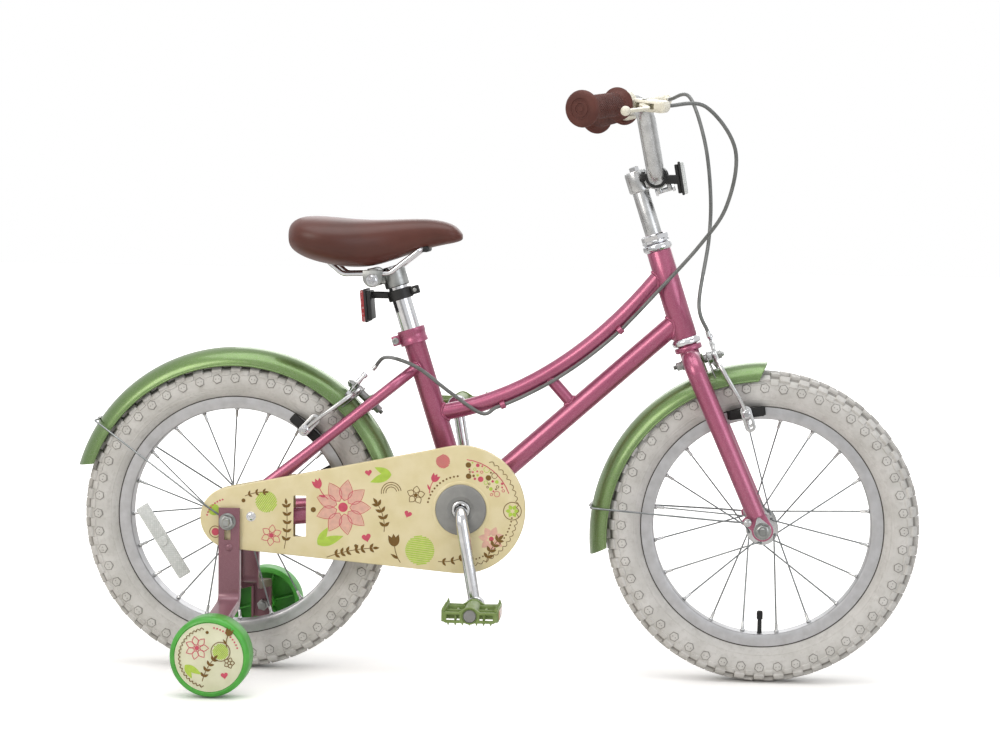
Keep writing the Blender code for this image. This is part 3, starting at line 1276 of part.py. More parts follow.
def make_cables():
    start, way = cable_start(1)
    end = adjuster_top(front_brake_place(), -1)
    points = [start, start + way * 0.012, from_front_axle(-0.1050, 0.078, 0.7660),
              from_front_axle(-0.0840, 0.047, 0.7080), from_front_axle(-0.0750, 0.034, 0.6400),
              from_front_axle(-0.0760, 0.030, 0.5780), end + STEER_UP * 0.045, end + STEER_UP * 0.008, end]
    add_object("front_brake_cable", tube(curve_through(points, 3), CABLE_R, 6), "cable")
    start, way = cable_start(-1)
    place = rear_brake_place()
    end = adjuster_top(place, 1)
    low, high = clip_places()
    points = [start, start + way * 0.012, from_front_axle(-0.0830, -0.100, 0.7480),
              from_front_axle(-0.0450, -0.075, 0.6950), from_front_axle(-0.0540, -0.050, 0.6247),
              from_front_axle(-0.0875, -0.027, 0.5722), from_front_axle(-0.1447, -0.017, 0.5070),
              high[0] + high[1] * 0.008, high[0] - high[1] * 0.008]
    points += [beside_top_tube(index)[0] for index in (8, 7, 6, 5, 4)]
    points += [low[0] + low[1] * 0.010, low[0] - low[1] * 0.010, low[0] - low[1] * 0.030 - Y_AXIS * 0.004,
               from_rear_axle(0.2850, -0.0225, 0.3740),
               from_rear_axle(0.2460, -0.0275, 0.4040), from_rear_axle(0.2170, -0.0300, 0.4170),
               end + place[1] * 0.022, end + place[1] * 0.006, end]
    add_object("rear_brake_cable", tube(curve_through(points, 2), CABLE_R, 5), "cable")


# Wheels

def facet_round(profile, centre, steps):
    # A ring round the Y axis whose lowest facet lies flat and level at the given radius.
    grow = 1 / math.cos(math.pi / steps)
    return turned([(r * grow, h) for r, h in profile], centre, Y_AXIS, steps, math.pi / steps)


def wheel_point(centre, radius, angle, y):
    return centre + Vector((radius * math.cos(angle), y, radius * math.sin(angle)))


def make_wheel(end, centre, valve):
    rubber = TYRE_SECTION + [(r, -y) for r, y in TYRE_SECTION[::-1]]
    low = wheel_point(centre, VALVE_REACH, valve, 0)
    high = wheel_point(centre, RIM_OUTER_R - 0.0045, valve, 0)
    tyre = welded(facet_round(rubber, centre, WHEEL_STEPS), rod(low, high, VALVE_R, 8))
    add_object(end + "_tyre", tyre, "tyre", centre)
    section = RIM_SECTION + [(r, -y) for r, y in RIM_SECTION[::-1]]
    hoop = facet_round(section, centre, WHEEL_STEPS)
    add_object(end + "_rim", cut(hoop, rod(low, high, VALVE_R + GAP, 8)), "silver", centre)


def spoke_line(centre, valve, first_lead, i):
    # The two ends of a spoke. Even spokes are on the chain side; every second pair leads.
    side = 1 if i % 2 else -1
    lead = -first_lead if i // 2 % 2 else first_lead
    angle = valve + math.tau * (i + 0.5) / SPOKE_COUNT
    root = wheel_point(centre, SPOKE_HOLE_R, angle + lead * SPOKE_LEAD,
                       side * (FLANGE_Y + lead * SPOKE_OFFSET))
    return root, wheel_point(centre, SPOKE_RIM_R, angle, side * 0.002)


def make_hub(end, centre, valve, first_lead, low, high):
    # The hub shell with its two flanges, laced with spokes that reach the rim.
    half = FLANGE_T / 2
    bore = AXLE_R + GAP
    profile = [(bore, low), (0.0095, low), (HUB_R, low + 0.003), (HUB_R, -FLANGE_Y - half),
               (FLANGE_R, -FLANGE_Y - half), (FLANGE_R, -FLANGE_Y + half), (HUB_R, -FLANGE_Y + half),
               (HUB_R, FLANGE_Y - half), (FLANGE_R, FLANGE_Y - half), (FLANGE_R, FLANGE_Y + half),
               (HUB_R, FLANGE_Y + half), (HUB_R, high - 0.003), (0.0095, high), (bore, high)]
    shell = turned(profile, centre, Y_AXIS, 10)
    spokes = [rod(*spoke_line(centre, valve, first_lead, i), SPOKE_R, 4) for i in range(SPOKE_COUNT)]
    add_object(end + "_hub", welded(shell, *spokes), "steel", centre)


def make_wheels():
    make_wheel("front", FRONT_AXLE, FRONT_VALVE)
    make_wheel("rear", REAR_AXLE, REAR_VALVE)
    make_hub("front", FRONT_AXLE, FRONT_VALVE, FRONT_LEAD, -0.0394, 0.0394)
    make_hub("rear", REAR_AXLE, REAR_VALVE, REAR_LEAD, -0.0367, 0.0400)


def crossing(start, end, other_start, other_end):
    # How far along the first line the second one crosses it, seen from the side.
    way, other, apart = end - start, other_end - other_start, other_start - start
    return (apart.x * other.z - apart.z * other.x) / (way.x * other.z - way.z * other.x)


def make_wheel_reflector():
    # On the chain side of the rear wheel, with a foot on each of the two spokes it crosses.
    ends = [wheel_point(REAR_AXLE, RIM_INNER_R - reach, math.radians(angle), 0)
            for reach, angle in ((0.0173, 177.0), (0.0368, 228.3))]
    span = ends[1] - ends[0]
    turn = Matrix((span.normalized(), Y_AXIS, span.normalized().cross(Y_AXIS))).transposed()
    middle = ends[0].lerp(ends[1], 0.5) - Y_AXIS * 0.0190
    bar = block(middle, (span.length, 0.0045, 0.020), turn)
    bmesh.ops.bevel(bar, geom=list(bar.edges), offset=0.0012, segments=1, affect="EDGES")
    feet = []
    for i in (8, 10):
        root, tip = spoke_line(REAR_AXLE, REAR_VALVE, REAR_LEAD, i)
        seat_point = root.lerp(tip, crossing(root, tip, *ends)) - Y_AXIS * 0.0025
        feet.append(rod(Vector((seat_point.x, middle.y, seat_point.z)), seat_point, 0.0050))
    add_object("rear_wheel_reflector", welded(bar, *feet), "clear_lens", REAR_AXLE)


# Drive

def crank_way(side):
    # The right arm points down and a little forwards, the left one up and back.
    down = Vector((math.sin(CRANK_TILT), 0, -math.cos(CRANK_TILT)))
    return down if side < 0 else -down


def pedal_axis(side):
    return BB + crank_way(side) * CRANK_LENGTH


def make_crank():
    points = [BB - Y_AXIS * ARM_OUT_Y + crank_way(-1) * CRANK_LENGTH, BB - Y_AXIS * ARM_IN_Y,
              BB + Y_AXIS * ARM_IN_Y, BB + Y_AXIS * ARM_OUT_Y + crank_way(1) * CRANK_LENGTH]
    bar = tube(rounded(points, CRANK_BEND_R), CRANK_R)
    eyes, spindles = [], []
    for side in (1, -1):
        eye = pedal_axis(side)
        out = Y_AXIS * side
        eyes.append(rod(eye + out * (ARM_OUT_Y - EYE_HALF_T), eye + out * (ARM_OUT_Y + EYE_HALF_T), EYE_R))
        end = PEDAL_IN_Y + PEDAL_WIDTH - 0.004
        profile = [(0, ARM_OUT_Y), (0.0082, ARM_OUT_Y), (0.0082, PEDAL_IN_Y - GAP),
                   (SPINDLE_R, PEDAL_IN_Y - GAP), (SPINDLE_R, end), (0, end)]
        spindles.append(turned(profile, eye, out, 10))
    add_object("crank", welded(bar, *eyes, *spindles), "chrome", BB)
    plate_r = pitch_radius(RING_TEETH) - CHAIN_HALF_H - GAP
    disc = rod(BB - Y_AXIS * (CHAIN_Y - 0.00125), BB - Y_AXIS * (CHAIN_Y + 0.00125), plate_r, 24)
    cuts = [rod(BB - Y_AXIS * 0.03, BB - Y_AXIS * 0.06, CRANK_R + GAP, 12)]
    for i in range(5):
        angle = math.tau * i / 5
        middle = BB + Vector((math.cos(angle), 0, math.sin(angle))) * 0.034
        cuts.append(rod(middle - Y_AXIS * 0.03, middle - Y_AXIS * 0.06, 0.0135, 8))
    add_object("chainring", cut(disc, *cuts), "steel", BB)
    start = GUARD_Y + GUARD_T + 0.0006
    profile = [(0.0125, start), (DISC_R, start), (DISC_R, start + 0.0018), (DISC_R - 0.002, start + 0.0030),
               (0.0170, start + 0.0034), (0.0125, start + 0.0011)]
    add_object("crank_disc", turned(profile, BB, -Y_AXIS, 20), "grey_plastic", BB)


def make_sprocket():
    disc_r = pitch_radius(SPROCKET_TEETH) - CHAIN_HALF_H - GAP
    bore = AXLE_R + GAP
    profile = [(bore, 0.0370), (0.0200, 0.0370), (0.0200, CHAIN_Y - 0.00125), (disc_r, CHAIN_Y - 0.00125),
               (disc_r, CHAIN_Y + 0.00125), (0.0180, CHAIN_Y + 0.00125), (0.0180, 0.0495), (bore, 0.0495)]
    add_object("rear_sprocket", turned(profile, REAR_AXLE, -Y_AXIS, 18), "steel", REAR_AXLE)


def make_pedals():
    for side, word in ((1, "left"), (-1, "right")):
        centre = pedal_axis(side)
        middle = PEDAL_IN_Y + PEDAL_WIDTH / 2
        body = block(Vector((0, middle, 0)), (PEDAL_LENGTH, PEDAL_WIDTH, PEDAL_HEIGHT))
        bmesh.ops.bevel(body, geom=list(body.edges), offset=0.003, segments=2, affect="EDGES")
        window_size = (0.017, PEDAL_WIDTH - 0.016, 0.05)
        windows = [block(Vector((x, middle, 0)), window_size) for x in (0.0180, -0.0180)]
        bore_end = Vector((0, PEDAL_IN_Y + PEDAL_WIDTH - 0.003, 0))
        bore = rod(Vector((0, 0.09, 0)), bore_end, SPINDLE_R + GAP, 10)
        solid = on_side(cut(body, *windows, bore), side)
        bmesh.ops.translate(solid, verts=solid.verts, vec=centre)
        add_object("pedal_" + word, solid, "olive_plastic", centre)


# Stabiliser wheels

def make_stabiliser_wheel(side):
    centre = Vector((REAR_X + STAB_X, 0, STAB_WHEEL_R + STAB_LIFT))
    low, high = STAB_WHEEL_OUT_Y - STAB_WHEEL_W, STAB_WHEEL_OUT_Y
    rim = STAB_WHEEL_R
    deep = STAB_ARM_OUT_Y - STAB_ARM_T / 2 + STAB_BOLT_REACH + 0.002
    profile = [(0, deep), (0.0053, deep), (0.0053, low), (0.0120, low), (0.0120, low + 0.020),
               (0.0430, low + 0.020), (0.0430, low), (rim - 0.003, low), (rim, low + 0.003),
               (rim, high - 0.006), (rim - 0.004, high - 0.002), (0.0240, high), (0, high)]
    wheel = facet_round(profile, centre, 16)
    name = "stabiliser_wheel_left" if side > 0 else "stabiliser_wheel_right"
    add_object(name, on_side(wheel, side), "green_plastic", centre + Y_AXIS * side * (low + high) / 2)


clear_scene()
make_frame()
make_seat_clamp()
make_headset()
make_rear_axle()
for side in (1, -1):
    make_stabiliser_bracket(side)
    make_stabiliser_bolt(side)
    make_stabiliser_wheel(side)
make_chain()
make_chain_guard()
make_frame_bolts()
make_rear_mudguard()
make_seat()
make_fork()
make_headset_locknut()
make_stem()
make_handlebar()
make_grips()
make_brackets_and_levers()
make_front_reflector()
make_front_mudguard()
make_front_axle()
make_brakes()
make_cables()
make_wheels()
make_wheel_reflector()
make_crank()
make_sprocket()
make_pedals()
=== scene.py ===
# A child's bicycle with stabiliser wheels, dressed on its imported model. Lengths are in metres.
import json
import math
import random

import bmesh
import bpy
from mathutils import Matrix, Vector
from mathutils.bvhtree import BVHTree


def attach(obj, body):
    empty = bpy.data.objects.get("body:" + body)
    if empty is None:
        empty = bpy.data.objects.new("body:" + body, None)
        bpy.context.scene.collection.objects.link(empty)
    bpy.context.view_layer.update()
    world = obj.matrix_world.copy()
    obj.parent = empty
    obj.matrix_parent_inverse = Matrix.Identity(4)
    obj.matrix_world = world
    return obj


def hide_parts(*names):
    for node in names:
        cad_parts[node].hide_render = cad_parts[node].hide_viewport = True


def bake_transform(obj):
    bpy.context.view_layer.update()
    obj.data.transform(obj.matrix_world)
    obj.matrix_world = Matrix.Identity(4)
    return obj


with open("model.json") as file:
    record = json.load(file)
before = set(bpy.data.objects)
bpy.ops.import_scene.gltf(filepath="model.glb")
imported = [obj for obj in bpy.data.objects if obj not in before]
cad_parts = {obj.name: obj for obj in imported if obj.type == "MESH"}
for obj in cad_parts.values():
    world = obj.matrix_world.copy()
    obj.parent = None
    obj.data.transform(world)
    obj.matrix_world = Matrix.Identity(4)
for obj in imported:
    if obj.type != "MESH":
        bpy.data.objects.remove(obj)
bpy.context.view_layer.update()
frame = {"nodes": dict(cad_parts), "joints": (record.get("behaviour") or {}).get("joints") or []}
print("frame loaded with", len(frame["nodes"]), "nodes")

mm = 0.001
acrossX = Vector((1, 0, 0))
acrossY = Vector((0, 1, 0))
upZ = Vector((0, 0, 1))
jointOf = {joint["name"]: joint for joint in frame["joints"]}


def jointPoint(name):
    return Vector(jointOf[name]["pos_m"])


frontAxle = jointPoint("front_wheel_spin")
rearAxle = jointPoint("rear_wheel_spin")
crankCentre = jointPoint("crank_spin")
steerUp = Vector(jointOf["steering"]["axis"]).normalized()
steerFore = Vector((steerUp.z, 0, -steerUp.x))
seatUp = Vector(jointOf["seat_height"]["axis"]).normalized()
seatFore = Vector((seatUp.z, 0, -seatUp.x))
groundZ = 0.0


def onSteerer(up, fore=0.0, across=0.0):
    # A place by its height along the steering axis, measured from the front axle.
    return frontAxle + steerFore * (fore - 24 * mm) + steerUp * up + acrossY * across


def onSeatTube(up, fore=0.0, across=0.0):
    # A place by its distance up the seat tube from the bottom bracket.
    return crankCentre + seatFore * (fore - 4 * mm) + seatUp * up + acrossY * across


def fromRearAxle(x, y, z):
    # A place by its distance in front of the rear axle, to the left, and above the ground.
    return Vector((rearAxle.x + x, y, z))


# Shapes

def arcPoints(centre, radius, start, end, steps):
    turns = [start + (end - start) * i / steps for i in range(steps + 1)]
    return [(centre[0] + radius * math.cos(a), centre[1] + radius * math.sin(a)) for a in turns]


def roundedPath(points, radii, step=math.radians(6)):
    # A path whose corners are arcs.
    points = [Vector(point) for point in points]
    if not isinstance(radii, list):
        radii = [radii] * (len(points) - 2)
    path = [points[0]]
    for before, corner, after, radius in zip(points, points[1:], points[2:], radii):
        back = (before - corner).normalized()
        on = (after - corner).normalized()
        turn = math.pi - back.angle(on)
        if turn < 1e-4 or radius <= 0:
            path.append(corner)
            continue
        reach = radius * math.tan(turn / 2)
        centre = corner + (back + on).normalized() * math.hypot(radius, reach)
        first = corner + back * reach - centre
        normal = first.cross(corner + on * reach - centre).normalized()
        count = max(3, round(turn / step))
        path += [centre + Matrix.Rotation(turn * i / count, 3, normal) @ first for i in range(count + 1)]
    path.append(points[-1])
    return path


def curveThrough(points, perSpan=8):
    # A smooth curve through given points.
    points = [Vector(point) for point in points]
    ends = [2 * points[0] - points[1], *points, 2 * points[-1] - points[-2]]
    path = []
    for a, b, c, d in zip(ends, ends[1:], ends[2:], ends[3:]):
        for i in range(perSpan):
            t = i / perSpan
            path.append(0.5 * (2 * b + (c - a) * t + (2 * a - 5 * b + 4 * c - d) * t * t
                               + (3 * b - a - 3 * c + d) * t ** 3))
    path.append(points[-1])
    return path


def framesAlong(points, up=None, closed=False):
    # A side and an up direction at each point of a path.
    result = []
    side = None
    count = len(points)
    for i, point in enumerate(points):
        ahead = points[(i + 1) % count] - point if closed or i + 1 < count else point - points[i - 1]
        behind = point - points[i - 1] if closed or i else ahead
        tangent = (ahead.normalized() + behind.normalized()).normalized()
        if up is not None:
            side = tangent.cross(up(point) if callable(up) else up).normalized()
        elif side is None:
            side = tangent.orthogonal().normalized()
        else:
            side = (side - tangent * side.dot(tangent)).normalized()
        stretch = 1 / max(0.5, tangent.dot(ahead.normalized()))
        result.append((point, side, side.cross(tangent), stretch))
    return result


def closedShape(shape):
    # Its faces turned outwards.
    bmesh.ops.recalc_face_normals(shape, faces=shape.faces)
    return shape


def bridge(shape, low, high):
    # Quads between two rings of equally many corners.
    for i in range(len(low)):
        j = (i + 1) % len(low)
        shape.faces.new((low[i], low[j], high[j], high[i]))


def sweptShape(points, section, up=None, size=None, closed=False):
    # A solid along a path. The section's points are (side, up); size scales both at each point.
    shape = bmesh.new()
    rings = []
    for i, (point, side, rise, stretch) in enumerate(framesAlong(points, up, closed)):
        wide, tall = size[i] if size else (1, 1)
        rings.append([shape.verts.new(point + side * a * wide + rise * b * tall) for a, b in section])
    count = len(section)
    pairs = list(zip(rings, rings[1:]))
    if closed:
        pairs.append((rings[-1], rings[0]))
    for low, high in pairs:
        bridge(shape, low, high)
    if not closed:
        shape.faces.new(rings[0])
        shape.faces.new(rings[-1])
    return closedShape(shape)


def stripShape(points, section, side):
    # A strip bent about one direction, which stays its side direction all along.
    return sweptShape(points, [(-b, a) for a, b in section], up=lambda point: side)


def ovalSection(halfSide, halfUp, sides=24):
    turns = [math.tau * (i + 0.5) / sides for i in range(sides)]
    return [(halfSide * math.cos(a), halfUp * math.sin(a)) for a in turns]


def softSection(width, height, radius, steps=3):
    # A rectangle with round corners.
    points = []
    for x, y, start in ((1, 1, 0), (-1, 1, 90), (-1, -1, 180), (1, -1, 270)):
        centre = (x * (width / 2 - radius), y * (height / 2 - radius))
        points += arcPoints(centre, radius, math.radians(start), math.radians(start + 90), steps)
    return points


def tubeShape(points, radius, sides=24):
    return sweptShape(points, ovalSection(radius, radius, sides))


def turnedShape(profile, start, axis, steps=64):
    # A profile of (radius, distance along the axis) turned round it. It closes on the axis or on itself.
    axis = axis.normalized()
    side = axis.orthogonal().normalized()
    up = axis.cross(side)
    shape = bmesh.new()
    rings = []
    for radius, along in profile:
        centre = start + axis * along
        if radius < 1e-7:
            rings.append([shape.verts.new(centre)])
        else:
            turns = [math.tau * i / steps for i in range(steps)]
            rings.append([shape.verts.new(centre + (side * math.cos(a) + up * math.sin(a)) * radius)
                          for a in turns])
    pairs = list(zip(rings, rings[1:]))
    if len(rings[0]) > 1 and len(rings[-1]) > 1:
        pairs.append((rings[-1], rings[0]))
    for low, high in pairs:
        for i in range(steps):
            j = (i + 1) % steps
            corners = [low[i % len(low)], low[j % len(low)], high[j % len(high)], high[i % len(high)]]
            corners = [v for k, v in enumerate(corners) if v not in corners[:k]]
            if len(corners) > 2:
                shape.faces.new(corners)
    return closedShape(shape)


def rodShape(start, end, radius, steps=32, edge=0.4 * mm):
    # A round bar with softened ends.
    length = (end - start).length
    edge = min(edge, radius / 3, length / 3)
    profile = [(0, 0), (radius - edge, 0), (radius - edge * 0.3, edge * 0.3), (radius, edge),
               (radius, length - edge), (radius - edge * 0.3, length - edge * 0.3), (radius - edge, length),
               (0, length)]
    return turnedShape(profile, start, end - start, steps)


def ringShape(start, end, radius, bore, steps=40, edge=0.3 * mm):
    length = (end - start).length
    edge = min(edge, (radius - bore) / 3, length / 3)
    profile = [(bore, 0), (radius - edge, 0), (radius, edge), (radius, length - edge),
               (radius - edge, length), (bore, length)]
    return turnedShape(profile, start, end - start, steps)


def blockShape(centre, size, turn=None, edge=0.6 * mm, segments=2):
    shape = bmesh.new()
    bmesh.ops.create_cube(shape, size=1)
    bmesh.ops.scale(shape, vec=size, verts=shape.verts)
    if edge:
        bmesh.ops.bevel(shape, geom=list(shape.edges), offset=edge, segments=segments, affect="EDGES",
                        profile=0.5)
    if turn is not None:
        bmesh.ops.rotate(shape, cent=(0, 0, 0), matrix=turn, verts=shape.verts)
    bmesh.ops.translate(shape, vec=centre, verts=shape.verts)
    return closedShape(shape)


def plateShape(outline, low, high, edge=0.4 * mm, segments=2):
    # A flat plate: an outline of (x, z) points pulled out along Y, with softened edges.
    shape = bmesh.new()
    face = shape.faces.new([shape.verts.new((x, low, z)) for x, z in outline])
    pulled = bmesh.ops.extrude_face_region(shape, geom=[face])
    moved = [v for v in pulled["geom"] if isinstance(v, bmesh.types.BMVert)]
    bmesh.ops.translate(shape, vec=(0, high - low, 0), verts=moved)
    bmesh.ops.recalc_face_normals(shape, faces=shape.faces)
    if edge:
        rims = [e for e in shape.edges if abs(e.verts[0].co.y - e.verts[1].co.y) < 1e-7]
        bmesh.ops.bevel(shape, geom=rims, offset=edge, segments=segments, affect="EDGES", profile=0.5)
    return shape


def hexShape(start, end, acrossCorners, chamfer=0.5 * mm):
    # A hexagon head: its corners are turned down at the outer end.
    axis = (end - start).normalized()
    side = axis.orthogonal().normalized()
    up = axis.cross(side)
    length = (end - start).length
    shape = bmesh.new()
    rings = []
    for along, shrink in ((0, 0), (length - chamfer, 0), (length, chamfer * 1.6)):
        radius = acrossCorners - shrink
        rings.append([shape.verts.new(start + axis * along
                                      + (side * math.cos(a) + up * math.sin(a)) * radius)
                      for a in (math.tau * i / 6 for i in range(6))])
    for low, high in zip(rings, rings[1:]):
        bridge(shape, low, high)
    shape.faces.new(rings[0])
    shape.faces.new(rings[-1])
    return closedShape(shape)


def joinedShape(*shapes):
    result = bmesh.new()
    for shape in shapes:
        mesh = bpy.data.meshes.new("join")
        shape.to_mesh(mesh)
        result.from_mesh(mesh)
        bpy.data.meshes.remove(mesh)
        shape.free()
    return result


def copiedShape(shape):
    return shape.copy()


def mirroredShape(shape, side=-1):
    # The same shape on the other side of the bicycle.
    if side < 0:
        bmesh.ops.scale(shape, vec=(1, -1, 1), verts=shape.verts)
        bmesh.ops.reverse_faces(shape, faces=shape.faces)
    return shape


def carvedShape(shape, *cutters, operation="DIFFERENCE"):
    # Cuts the cutters out of the shape.
    holders = []
    for part in (shape, *cutters):
        mesh = bpy.data.meshes.new("carve")
        part.to_mesh(mesh)
        part.free()
        holder = bpy.data.objects.new("carve", mesh)
        bpy.context.scene.collection.objects.link(holder)
        holders.append(holder)
    for cutter in holders[1:]:
        change = holders[0].modifiers.new("carve", "BOOLEAN")
        change.operation = operation
        change.solver = "EXACT"
        change.object = cutter
    result = bmesh.new()
    result.from_object(holders[0], bpy.context.evaluated_depsgraph_get())
    for holder in holders:
        mesh = holder.data
        bpy.data.objects.remove(holder)
        bpy.data.meshes.remove(mesh)
    bmesh.ops.remove_doubles(result, verts=result.verts, dist=1e-6)
    return result


pieceCount = 0


def makePiece(name, shape, material, body, stands=(), sharp=35, subdivide=0):
    # Turns a shape into a piece that rides on a body, and hides the solids it stands for. A piece given two
    # bodies across a joint, with the places where it leaves one and joins the other, is only fixed where it
    # stands.
    global pieceCount
    mesh = bpy.data.meshes.new(name)
    shape.to_mesh(mesh)
    shape.free()
    mesh.shade_smooth()
    mesh.set_sharp_from_angle(angle=math.radians(sharp))
    piece = bpy.data.objects.new(name, mesh)
    bpy.context.scene.collection.objects.link(piece)
    mesh.materials.append(material)
    if subdivide:
        change = piece.modifiers.new("smooth", "SUBSURF")
        change.levels = change.render_levels = subdivide
    if isinstance(body, str):
        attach(piece, body)
    else:
        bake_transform(piece)
    if stands:
        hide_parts(*([stands] if isinstance(stands, str) else stands))
    pieceCount += 1
    return piece


# Materials

def linearChannel(value):
    return value / 12.92 if value <= 0.04045 else ((value + 0.055) / 1.055) ** 2.4


def hexColour(code):
    channels = [int(code[i:i + 2], 16) / 255 for i in (1, 3, 5)]
    return (*[linearChannel(c) for c in channels], 1.0)


def addNode(tree, kind, settings=None):
    # One node. Its properties are set first, by name, then its sockets by name or number: a value
    # that is another node's output is linked.
    node = tree.nodes.new(kind)
    later = {}
    for key, value in (settings or {}).items():
        if isinstance(key, str) and hasattr(node, key):
            setattr(node, key, value)
        else:
            later[key] = value
    for key, value in later.items():
        if isinstance(value, bpy.types.NodeSocket):
            tree.links.new(value, node.inputs[key])
        else:
            node.inputs[key].default_value = value
    return node


def maths(tree, operation, *values):
    node = addNode(tree, "ShaderNodeMath", {"operation": operation, **dict(enumerate(values))})
    return node.outputs[0]


def ranged(tree, value, settings):
    return addNode(tree, "ShaderNodeMapRange", {**settings, "Value": value}).outputs[0]


def mixed(tree, share, low, high):
    # A blend of two colours, each a hex code or a node's output.
    ends = {6 + i: hexColour(c) if isinstance(c, str) else c for i, c in enumerate((low, high))}
    return addNode(tree, "ShaderNodeMix", {"data_type": "RGBA", 0: share, **ends}).outputs[2]


def newMaterial(name, settings):
    material = bpy.data.materials.new(name)
    material.use_nodes = True
    tree = material.node_tree
    shader = tree.nodes["Principled BSDF"]
    for key, value in settings.items():
        shader.inputs[key].default_value = value
    place = addNode(tree, "ShaderNodeTexCoord").outputs["Object"]
    return material, tree, shader, place


def perMm(size):
    # The texture scale at which one cell of a pattern is this many millimetres.
    return 1000 / size


def cloud(tree, place, sizeMm, detail, roughness=0.5):
    settings = {"Scale": perMm(sizeMm), "Detail": detail, "Roughness": roughness, "Vector": place}
    return addNode(tree, "ShaderNodeTexNoise", settings).outputs["Fac"]


def variedColour(tree, shader, place, low, high, sizeMm, detail=3.0, lowAt=0.35, highAt=0.65):
    # Soft cloudy variation between two colours. Returns the noise for other uses.
    noise = cloud(tree, place, sizeMm, detail)
    ramp = ranged(tree, noise, {"From Min": lowAt, "From Max": highAt})
    mix = mixed(tree, ramp, low, high)
    tree.links.new(mix, shader.inputs["Base Color"])
    return mix


def variedRoughness(tree, shader, place, low, high, sizeMm):
    noise = cloud(tree, place, sizeMm, 4.0)
    spread = ranged(tree, noise, {"From Min": 0.3, "From Max": 0.7, "To Min": low, "To Max": high})
    tree.links.new(spread, shader.inputs["Roughness"])


def surfaceGrain(tree, shader, source, heightMm, strength=1.0):
    bump = addNode(tree, "ShaderNodeBump",
                   {"Strength": strength, "Distance": heightMm * mm, "Height": source})
    tree.links.new(bump.outputs["Normal"], shader.inputs["Normal"])
    return bump


def metallicLacquer(name, low, high, metallic, sheen, dust="#c9bdb6"):
    # Sprayed metallic lacquer under a smooth clear coat. Its fine flakes' glints are painted into the base
    # colour as random cells lightened towards near white.
    material, tree, shader, place = newMaterial(name, {
        "Metallic": metallic, "Roughness": 0.34, "Coat Weight": 0.55, "Coat Roughness": 0.07,
        "Coat IOR": 1.5})
    mix = variedColour(tree, shader, place, low, high, 90)
    # Painted glints: flake cells lightened towards near white in the base colour.
    flake = addNode(tree, "ShaderNodeTexVoronoi", {"Scale": perMm(0.45), "Vector": place})
    glint = addNode(tree, "ShaderNodeSeparateColor", {"Color": flake.outputs["Color"]})
    light = ranged(tree, glint.outputs[0], {"From Min": 0.55, "To Max": sheen})
    paintedGlints = mixed(tree, light, mix, "#ffe9ee")
    height = addNode(tree, "ShaderNodeSeparateXYZ", {"Vector": place})
    low = ranged(tree, height.outputs["Z"],
                 {"From Min": 0.10, "From Max": 0.34, "To Min": 0.07, "To Max": 0.0})
    dusty = mixed(tree, low, paintedGlints, dust)
    tree.links.new(dusty, shader.inputs["Base Color"])
    variedRoughness(tree, shader, place, 0.30, 0.38, 35)
    peel = cloud(tree, place, 2.5, 1.0)
    surfaceGrain(tree, shader, peel, 0.012, 0.5)
    return material


def platedMetal(name, low, high, roughness, scratchMm=1.6, depth=0.004, metallic=1.0):
    # Polished or plated metal: even colour, soft changes in gloss, and hairline rubbing marks.
    material, tree, shader, place = newMaterial(name, {"Metallic": metallic, "Roughness": roughness})
    variedColour(tree, shader, place, low, high, 14)
    variedRoughness(tree, shader, place, roughness * 0.92, roughness * 1.1, 9)
    stretch = addNode(tree, "ShaderNodeMapping", {"Scale": (1.0, 9.0, 1.0), "Vector": place})
    rub = cloud(tree, stretch.outputs[0], scratchMm, 2.0)
    surfaceGrain(tree, shader, rub, depth, 0.35)
    return material


def mouldedPlastic(name, low, high, roughness, grainMm=0.8, depth=0.01, specular=0.5, coat=0.0):
    # Injection moulded plastic: even colour with a faint cast and a fine spark-eroded grain.
    material, tree, shader, place = newMaterial(name, {
        "Roughness": roughness, "Specular IOR Level": specular, "Coat Weight": coat, "Coat Roughness": 0.12})
    variedColour(tree, shader, place, low, high, 22)
    variedRoughness(tree, shader, place, roughness * 0.85, roughness * 1.15, 12)
    grain = cloud(tree, place, grainMm, 3.0)
    surfaceGrain(tree, shader, grain, depth, 0.4)
    return material


def paleTyreRubber(name, low, high, dirt):
    # Moulded pale rubber: chalky, with grey road dust and mould marks in the grain.
    material, tree, shader, place = newMaterial(name, {"Roughness": 0.72, "Specular IOR Level": 0.32})
    mix = variedColour(tree, shader, place, low, high, 30)
    scuff = cloud(tree, place, 7, 6.0, 0.7)
    grime = ranged(tree, scuff, {"From Min": 0.5, "From Max": 0.78, "To Max": 0.5})
    dirty = mixed(tree, grime, mix, dirt)
    tree.links.new(dirty, shader.inputs["Base Color"])
    surfaceGrain(tree, shader, scuff, 0.12, 0.5)
    return material


def softVinyl():
    # Vacuum-formed vinyl over foam: a warm satin skin with a fine pebble grain.
    material, tree, shader, place = newMaterial("brownVinyl", {
        "Roughness": 0.42, "Specular IOR Level": 0.42, "Coat Weight": 0.08, "Coat Roughness": 0.3})
    variedColour(tree, shader, place, "#51291f", "#5f3127", 60)
    pebble = addNode(tree, "ShaderNodeTexVoronoi",
                     {"feature": "SMOOTH_F1", "Scale": perMm(1.5), "Vector": place})
    surfaceGrain(tree, shader, pebble.outputs["Distance"], 0.09, 0.45)
    return material


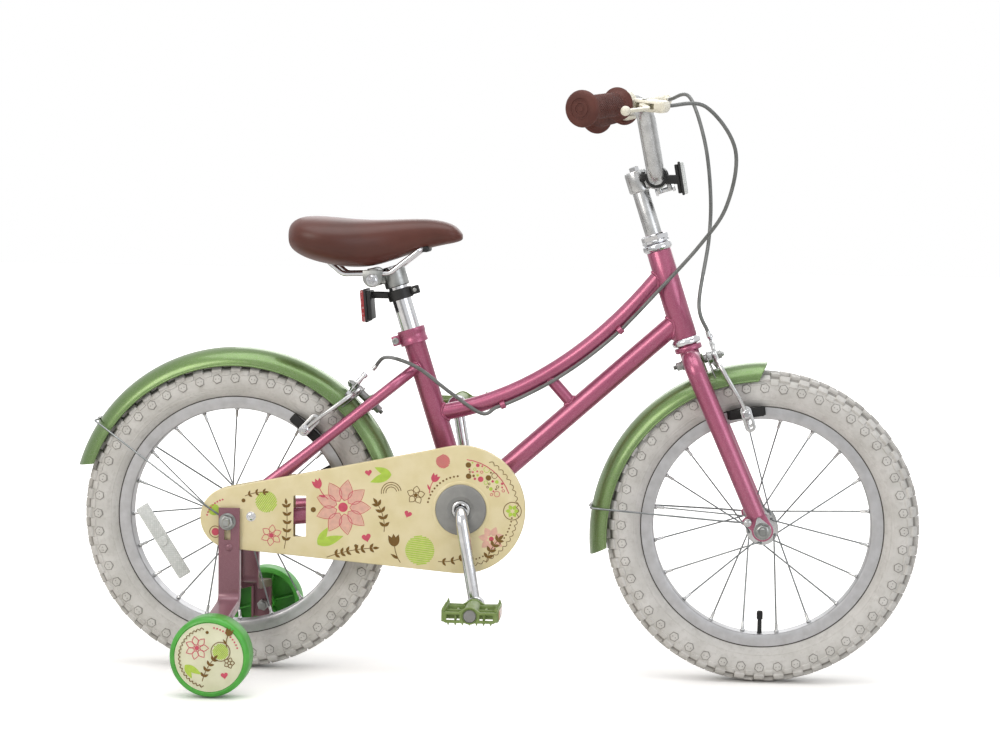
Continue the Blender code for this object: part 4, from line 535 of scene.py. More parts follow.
def lensPlastic(name, colour, deep, cellMm, specular=0.7):
    # A moulded retro-reflector: clear plastic over a fine field of cube corners. Each cell is painted darker
    # towards its edge as facet shade, and some cells are lightened to white as painted glints.
    material, tree, shader, place = newMaterial(name, {
        "Roughness": 0.16, "Coat Weight": 0.7, "Coat Roughness": 0.04, "Specular IOR Level": specular})
    cells = addNode(tree, "ShaderNodeTexVoronoi",
                    {"Scale": perMm(cellMm), "Randomness": 0.0, "Vector": place})
    split = addNode(tree, "ShaderNodeSeparateColor", {"Color": cells.outputs["Color"]})
    # Painted shade: each cell darkens from its centre towards the deep colour.
    shade = ranged(tree, cells.outputs["Distance"], {"To Min": 0.0, "To Max": 1.0})
    mix = mixed(tree, shade, colour, deep)
    # Painted glints: random cells lightened towards white.
    paintedGlints = ranged(tree, split.outputs[0], {"From Min": 0.6, "To Max": 0.25})
    glintedLensColour = mixed(tree, paintedGlints, mix, "#ffffff")
    tree.links.new(glintedLensColour, shader.inputs["Base Color"])
    surfaceGrain(tree, shader, cells.outputs["Distance"], 0.35, 0.7)
    return material


roseLacquer = metallicLacquer("roseMetallicLacquer", "#a24a6c", "#ae5677", 0.60, 0.13)
mauveLacquer = metallicLacquer("mauveSatinLacquer", "#7b4757", "#875362", 0.30, 0.05)
limeLacquer = metallicLacquer("limePearlLacquer", "#5f7f42", "#6c8c4c", 0.62, 0.13)
chromePlate = platedMetal("chromePlatedSteel", "#d2d3d6", "#e2e3e5", 0.10)
silverAlloy = platedMetal("satinSilverAlloy", "#bcbdbd", "#cfd0d0", 0.27, 2.2, 0.006)
rimAlloy = platedMetal("anodisedRimAlloy", "#b9b9ba", "#c6c6c8", 0.36, 3.0, 0.008)
zincSteel = platedMetal("zincPlatedSteel", "#8f918f", "#b1b3b1", 0.34, 1.2, 0.010)
spokeSteel = platedMetal("stainlessSpokeWire", "#74787a", "#8b8f90", 0.30, 1.0, 0.004)
chainSteel = platedMetal("oiledChainSteel", "#6d6a64", "#8b8881", 0.38, 1.0, 0.012)
tyreRubber = paleTyreRubber("paleTyreRubber", "#cac8c3", "#d8d6d2", "#a8a49d")
# A darker copy of the tyre rubber: grey dust and painted shade for the tread recesses, and painted shade for
# the side buttons' rings and dimples.
dustAndShadeRubber = paleTyreRubber("dustAndPaintedShadeTreadRubber", "#8f8c87", "#9d9a95", "#75716b")
# A dark copy of the tyre rubber for the thin ring where tyre meets rim: painted shade of the gap.
rimShadeRubber = paleTyreRubber("paintedRimShadeRubber", "#4b4946", "#5a5854", "#3d3b38")
gripRubber = mouldedPlastic("brownGripRubber", "#532a22", "#61342b", 0.55, 0.7, 0.03, 0.4)
saddleVinyl = softVinyl()
blackRubber = mouldedPlastic("blackBlockRubber", "#191919", "#242424", 0.62, 0.6, 0.03, 0.35)
blackPlastic = mouldedPlastic("blackMouldedPlastic", "#161616", "#202020", 0.42)
ivoryPlastic = mouldedPlastic("ivoryGlossPlastic", "#e6e1cd", "#efebda", 0.26, 1.2, 0.006, 0.5, 0.2)
greyPlastic = mouldedPlastic("greyMouldedPlastic", "#868684", "#949491", 0.40)
olivePlastic = mouldedPlastic("oliveMouldedPlastic", "#748a48", "#82975a", 0.40, 0.9, 0.015)
leafPlastic = mouldedPlastic("leafGreenMouldedPlastic", "#47a238", "#56b446", 0.34, 0.9, 0.012)
cableHousing = mouldedPlastic("greyCableHousing", "#626462", "#737573", 0.36, 0.6, 0.006, 0.5, 0.3)
redLens = lensPlastic("redReflectorLens", "#c01822", "#6a0a10", 2.6)
clearLens = lensPlastic("clearReflectorLens", "#e9ecea", "#b4b9b6", 2.6)
amberLens = lensPlastic("amberReflectorLens", "#f0901c", "#a24e08", 2.2)
print("materials ready")


# Geometry Nodes

def newTree(name, inputs):
    # A tree with named inputs: pairs of a name and a socket type.
    tree = bpy.data.node_groups.new(name, "GeometryNodeTree")
    for label, kind in inputs:
        tree.interface.new_socket(name=label, in_out="INPUT", socket_type=kind)
    tree.interface.new_socket(name="Geometry", in_out="OUTPUT", socket_type="NodeSocketGeometry")
    return tree, addNode(tree, "NodeGroupInput").outputs


def heldShape(tree, helper):
    return addNode(tree, "GeometryNodeObjectInfo",
                   {"transform_space": "ORIGINAL", "Object": helper}).outputs["Geometry"]


def endTree(tree, geometry, material):
    real = addNode(tree, "GeometryNodeRealizeInstances", {"Geometry": geometry})
    painted = addNode(tree, "GeometryNodeSetMaterial", {"Geometry": real.outputs[0], "Material": material})
    addNode(tree, "NodeGroupOutput", {0: painted.outputs[0]})


def copiesRoundTree():
    # Copies of a shape in rows round the Y axis, then turned and moved into place as one.
    tree, given = newTree("copiesRoundAxis", [
        ("Shape", "NodeSocketObject"), ("Around", "NodeSocketInt"), ("Rows", "NodeSocketInt"),
        ("Row Pitch", "NodeSocketFloat"), ("Stagger", "NodeSocketFloat"), ("Start", "NodeSocketFloat"),
        ("Centre", "NodeSocketVector"), ("Turn", "NodeSocketRotation"), ("Material", "NodeSocketMaterial")])
    total = maths(tree, "MULTIPLY", given["Around"], given["Rows"])
    index = addNode(tree, "GeometryNodeInputIndex").outputs[0]
    share = maths(tree, "DIVIDE", index, given["Around"])
    row = maths(tree, "FLOOR", share)
    odd = maths(tree, "MODULO", row, 2.0)
    shift = maths(tree, "MULTIPLY", odd, given["Stagger"])
    place = maths(tree, "ADD", index, shift)
    part = maths(tree, "DIVIDE", place, given["Around"])
    angle = maths(tree, "MULTIPLY_ADD", part, math.tau, given["Start"])
    down = maths(tree, "MULTIPLY", angle, -1.0)
    along = maths(tree, "MULTIPLY", row, given["Row Pitch"])
    position = addNode(tree, "ShaderNodeCombineXYZ", {"Y": along})
    euler = addNode(tree, "ShaderNodeCombineXYZ", {"Y": down})
    rotation = addNode(tree, "FunctionNodeEulerToRotation", {0: euler.outputs[0]})
    points = addNode(tree, "GeometryNodePoints", {"Count": total, "Position": position.outputs[0]})
    shape = heldShape(tree, given["Shape"])
    copies = addNode(tree, "GeometryNodeInstanceOnPoints",
                     {"Points": points.outputs[0], "Instance": shape, "Rotation": rotation.outputs[0]})
    moved = addNode(tree, "GeometryNodeTransform",
                    {"Geometry": copies.outputs[0], "Translation": given["Centre"],
                     "Rotation": given["Turn"]})
    endTree(tree, moved.outputs[0], given["Material"])
    return tree


def linksAlongTree():
    # Two shapes in turn along a closed path in the XZ plane, each headed along it.
    tree, given = newTree("linksAlongPath", [
        ("Path", "NodeSocketObject"), ("First", "NodeSocketObject"), ("Second", "NodeSocketObject"),
        ("Count", "NodeSocketInt"), ("Material", "NodeSocketMaterial")])
    path = heldShape(tree, given["Path"])
    curve = addNode(tree, "GeometryNodeMeshToCurve", {"Mesh": path})
    even = addNode(tree, "GeometryNodeResampleCurve", {"Curve": curve.outputs[0], "Count": given["Count"]})
    tangent = addNode(tree, "GeometryNodeInputTangent").outputs[0]
    heading = addNode(tree, "FunctionNodeAlignRotationToVector",
                      {"axis": "X", "pivot_axis": "Y", "Vector": tangent})
    index = addNode(tree, "GeometryNodeInputIndex").outputs[0]
    odd = maths(tree, "MODULO", index, 2.0)
    other = maths(tree, "SUBTRACT", 1.0, odd)
    both = addNode(tree, "GeometryNodeJoinGeometry")
    for name, chosen in (("First", odd), ("Second", other)):
        shape = heldShape(tree, given[name])
        copies = addNode(tree, "GeometryNodeInstanceOnPoints",
                         {"Points": even.outputs[0], "Selection": chosen, "Instance": shape,
                          "Rotation": heading.outputs[0]})
        tree.links.new(copies.outputs[0], both.inputs[0])
    endTree(tree, both.outputs[0], given["Material"])
    return tree


def weldBeadTree():
    # A rippled bead along a closed path, as a welder lays it.
    tree, given = newTree("weldBead", [
        ("Path", "NodeSocketObject"), ("Radius", "NodeSocketFloat"), ("Ripple Pitch", "NodeSocketFloat"),
        ("Material", "NodeSocketMaterial")])
    path = heldShape(tree, given["Path"])
    curve = addNode(tree, "GeometryNodeMeshToCurve", {"Mesh": path})
    step = maths(tree, "DIVIDE", given["Ripple Pitch"], 4.0)
    even = addNode(tree, "GeometryNodeResampleCurve",
                   {"mode": "LENGTH", "Curve": curve.outputs[0], "Length": step})
    index = addNode(tree, "GeometryNodeInputIndex").outputs[0]
    wave = maths(tree, "MULTIPLY", index, math.pi / 2)
    sine = maths(tree, "SINE", wave)
    swell = maths(tree, "MULTIPLY_ADD", sine, 0.14, 1.0)
    width = maths(tree, "MULTIPLY", swell, given["Radius"])
    thick = addNode(tree, "GeometryNodeSetCurveRadius", {"Curve": even.outputs[0], "Radius": width})
    section = addNode(tree, "GeometryNodeCurvePrimitiveCircle", {"Resolution": 8, "Radius": 1.0})
    bead = addNode(tree, "GeometryNodeCurveToMesh",
                   {"Curve": thick.outputs[0], "Profile Curve": section.outputs[0]})
    if "Scale" in bead.inputs:
        radius = addNode(tree, "GeometryNodeInputRadius").outputs[0]
        tree.links.new(radius, bead.inputs["Scale"])
    smooth = addNode(tree, "GeometryNodeSetShadeSmooth", {"Geometry": bead.outputs[0]})
    endTree(tree, smooth.outputs[0], given["Material"])
    return tree


def helperObject(name, shape):
    # A shape that a tree copies. It is deleted after use and never shows.
    mesh = bpy.data.meshes.new(name)
    shape.to_mesh(mesh)
    shape.free()
    if mesh.polygons:
        mesh.shade_smooth()
        mesh.set_sharp_from_angle(angle=math.radians(35))
    helper = bpy.data.objects.new(name, mesh)
    bpy.context.scene.collection.objects.link(helper)
    return helper


def pathObject(name, points, closed=True):
    mesh = bpy.data.meshes.new(name)
    edges = [(i, i + 1) for i in range(len(points) - 1)]
    if closed:
        edges.append((len(points) - 1, 0))
    mesh.from_pydata([tuple(p) for p in points], edges, [])
    helper = bpy.data.objects.new(name, mesh)
    bpy.context.scene.collection.objects.link(helper)
    return helper


def grownMesh(name, tree, values):
    # Runs a tree once and returns what it makes as a plain mesh.
    holder = bpy.data.objects.new(name, bpy.data.meshes.new(name))
    bpy.context.scene.collection.objects.link(holder)
    change = holder.modifiers.new("grow", "NODES")
    change.node_group = tree
    for item in tree.interface.items_tree:
        if item.in_out == "INPUT" and item.name in values:
            change[item.identifier] = values[item.name]
    view = bpy.context.evaluated_depsgraph_get()
    mesh = bpy.data.meshes.new_from_object(holder.evaluated_get(view), depsgraph=view)
    holder.modifiers.remove(change)
    bpy.data.objects.remove(holder)
    return mesh


def grownPiece(name, tree, sets, material, body, stands=(), base=None, sharp=35):
    # One piece from several runs of a tree, joined to a base shape. The runs' helpers are removed.
    shape = base or bmesh.new()
    for values in sets:
        mesh = grownMesh(name, tree, {**values, "Material": material})
        shape.from_mesh(mesh)
        bpy.data.meshes.remove(mesh)
    for helper in {v for values in sets for v in values.values() if isinstance(v, bpy.types.Object)}:
        bpy.data.objects.remove(helper)
    bmesh.ops.recalc_face_normals(shape, faces=shape.faces)
    return makePiece(name, shape, material, body, stands, sharp)


def turnOnto(axis):
    # The turn that brings the Y axis onto a direction.
    return acrossY.rotation_difference(axis.normalized()).to_euler()


copiesRound = copiesRoundTree()
linksAlong = linksAlongTree()
weldBead = weldBeadTree()
print("trees ready")


# Wheels

tyreLook = {"knobsRound": 48, "knobHeight": 4.4 * mm, "surfaceSteps": 192}
spokeLook = {"radius": 1.0 * mm, "holeRadius": 18 * mm, "lead": math.radians(50), "rimRadius": 141.7 * mm}
flangeAcross = 30 * mm
valveAngle = {"front": math.radians(-90), "rear": math.radians(28)}
firstLead = {"front": 1, "rear": -1}


def inMm(pairs):
    return [(a * mm, b * mm) for a, b in pairs]


def smoothProfile(pairs, perSpan=4):
    return [(p.x, p.y) for p in curveThrough([(a, b, 0) for a, b in inMm(pairs)], perSpan)]


def bothHalves(half):
    return half + [(r, -y) for r, y in half[::-1]]


def wheelPoint(centre, radius, angle, across):
    return centre + Vector((radius * math.cos(angle), across, radius * math.sin(angle)))


def knobShape(radius, across, tilt, width, length, skew=0.0):
    # A tapered tread block whose root is sunk into the carcass, and its mirror image.
    deep = tyreLook["knobHeight"] + 2 * mm
    knob = blockShape((0, 0, 0), (deep, width * mm, length * mm), edge=0.7 * mm)
    for v in knob.verts:
        if v.co.x > 0:
            v.co.y *= 0.84
            v.co.z *= 0.88
        v.co.z += skew * v.co.y
    turn = Matrix.Rotation(math.radians(tilt), 3, "Z")
    place = Vector((radius * mm, across * mm, 0)) + turn @ Vector((tyreLook["knobHeight"] - deep / 2, 0, 0))
    bmesh.ops.rotate(knob, cent=(0, 0, 0), matrix=turn, verts=knob.verts)
    bmesh.ops.translate(knob, vec=place, verts=knob.verts)
    return joinedShape(mirroredShape(copiedShape(knob)), knob)


def sideButton(radius, across, tilt):
    # A flat six-sided button on the shoulder, and the ring and two dimples that mark it, which are made in
    # darker rubber as painted shade round the button and in the dimples.
    way = Matrix.Rotation(math.radians(tilt), 3, "Z") @ acrossX
    foot = Vector((radius * mm, across * mm, 0))
    button = hexShape(foot - way * 2 * mm, foot + way * 1.1 * mm, 5.6 * mm, 0.4 * mm)
    marks = [ringShape(foot - way * 1 * mm, foot + way * 0.45 * mm, 6.7 * mm, 5.7 * mm, 6)]
    for side in (-1, 1):
        dot = foot + upZ * side * 2.1 * mm
        marks.append(rodShape(dot, dot + way * 1.3 * mm, 0.75 * mm, 10))
    return [joinedShape(mirroredShape(copiedShape(shape)), shape) for shape in (button, joinedShape(*marks))]


def makeTyre(end, centre, valve):
    body, steps = end + "_wheel", tyreLook["surfaceSteps"]
    side = smoothProfile([(158.2, 11.0), (158.8, 12.9), (161.5, 16.2), (166, 20.4), (174, 24.6), (184, 26.0),
                          (191, 24.0), (195.4, 20.0)])
    bed = smoothProfile([(195.4, 20.0), (198.4, 15.5), (199.8, 8), (200.2, 0)])
    carcass = turnedShape(side, centre, acrossY, steps)
    carcass = joinedShape(mirroredShape(copiedShape(carcass)), carcass)
    for radius, across in ((163.2, 17.9), (168.0, 21.9), (171.5, 23.5)):
        for way in (-1, 1):
            line = inMm([(radius - 0.7, way * (across - 0.8)), (radius, way * (across + 0.25)),
                         (radius + 0.7, way * (across - 0.2))])
            carcass = joinedShape(carcass, turnedShape(line, centre, acrossY, steps))
    step = math.tau / tyreLook["knobsRound"]
    button, marks = sideButton(183.5, 25.9, 86)
    runs = []
    for number, (start, shape) in enumerate((
            (0.0, knobShape(200.1, 4.9, 3, 7.6, 14, 0.35)),
            (0.5, knobShape(198.9, 12.6, 17, 7.4, 13, -0.3)),
            (0.0, knobShape(194.6, 19.9, 46, 9.6, 14.5, 0.0)),
            (0.5, knobShape(189.4, 21.8, 66, 8.0, 12.0, 0.0)),
            (0.0, button), (0.0, marks))):
        runs.append({"Shape": helperObject(end + "Knob" + str(number), shape), "Start": start * step,
                     "Around": tyreLook["knobsRound"], "Rows": 1, "Centre": centre})
    grownPiece(end + "Tyre", copiesRound, runs[:5], tyreRubber, body, end + "_tyre", carcass)
    # The tread bed between the knobs, in darker rubber: grey dust and painted shade in the recesses.
    makePiece(end + "TyreTreadBed", turnedShape(bothHalves(bed[:-1]), centre, acrossY, steps), dustAndShadeRubber,
              body)
    # A thin dark ring where the tyre meets the rim: painted shade.
    edge = turnedShape(inMm([(158.9, 12.4), (158.9, 13.7), (157.7, 13.9), (157.7, 12.4)]),
                       centre, acrossY, steps)
    makePiece(end + "TyreSeam", joinedShape(mirroredShape(copiedShape(edge)), edge), rimShadeRubber, body)
    # The buttons' rings and dimples in the same darker rubber: painted shade.
    grownPiece(end + "TyreMarks", copiesRound, runs[5:], dustAndShadeRubber, body)
    foot, tip = wheelPoint(centre, 0.1435, valve, 0), wheelPoint(centre, 0.1124, valve, 0)
    away = tip - foot
    stem = turnedShape(inMm([(0, -3), (3.4, -3), (3.4, 1.5), (2.9, 3), (2.8, 17), (2.6, 18), (2.6, 19.2),
                             (3.9, 20.0), (4.0, 28.6), (3.2, 30.6), (0, 31)]), foot, away, 28)
    makePiece(end + "ValveStem", stem, blackRubber, end + "_wheel")


def makeRim(end, centre):
    half = inMm([(150.6, 0.5), (150.4, 8.4), (157.4, 10.9), (158.0, 11.1), (158.3, 11.6), (158.3, 13.0),
                 (157.9, 13.4), (150.5, 13.8), (144.6, 13.5), (142.9, 12.9), (142.0, 11.4), (141.9, 5.0),
                 (141.9, 0.5)])
    section = half + [(r, -y) for r, y in half[::-1]]
    rim = turnedShape(section, centre, acrossY, 192)
    return makePiece(end + "Rim", rim, rimAlloy, end + "_wheel", end + "_rim", 30)


def spokeLine(centre, end, i):
    # The two ends of a spoke: even spokes are on the chain side and every second pair leads.
    side = 1 if i % 2 else -1
    lead = -firstLead[end] if i // 2 % 2 else firstLead[end]
    angle = valveAngle[end] + math.tau * (i + 0.5) / 20
    root = wheelPoint(centre, spokeLook["holeRadius"], angle + lead * spokeLook["lead"],
                      side * (flangeAcross + lead * 1.5 * mm))
    return root, wheelPoint(centre, spokeLook["rimRadius"], angle, side * 2 * mm), side, lead


def makeSpokes(end, centre):
    # Four neighbouring spokes repeat five times round the wheel.
    wires, nipples = [], []
    for i in range(4):
        root, tip, side, lead = spokeLine(Vector((0, 0, 0)), end, i)
        way = (tip - root).normalized()
        inner = Vector((root.x, side * (flangeAcross - lead * 1.6 * mm), root.z))
        wires.append(tubeShape(roundedPath([inner, root, tip - way * 4 * mm], 1.2 * mm, math.radians(18)),
                               spokeLook["radius"], 12))
        away = acrossY * (inner.y - root.y)
        wires.append(turnedShape(inMm([(0, -0.6), (1.3, -0.5), (1.9, 0), (1.5, 0.7), (0, 1.0)]), inner,
                                 away, 16))
        nipples.append(turnedShape(inMm([(1.0, 0), (1.7, 0.3), (1.9, 1.0), (1.9, 9.0), (2.3, 9.6),
                                         (2.9, 10.2), (2.9, 12.2), (0.9, 12.4)]),
                                   tip - way * 12.2 * mm, way, 16))
    for shapes, name, material in ((wires, "Spokes", spokeSteel), (nipples, "SpokeNipples", silverAlloy)):
        helper = helperObject(end + name, joinedShape(*shapes))
        run = {"Shape": helper, "Around": 5, "Rows": 1, "Centre": centre}
        grownPiece(end + name, copiesRound, [run], material, end + "_wheel")


def makeHub(end, centre, low, high):
    flange, edge = flangeAcross / mm, 0.9
    left = [(5.3, -low), (9.2, -low), (9.6, -low + 0.4), (11.8, -low + 3), (12.0, -flange - 3),
            (13.2, -flange - 1.4), (16.4, -flange - edge), (20.6, -flange - edge), (21.0, -flange - 0.4),
            (21.0, -flange + 0.4), (20.6, -flange + edge), (16.4, -flange + edge),
            (12.6, -flange + 2.2), (10.8, -flange + 6), (10.2, -16), (10.2, 0)]
    right = [(r, -y) for r, y in left[::-1]][1:-4] + [(12.0, flange + 3), (11.8, high - 3), (9.6, high - 0.4),
                                                      (9.2, high), (5.3, high)]
    shell = turnedShape(inMm(left + right), centre, acrossY, 80)
    makePiece(end + "HubShell", shell, silverAlloy, end + "_wheel", end + "_hub", 30)


def threadedRod(start, end, radius, pitch=1.0 * mm, steps=32):
    # A screw thread drawn as close ridges.
    length = (end - start).length
    profile = [(0, 0), (radius - 0.7 * mm, 0)]
    count = int((length - 0.6 * mm) / pitch)
    for i in range(count):
        profile += [(radius - 0.45 * mm, i * pitch + 0.6 * mm), (radius, (i + 0.5) * pitch + 0.6 * mm)]
    profile += [(radius - 0.7 * mm, length), (0, length)]
    return turnedShape(profile, start, end - start, steps)


def axleNut(start, way, thick=8.5 * mm):
    # A flanged nut with a domed chamfer, on its washer.
    washer = ringShape(start, start + way * 1.5 * mm, 11.2 * mm, 5.2 * mm, 40, 0.3 * mm)
    flange = ringShape(start + way * 1.5 * mm, start + way * 2.8 * mm, 10 * mm, 5.2 * mm, 40, 0.5 * mm)
    body = hexShape(start + way * 2.7 * mm, start + way * (1.5 * mm + thick), 8.9 * mm, 0.8 * mm)
    return joinedShape(washer, flange, body)


def makeFrontAxle():
    shapes = []
    for side in (-1, 1):
        way = acrossY * side
        outer = frontAxle + way * 50.3 * mm
        shapes += [threadedRod(frontAxle + way * 38 * mm, frontAxle + way * 66 * mm, 5 * mm),
                   hexShape(frontAxle + way * 39.7 * mm, frontAxle + way * 45.7 * mm, 9.2 * mm),
                   axleNut(outer, way)]
    makePiece("frontAxleAndNuts", joinedShape(*shapes), zincSteel, "steering", "front_axle")
    # The pear-shaped safety washers whose points reach up to the fork, and the bolts of the mudguard's wire.
    drop = arcPoints((frontAxle.x, frontAxle.z), 11.6 * mm, math.radians(152), math.radians(398), 28)
    tip = frontAxle + steerUp * 19 * mm
    washer = plateShape([*drop, (tip.x + 1.6 * mm, tip.z), (tip.x - 1.6 * mm, tip.z)], 50.2 * mm,
                        51.6 * mm, 0.5 * mm)
    foot = frontAxle + Vector((-19.7 * mm, 50 * mm, 11.5 * mm))
    bolt = [hexShape(foot + acrossY * 11.2 * mm, foot + acrossY * 14.6 * mm, 4.4 * mm, 0.5 * mm),
            ringShape(foot + acrossY * 10.4 * mm, foot + acrossY * 11.4 * mm, 5.2 * mm,
                      1.4 * mm, 32, 0.3 * mm),
            rodShape(foot - acrossY * 5 * mm, foot + acrossY * 16.5 * mm, 2.4 * mm, 20),
            hexShape(foot - acrossY * 0.4 * mm, foot - acrossY * 4 * mm, 4.4 * mm, 0.5 * mm)]
    half = joinedShape(washer, *bolt)
    makePiece("frontWashersAndBolts", joinedShape(mirroredShape(copiedShape(half)), half),
              silverAlloy, "steering")


def makeRearAxle():
    shapes = []
    for side in (-1, 1):
        way = acrossY * side
        inner = 39 if side < 0 else 41.2
        shapes += [threadedRod(rearAxle + way * inner * mm, rearAxle + way * 92.5 * mm, 5 * mm),
                   hexShape(rearAxle + way * 50.2 * mm, rearAxle + way * 54.7 * mm, 9 * mm),
                   ringShape(rearAxle + way * 59.3 * mm, rearAxle + way * 69.7 * mm, 9.5 * mm, 5.1 * mm),
                   axleNut(rearAxle + way * 78.3 * mm, way)]
    makePiece("rearAxleAndNuts", joinedShape(*shapes), zincSteel, "frame", "rear_axle")


def makeSpokeReflector():
    # A clear bar with a raised rim, moulded prism panels and two clips on the spokes.
    ends = [wheelPoint(rearAxle, 124.7 * mm, math.radians(177), 0),
            wheelPoint(rearAxle, 105.2 * mm, math.radians(228.3), 0)]
    along = (ends[1] - ends[0]).normalized()
    turn = Matrix((along, acrossY, along.cross(acrossY))).transposed()
    middle = ends[0].lerp(ends[1], 0.5) - acrossY * 19 * mm
    length = (ends[1] - ends[0]).length
    bar = [blockShape(middle, (length + 8 * mm, 4.5 * mm, 18 * mm), turn, 1.6 * mm, 4),
           turnedShape(inMm([(0, 0), (6.8, 0), (6.8, 3.6), (6.0, 4.4), (2.2, 4.7), (2.0, 3.9), (0, 3.9)]),
                       middle, -acrossY, 32)]
    for share in (-0.27, 0.27):
        place = middle + along * length * share - acrossY * 2.2 * mm
        bar.append(blockShape(place, (length * 0.40, 0.9 * mm, 13 * mm), turn, 0.3 * mm))
    makePiece("spokeReflector", joinedShape(*bar), clearLens, "rear_wheel",
              "rear_wheel_reflector")
    clips = []
    for i in (8, 10):
        root, tip, side, lead = spokeLine(rearAxle, "rear", i)
        way = tip - root
        apart = ends[0] - root
        other = ends[1] - ends[0]
        share = (apart.x * other.z - apart.z * other.x) / (way.x * other.z - way.z * other.x)
        place = root.lerp(tip, share)
        clips.append(rodShape(Vector((place.x, middle.y, place.z)), place - acrossY * 1 * mm, 4.6 * mm, 28))
        clips.append(blockShape(place, (3.6 * mm, 3.6 * mm, 9 * mm),
                                Matrix((acrossX, acrossY, upZ)).transposed(), 0.8 * mm))
    makePiece("spokeReflectorClips", joinedShape(*clips), clearLens, "rear_wheel")


for wheelEnd, wheelCentre, hubEnds in (("front", frontAxle, (39.4, 39.4)), ("rear", rearAxle, (36.7, 40.0))):
    makeTyre(wheelEnd, wheelCentre, valveAngle[wheelEnd])
    makeRim(wheelEnd, wheelCentre)
    makeSpokes(wheelEnd, wheelCentre)
    makeHub(wheelEnd, wheelCentre, *hubEnds)
makeFrontAxle()
makeRearAxle()
makeSpokeReflector()
print("wheels ready")


# Frame, fork and head. Tubes run into each other and a weld bead covers most joints.

tubeSides = 44
stayRadius = 7.0 * mm
stayFoot = (5.5 * mm, 8.5 * mm)
legAcross = 46 * mm
crownUp = 238 * mm
rearBrakeUp = Vector((math.cos(math.radians(47)), 0, math.sin(math.radians(47))))
rearBrakeWay = Vector((-rearBrakeUp.z, 0, rearBrakeUp.x))


def onHead(up, fore=0.0, across=0.0):
    # As onSteerer, but the second number is measured from the steering axis itself.
    return onSteerer(up, fore, across)


def onSeat(up, fore=0.0, across=0.0):
    return onSeatTube(up, fore, across)


def topTubeBend():
    start, end = onSeat(0.125), onHead(0.358)
    first = start + Vector((math.cos(math.radians(9)), 0, math.sin(math.radians(9)))) * 0.120
    second = end - Vector((math.cos(math.radians(52)), 0, math.sin(math.radians(52)))) * 0.130
    return [start * (1 - t) ** 3 + first * 3 * t * (1 - t) ** 2 + second * 3 * t * t * (1 - t) + end * t ** 3
            for t in (i / 48 for i in range(49))]


def seatStayBend():
    high = onSeat(193.5 * mm, 0, 4 * mm)
    bend = high + Vector((-30 * mm, 37 * mm, -24.5 * mm))
    return roundedPath([high, bend, rearAxle + Vector((18 * mm, 59 * mm, 22.5 * mm))], 25 * mm)


def seatStay(path):
    # A round tube whose lower part is pressed flatter and taller towards the dropout.
    foot = [path[-2].lerp(path[-1], 0.42 + 0.058 * i) for i in range(11)]
    plain = [(1, 1)] * (len(path) - 1)
    wide, tall = stayFoot[0] / stayRadius, stayFoot[1] / stayRadius
    eased = [0.5 - 0.5 * math.cos(math.pi * min(1, i / 9)) for i in range(11)]
    pressed = [(1 + (wide - 1) * share, 1 + (tall - 1) * share) for share in eased]
    return sweptShape(path[:-1] + foot, ovalSection(stayRadius, stayRadius, 36), up=upZ, size=plain + pressed)


def chainStayLine():
    return [crankCentre + Vector((-18 * mm, 30.5 * mm, -1 * mm)),
            rearAxle + Vector((46 * mm, 54.5 * mm, 3 * mm))]


def acrossAt(point):
    return Vector((point.x, -point.y, point.z))


def meetingLoop(tube, centre, way, radius, away, count=72):
    # The closed line where a round branch meets another tube, found by casting rays along it.
    tree = BVHTree.FromBMesh(tube)
    way = way.normalized()
    side = way.orthogonal().normalized()
    up = way.cross(side)
    loop = []
    for i in range(count):
        a = math.tau * i / count
        rim = (side * math.cos(a) + up * math.sin(a)) * radius
        hit = tree.ray_cast(centre + way * away + rim, -way)[0]
        if hit is not None:
            loop.append(hit)
    return loop


def beadRun(name, loop, radius):
    return {"Path": pathObject(name, loop), "Radius": radius, "Ripple Pitch": 1.5 * mm}


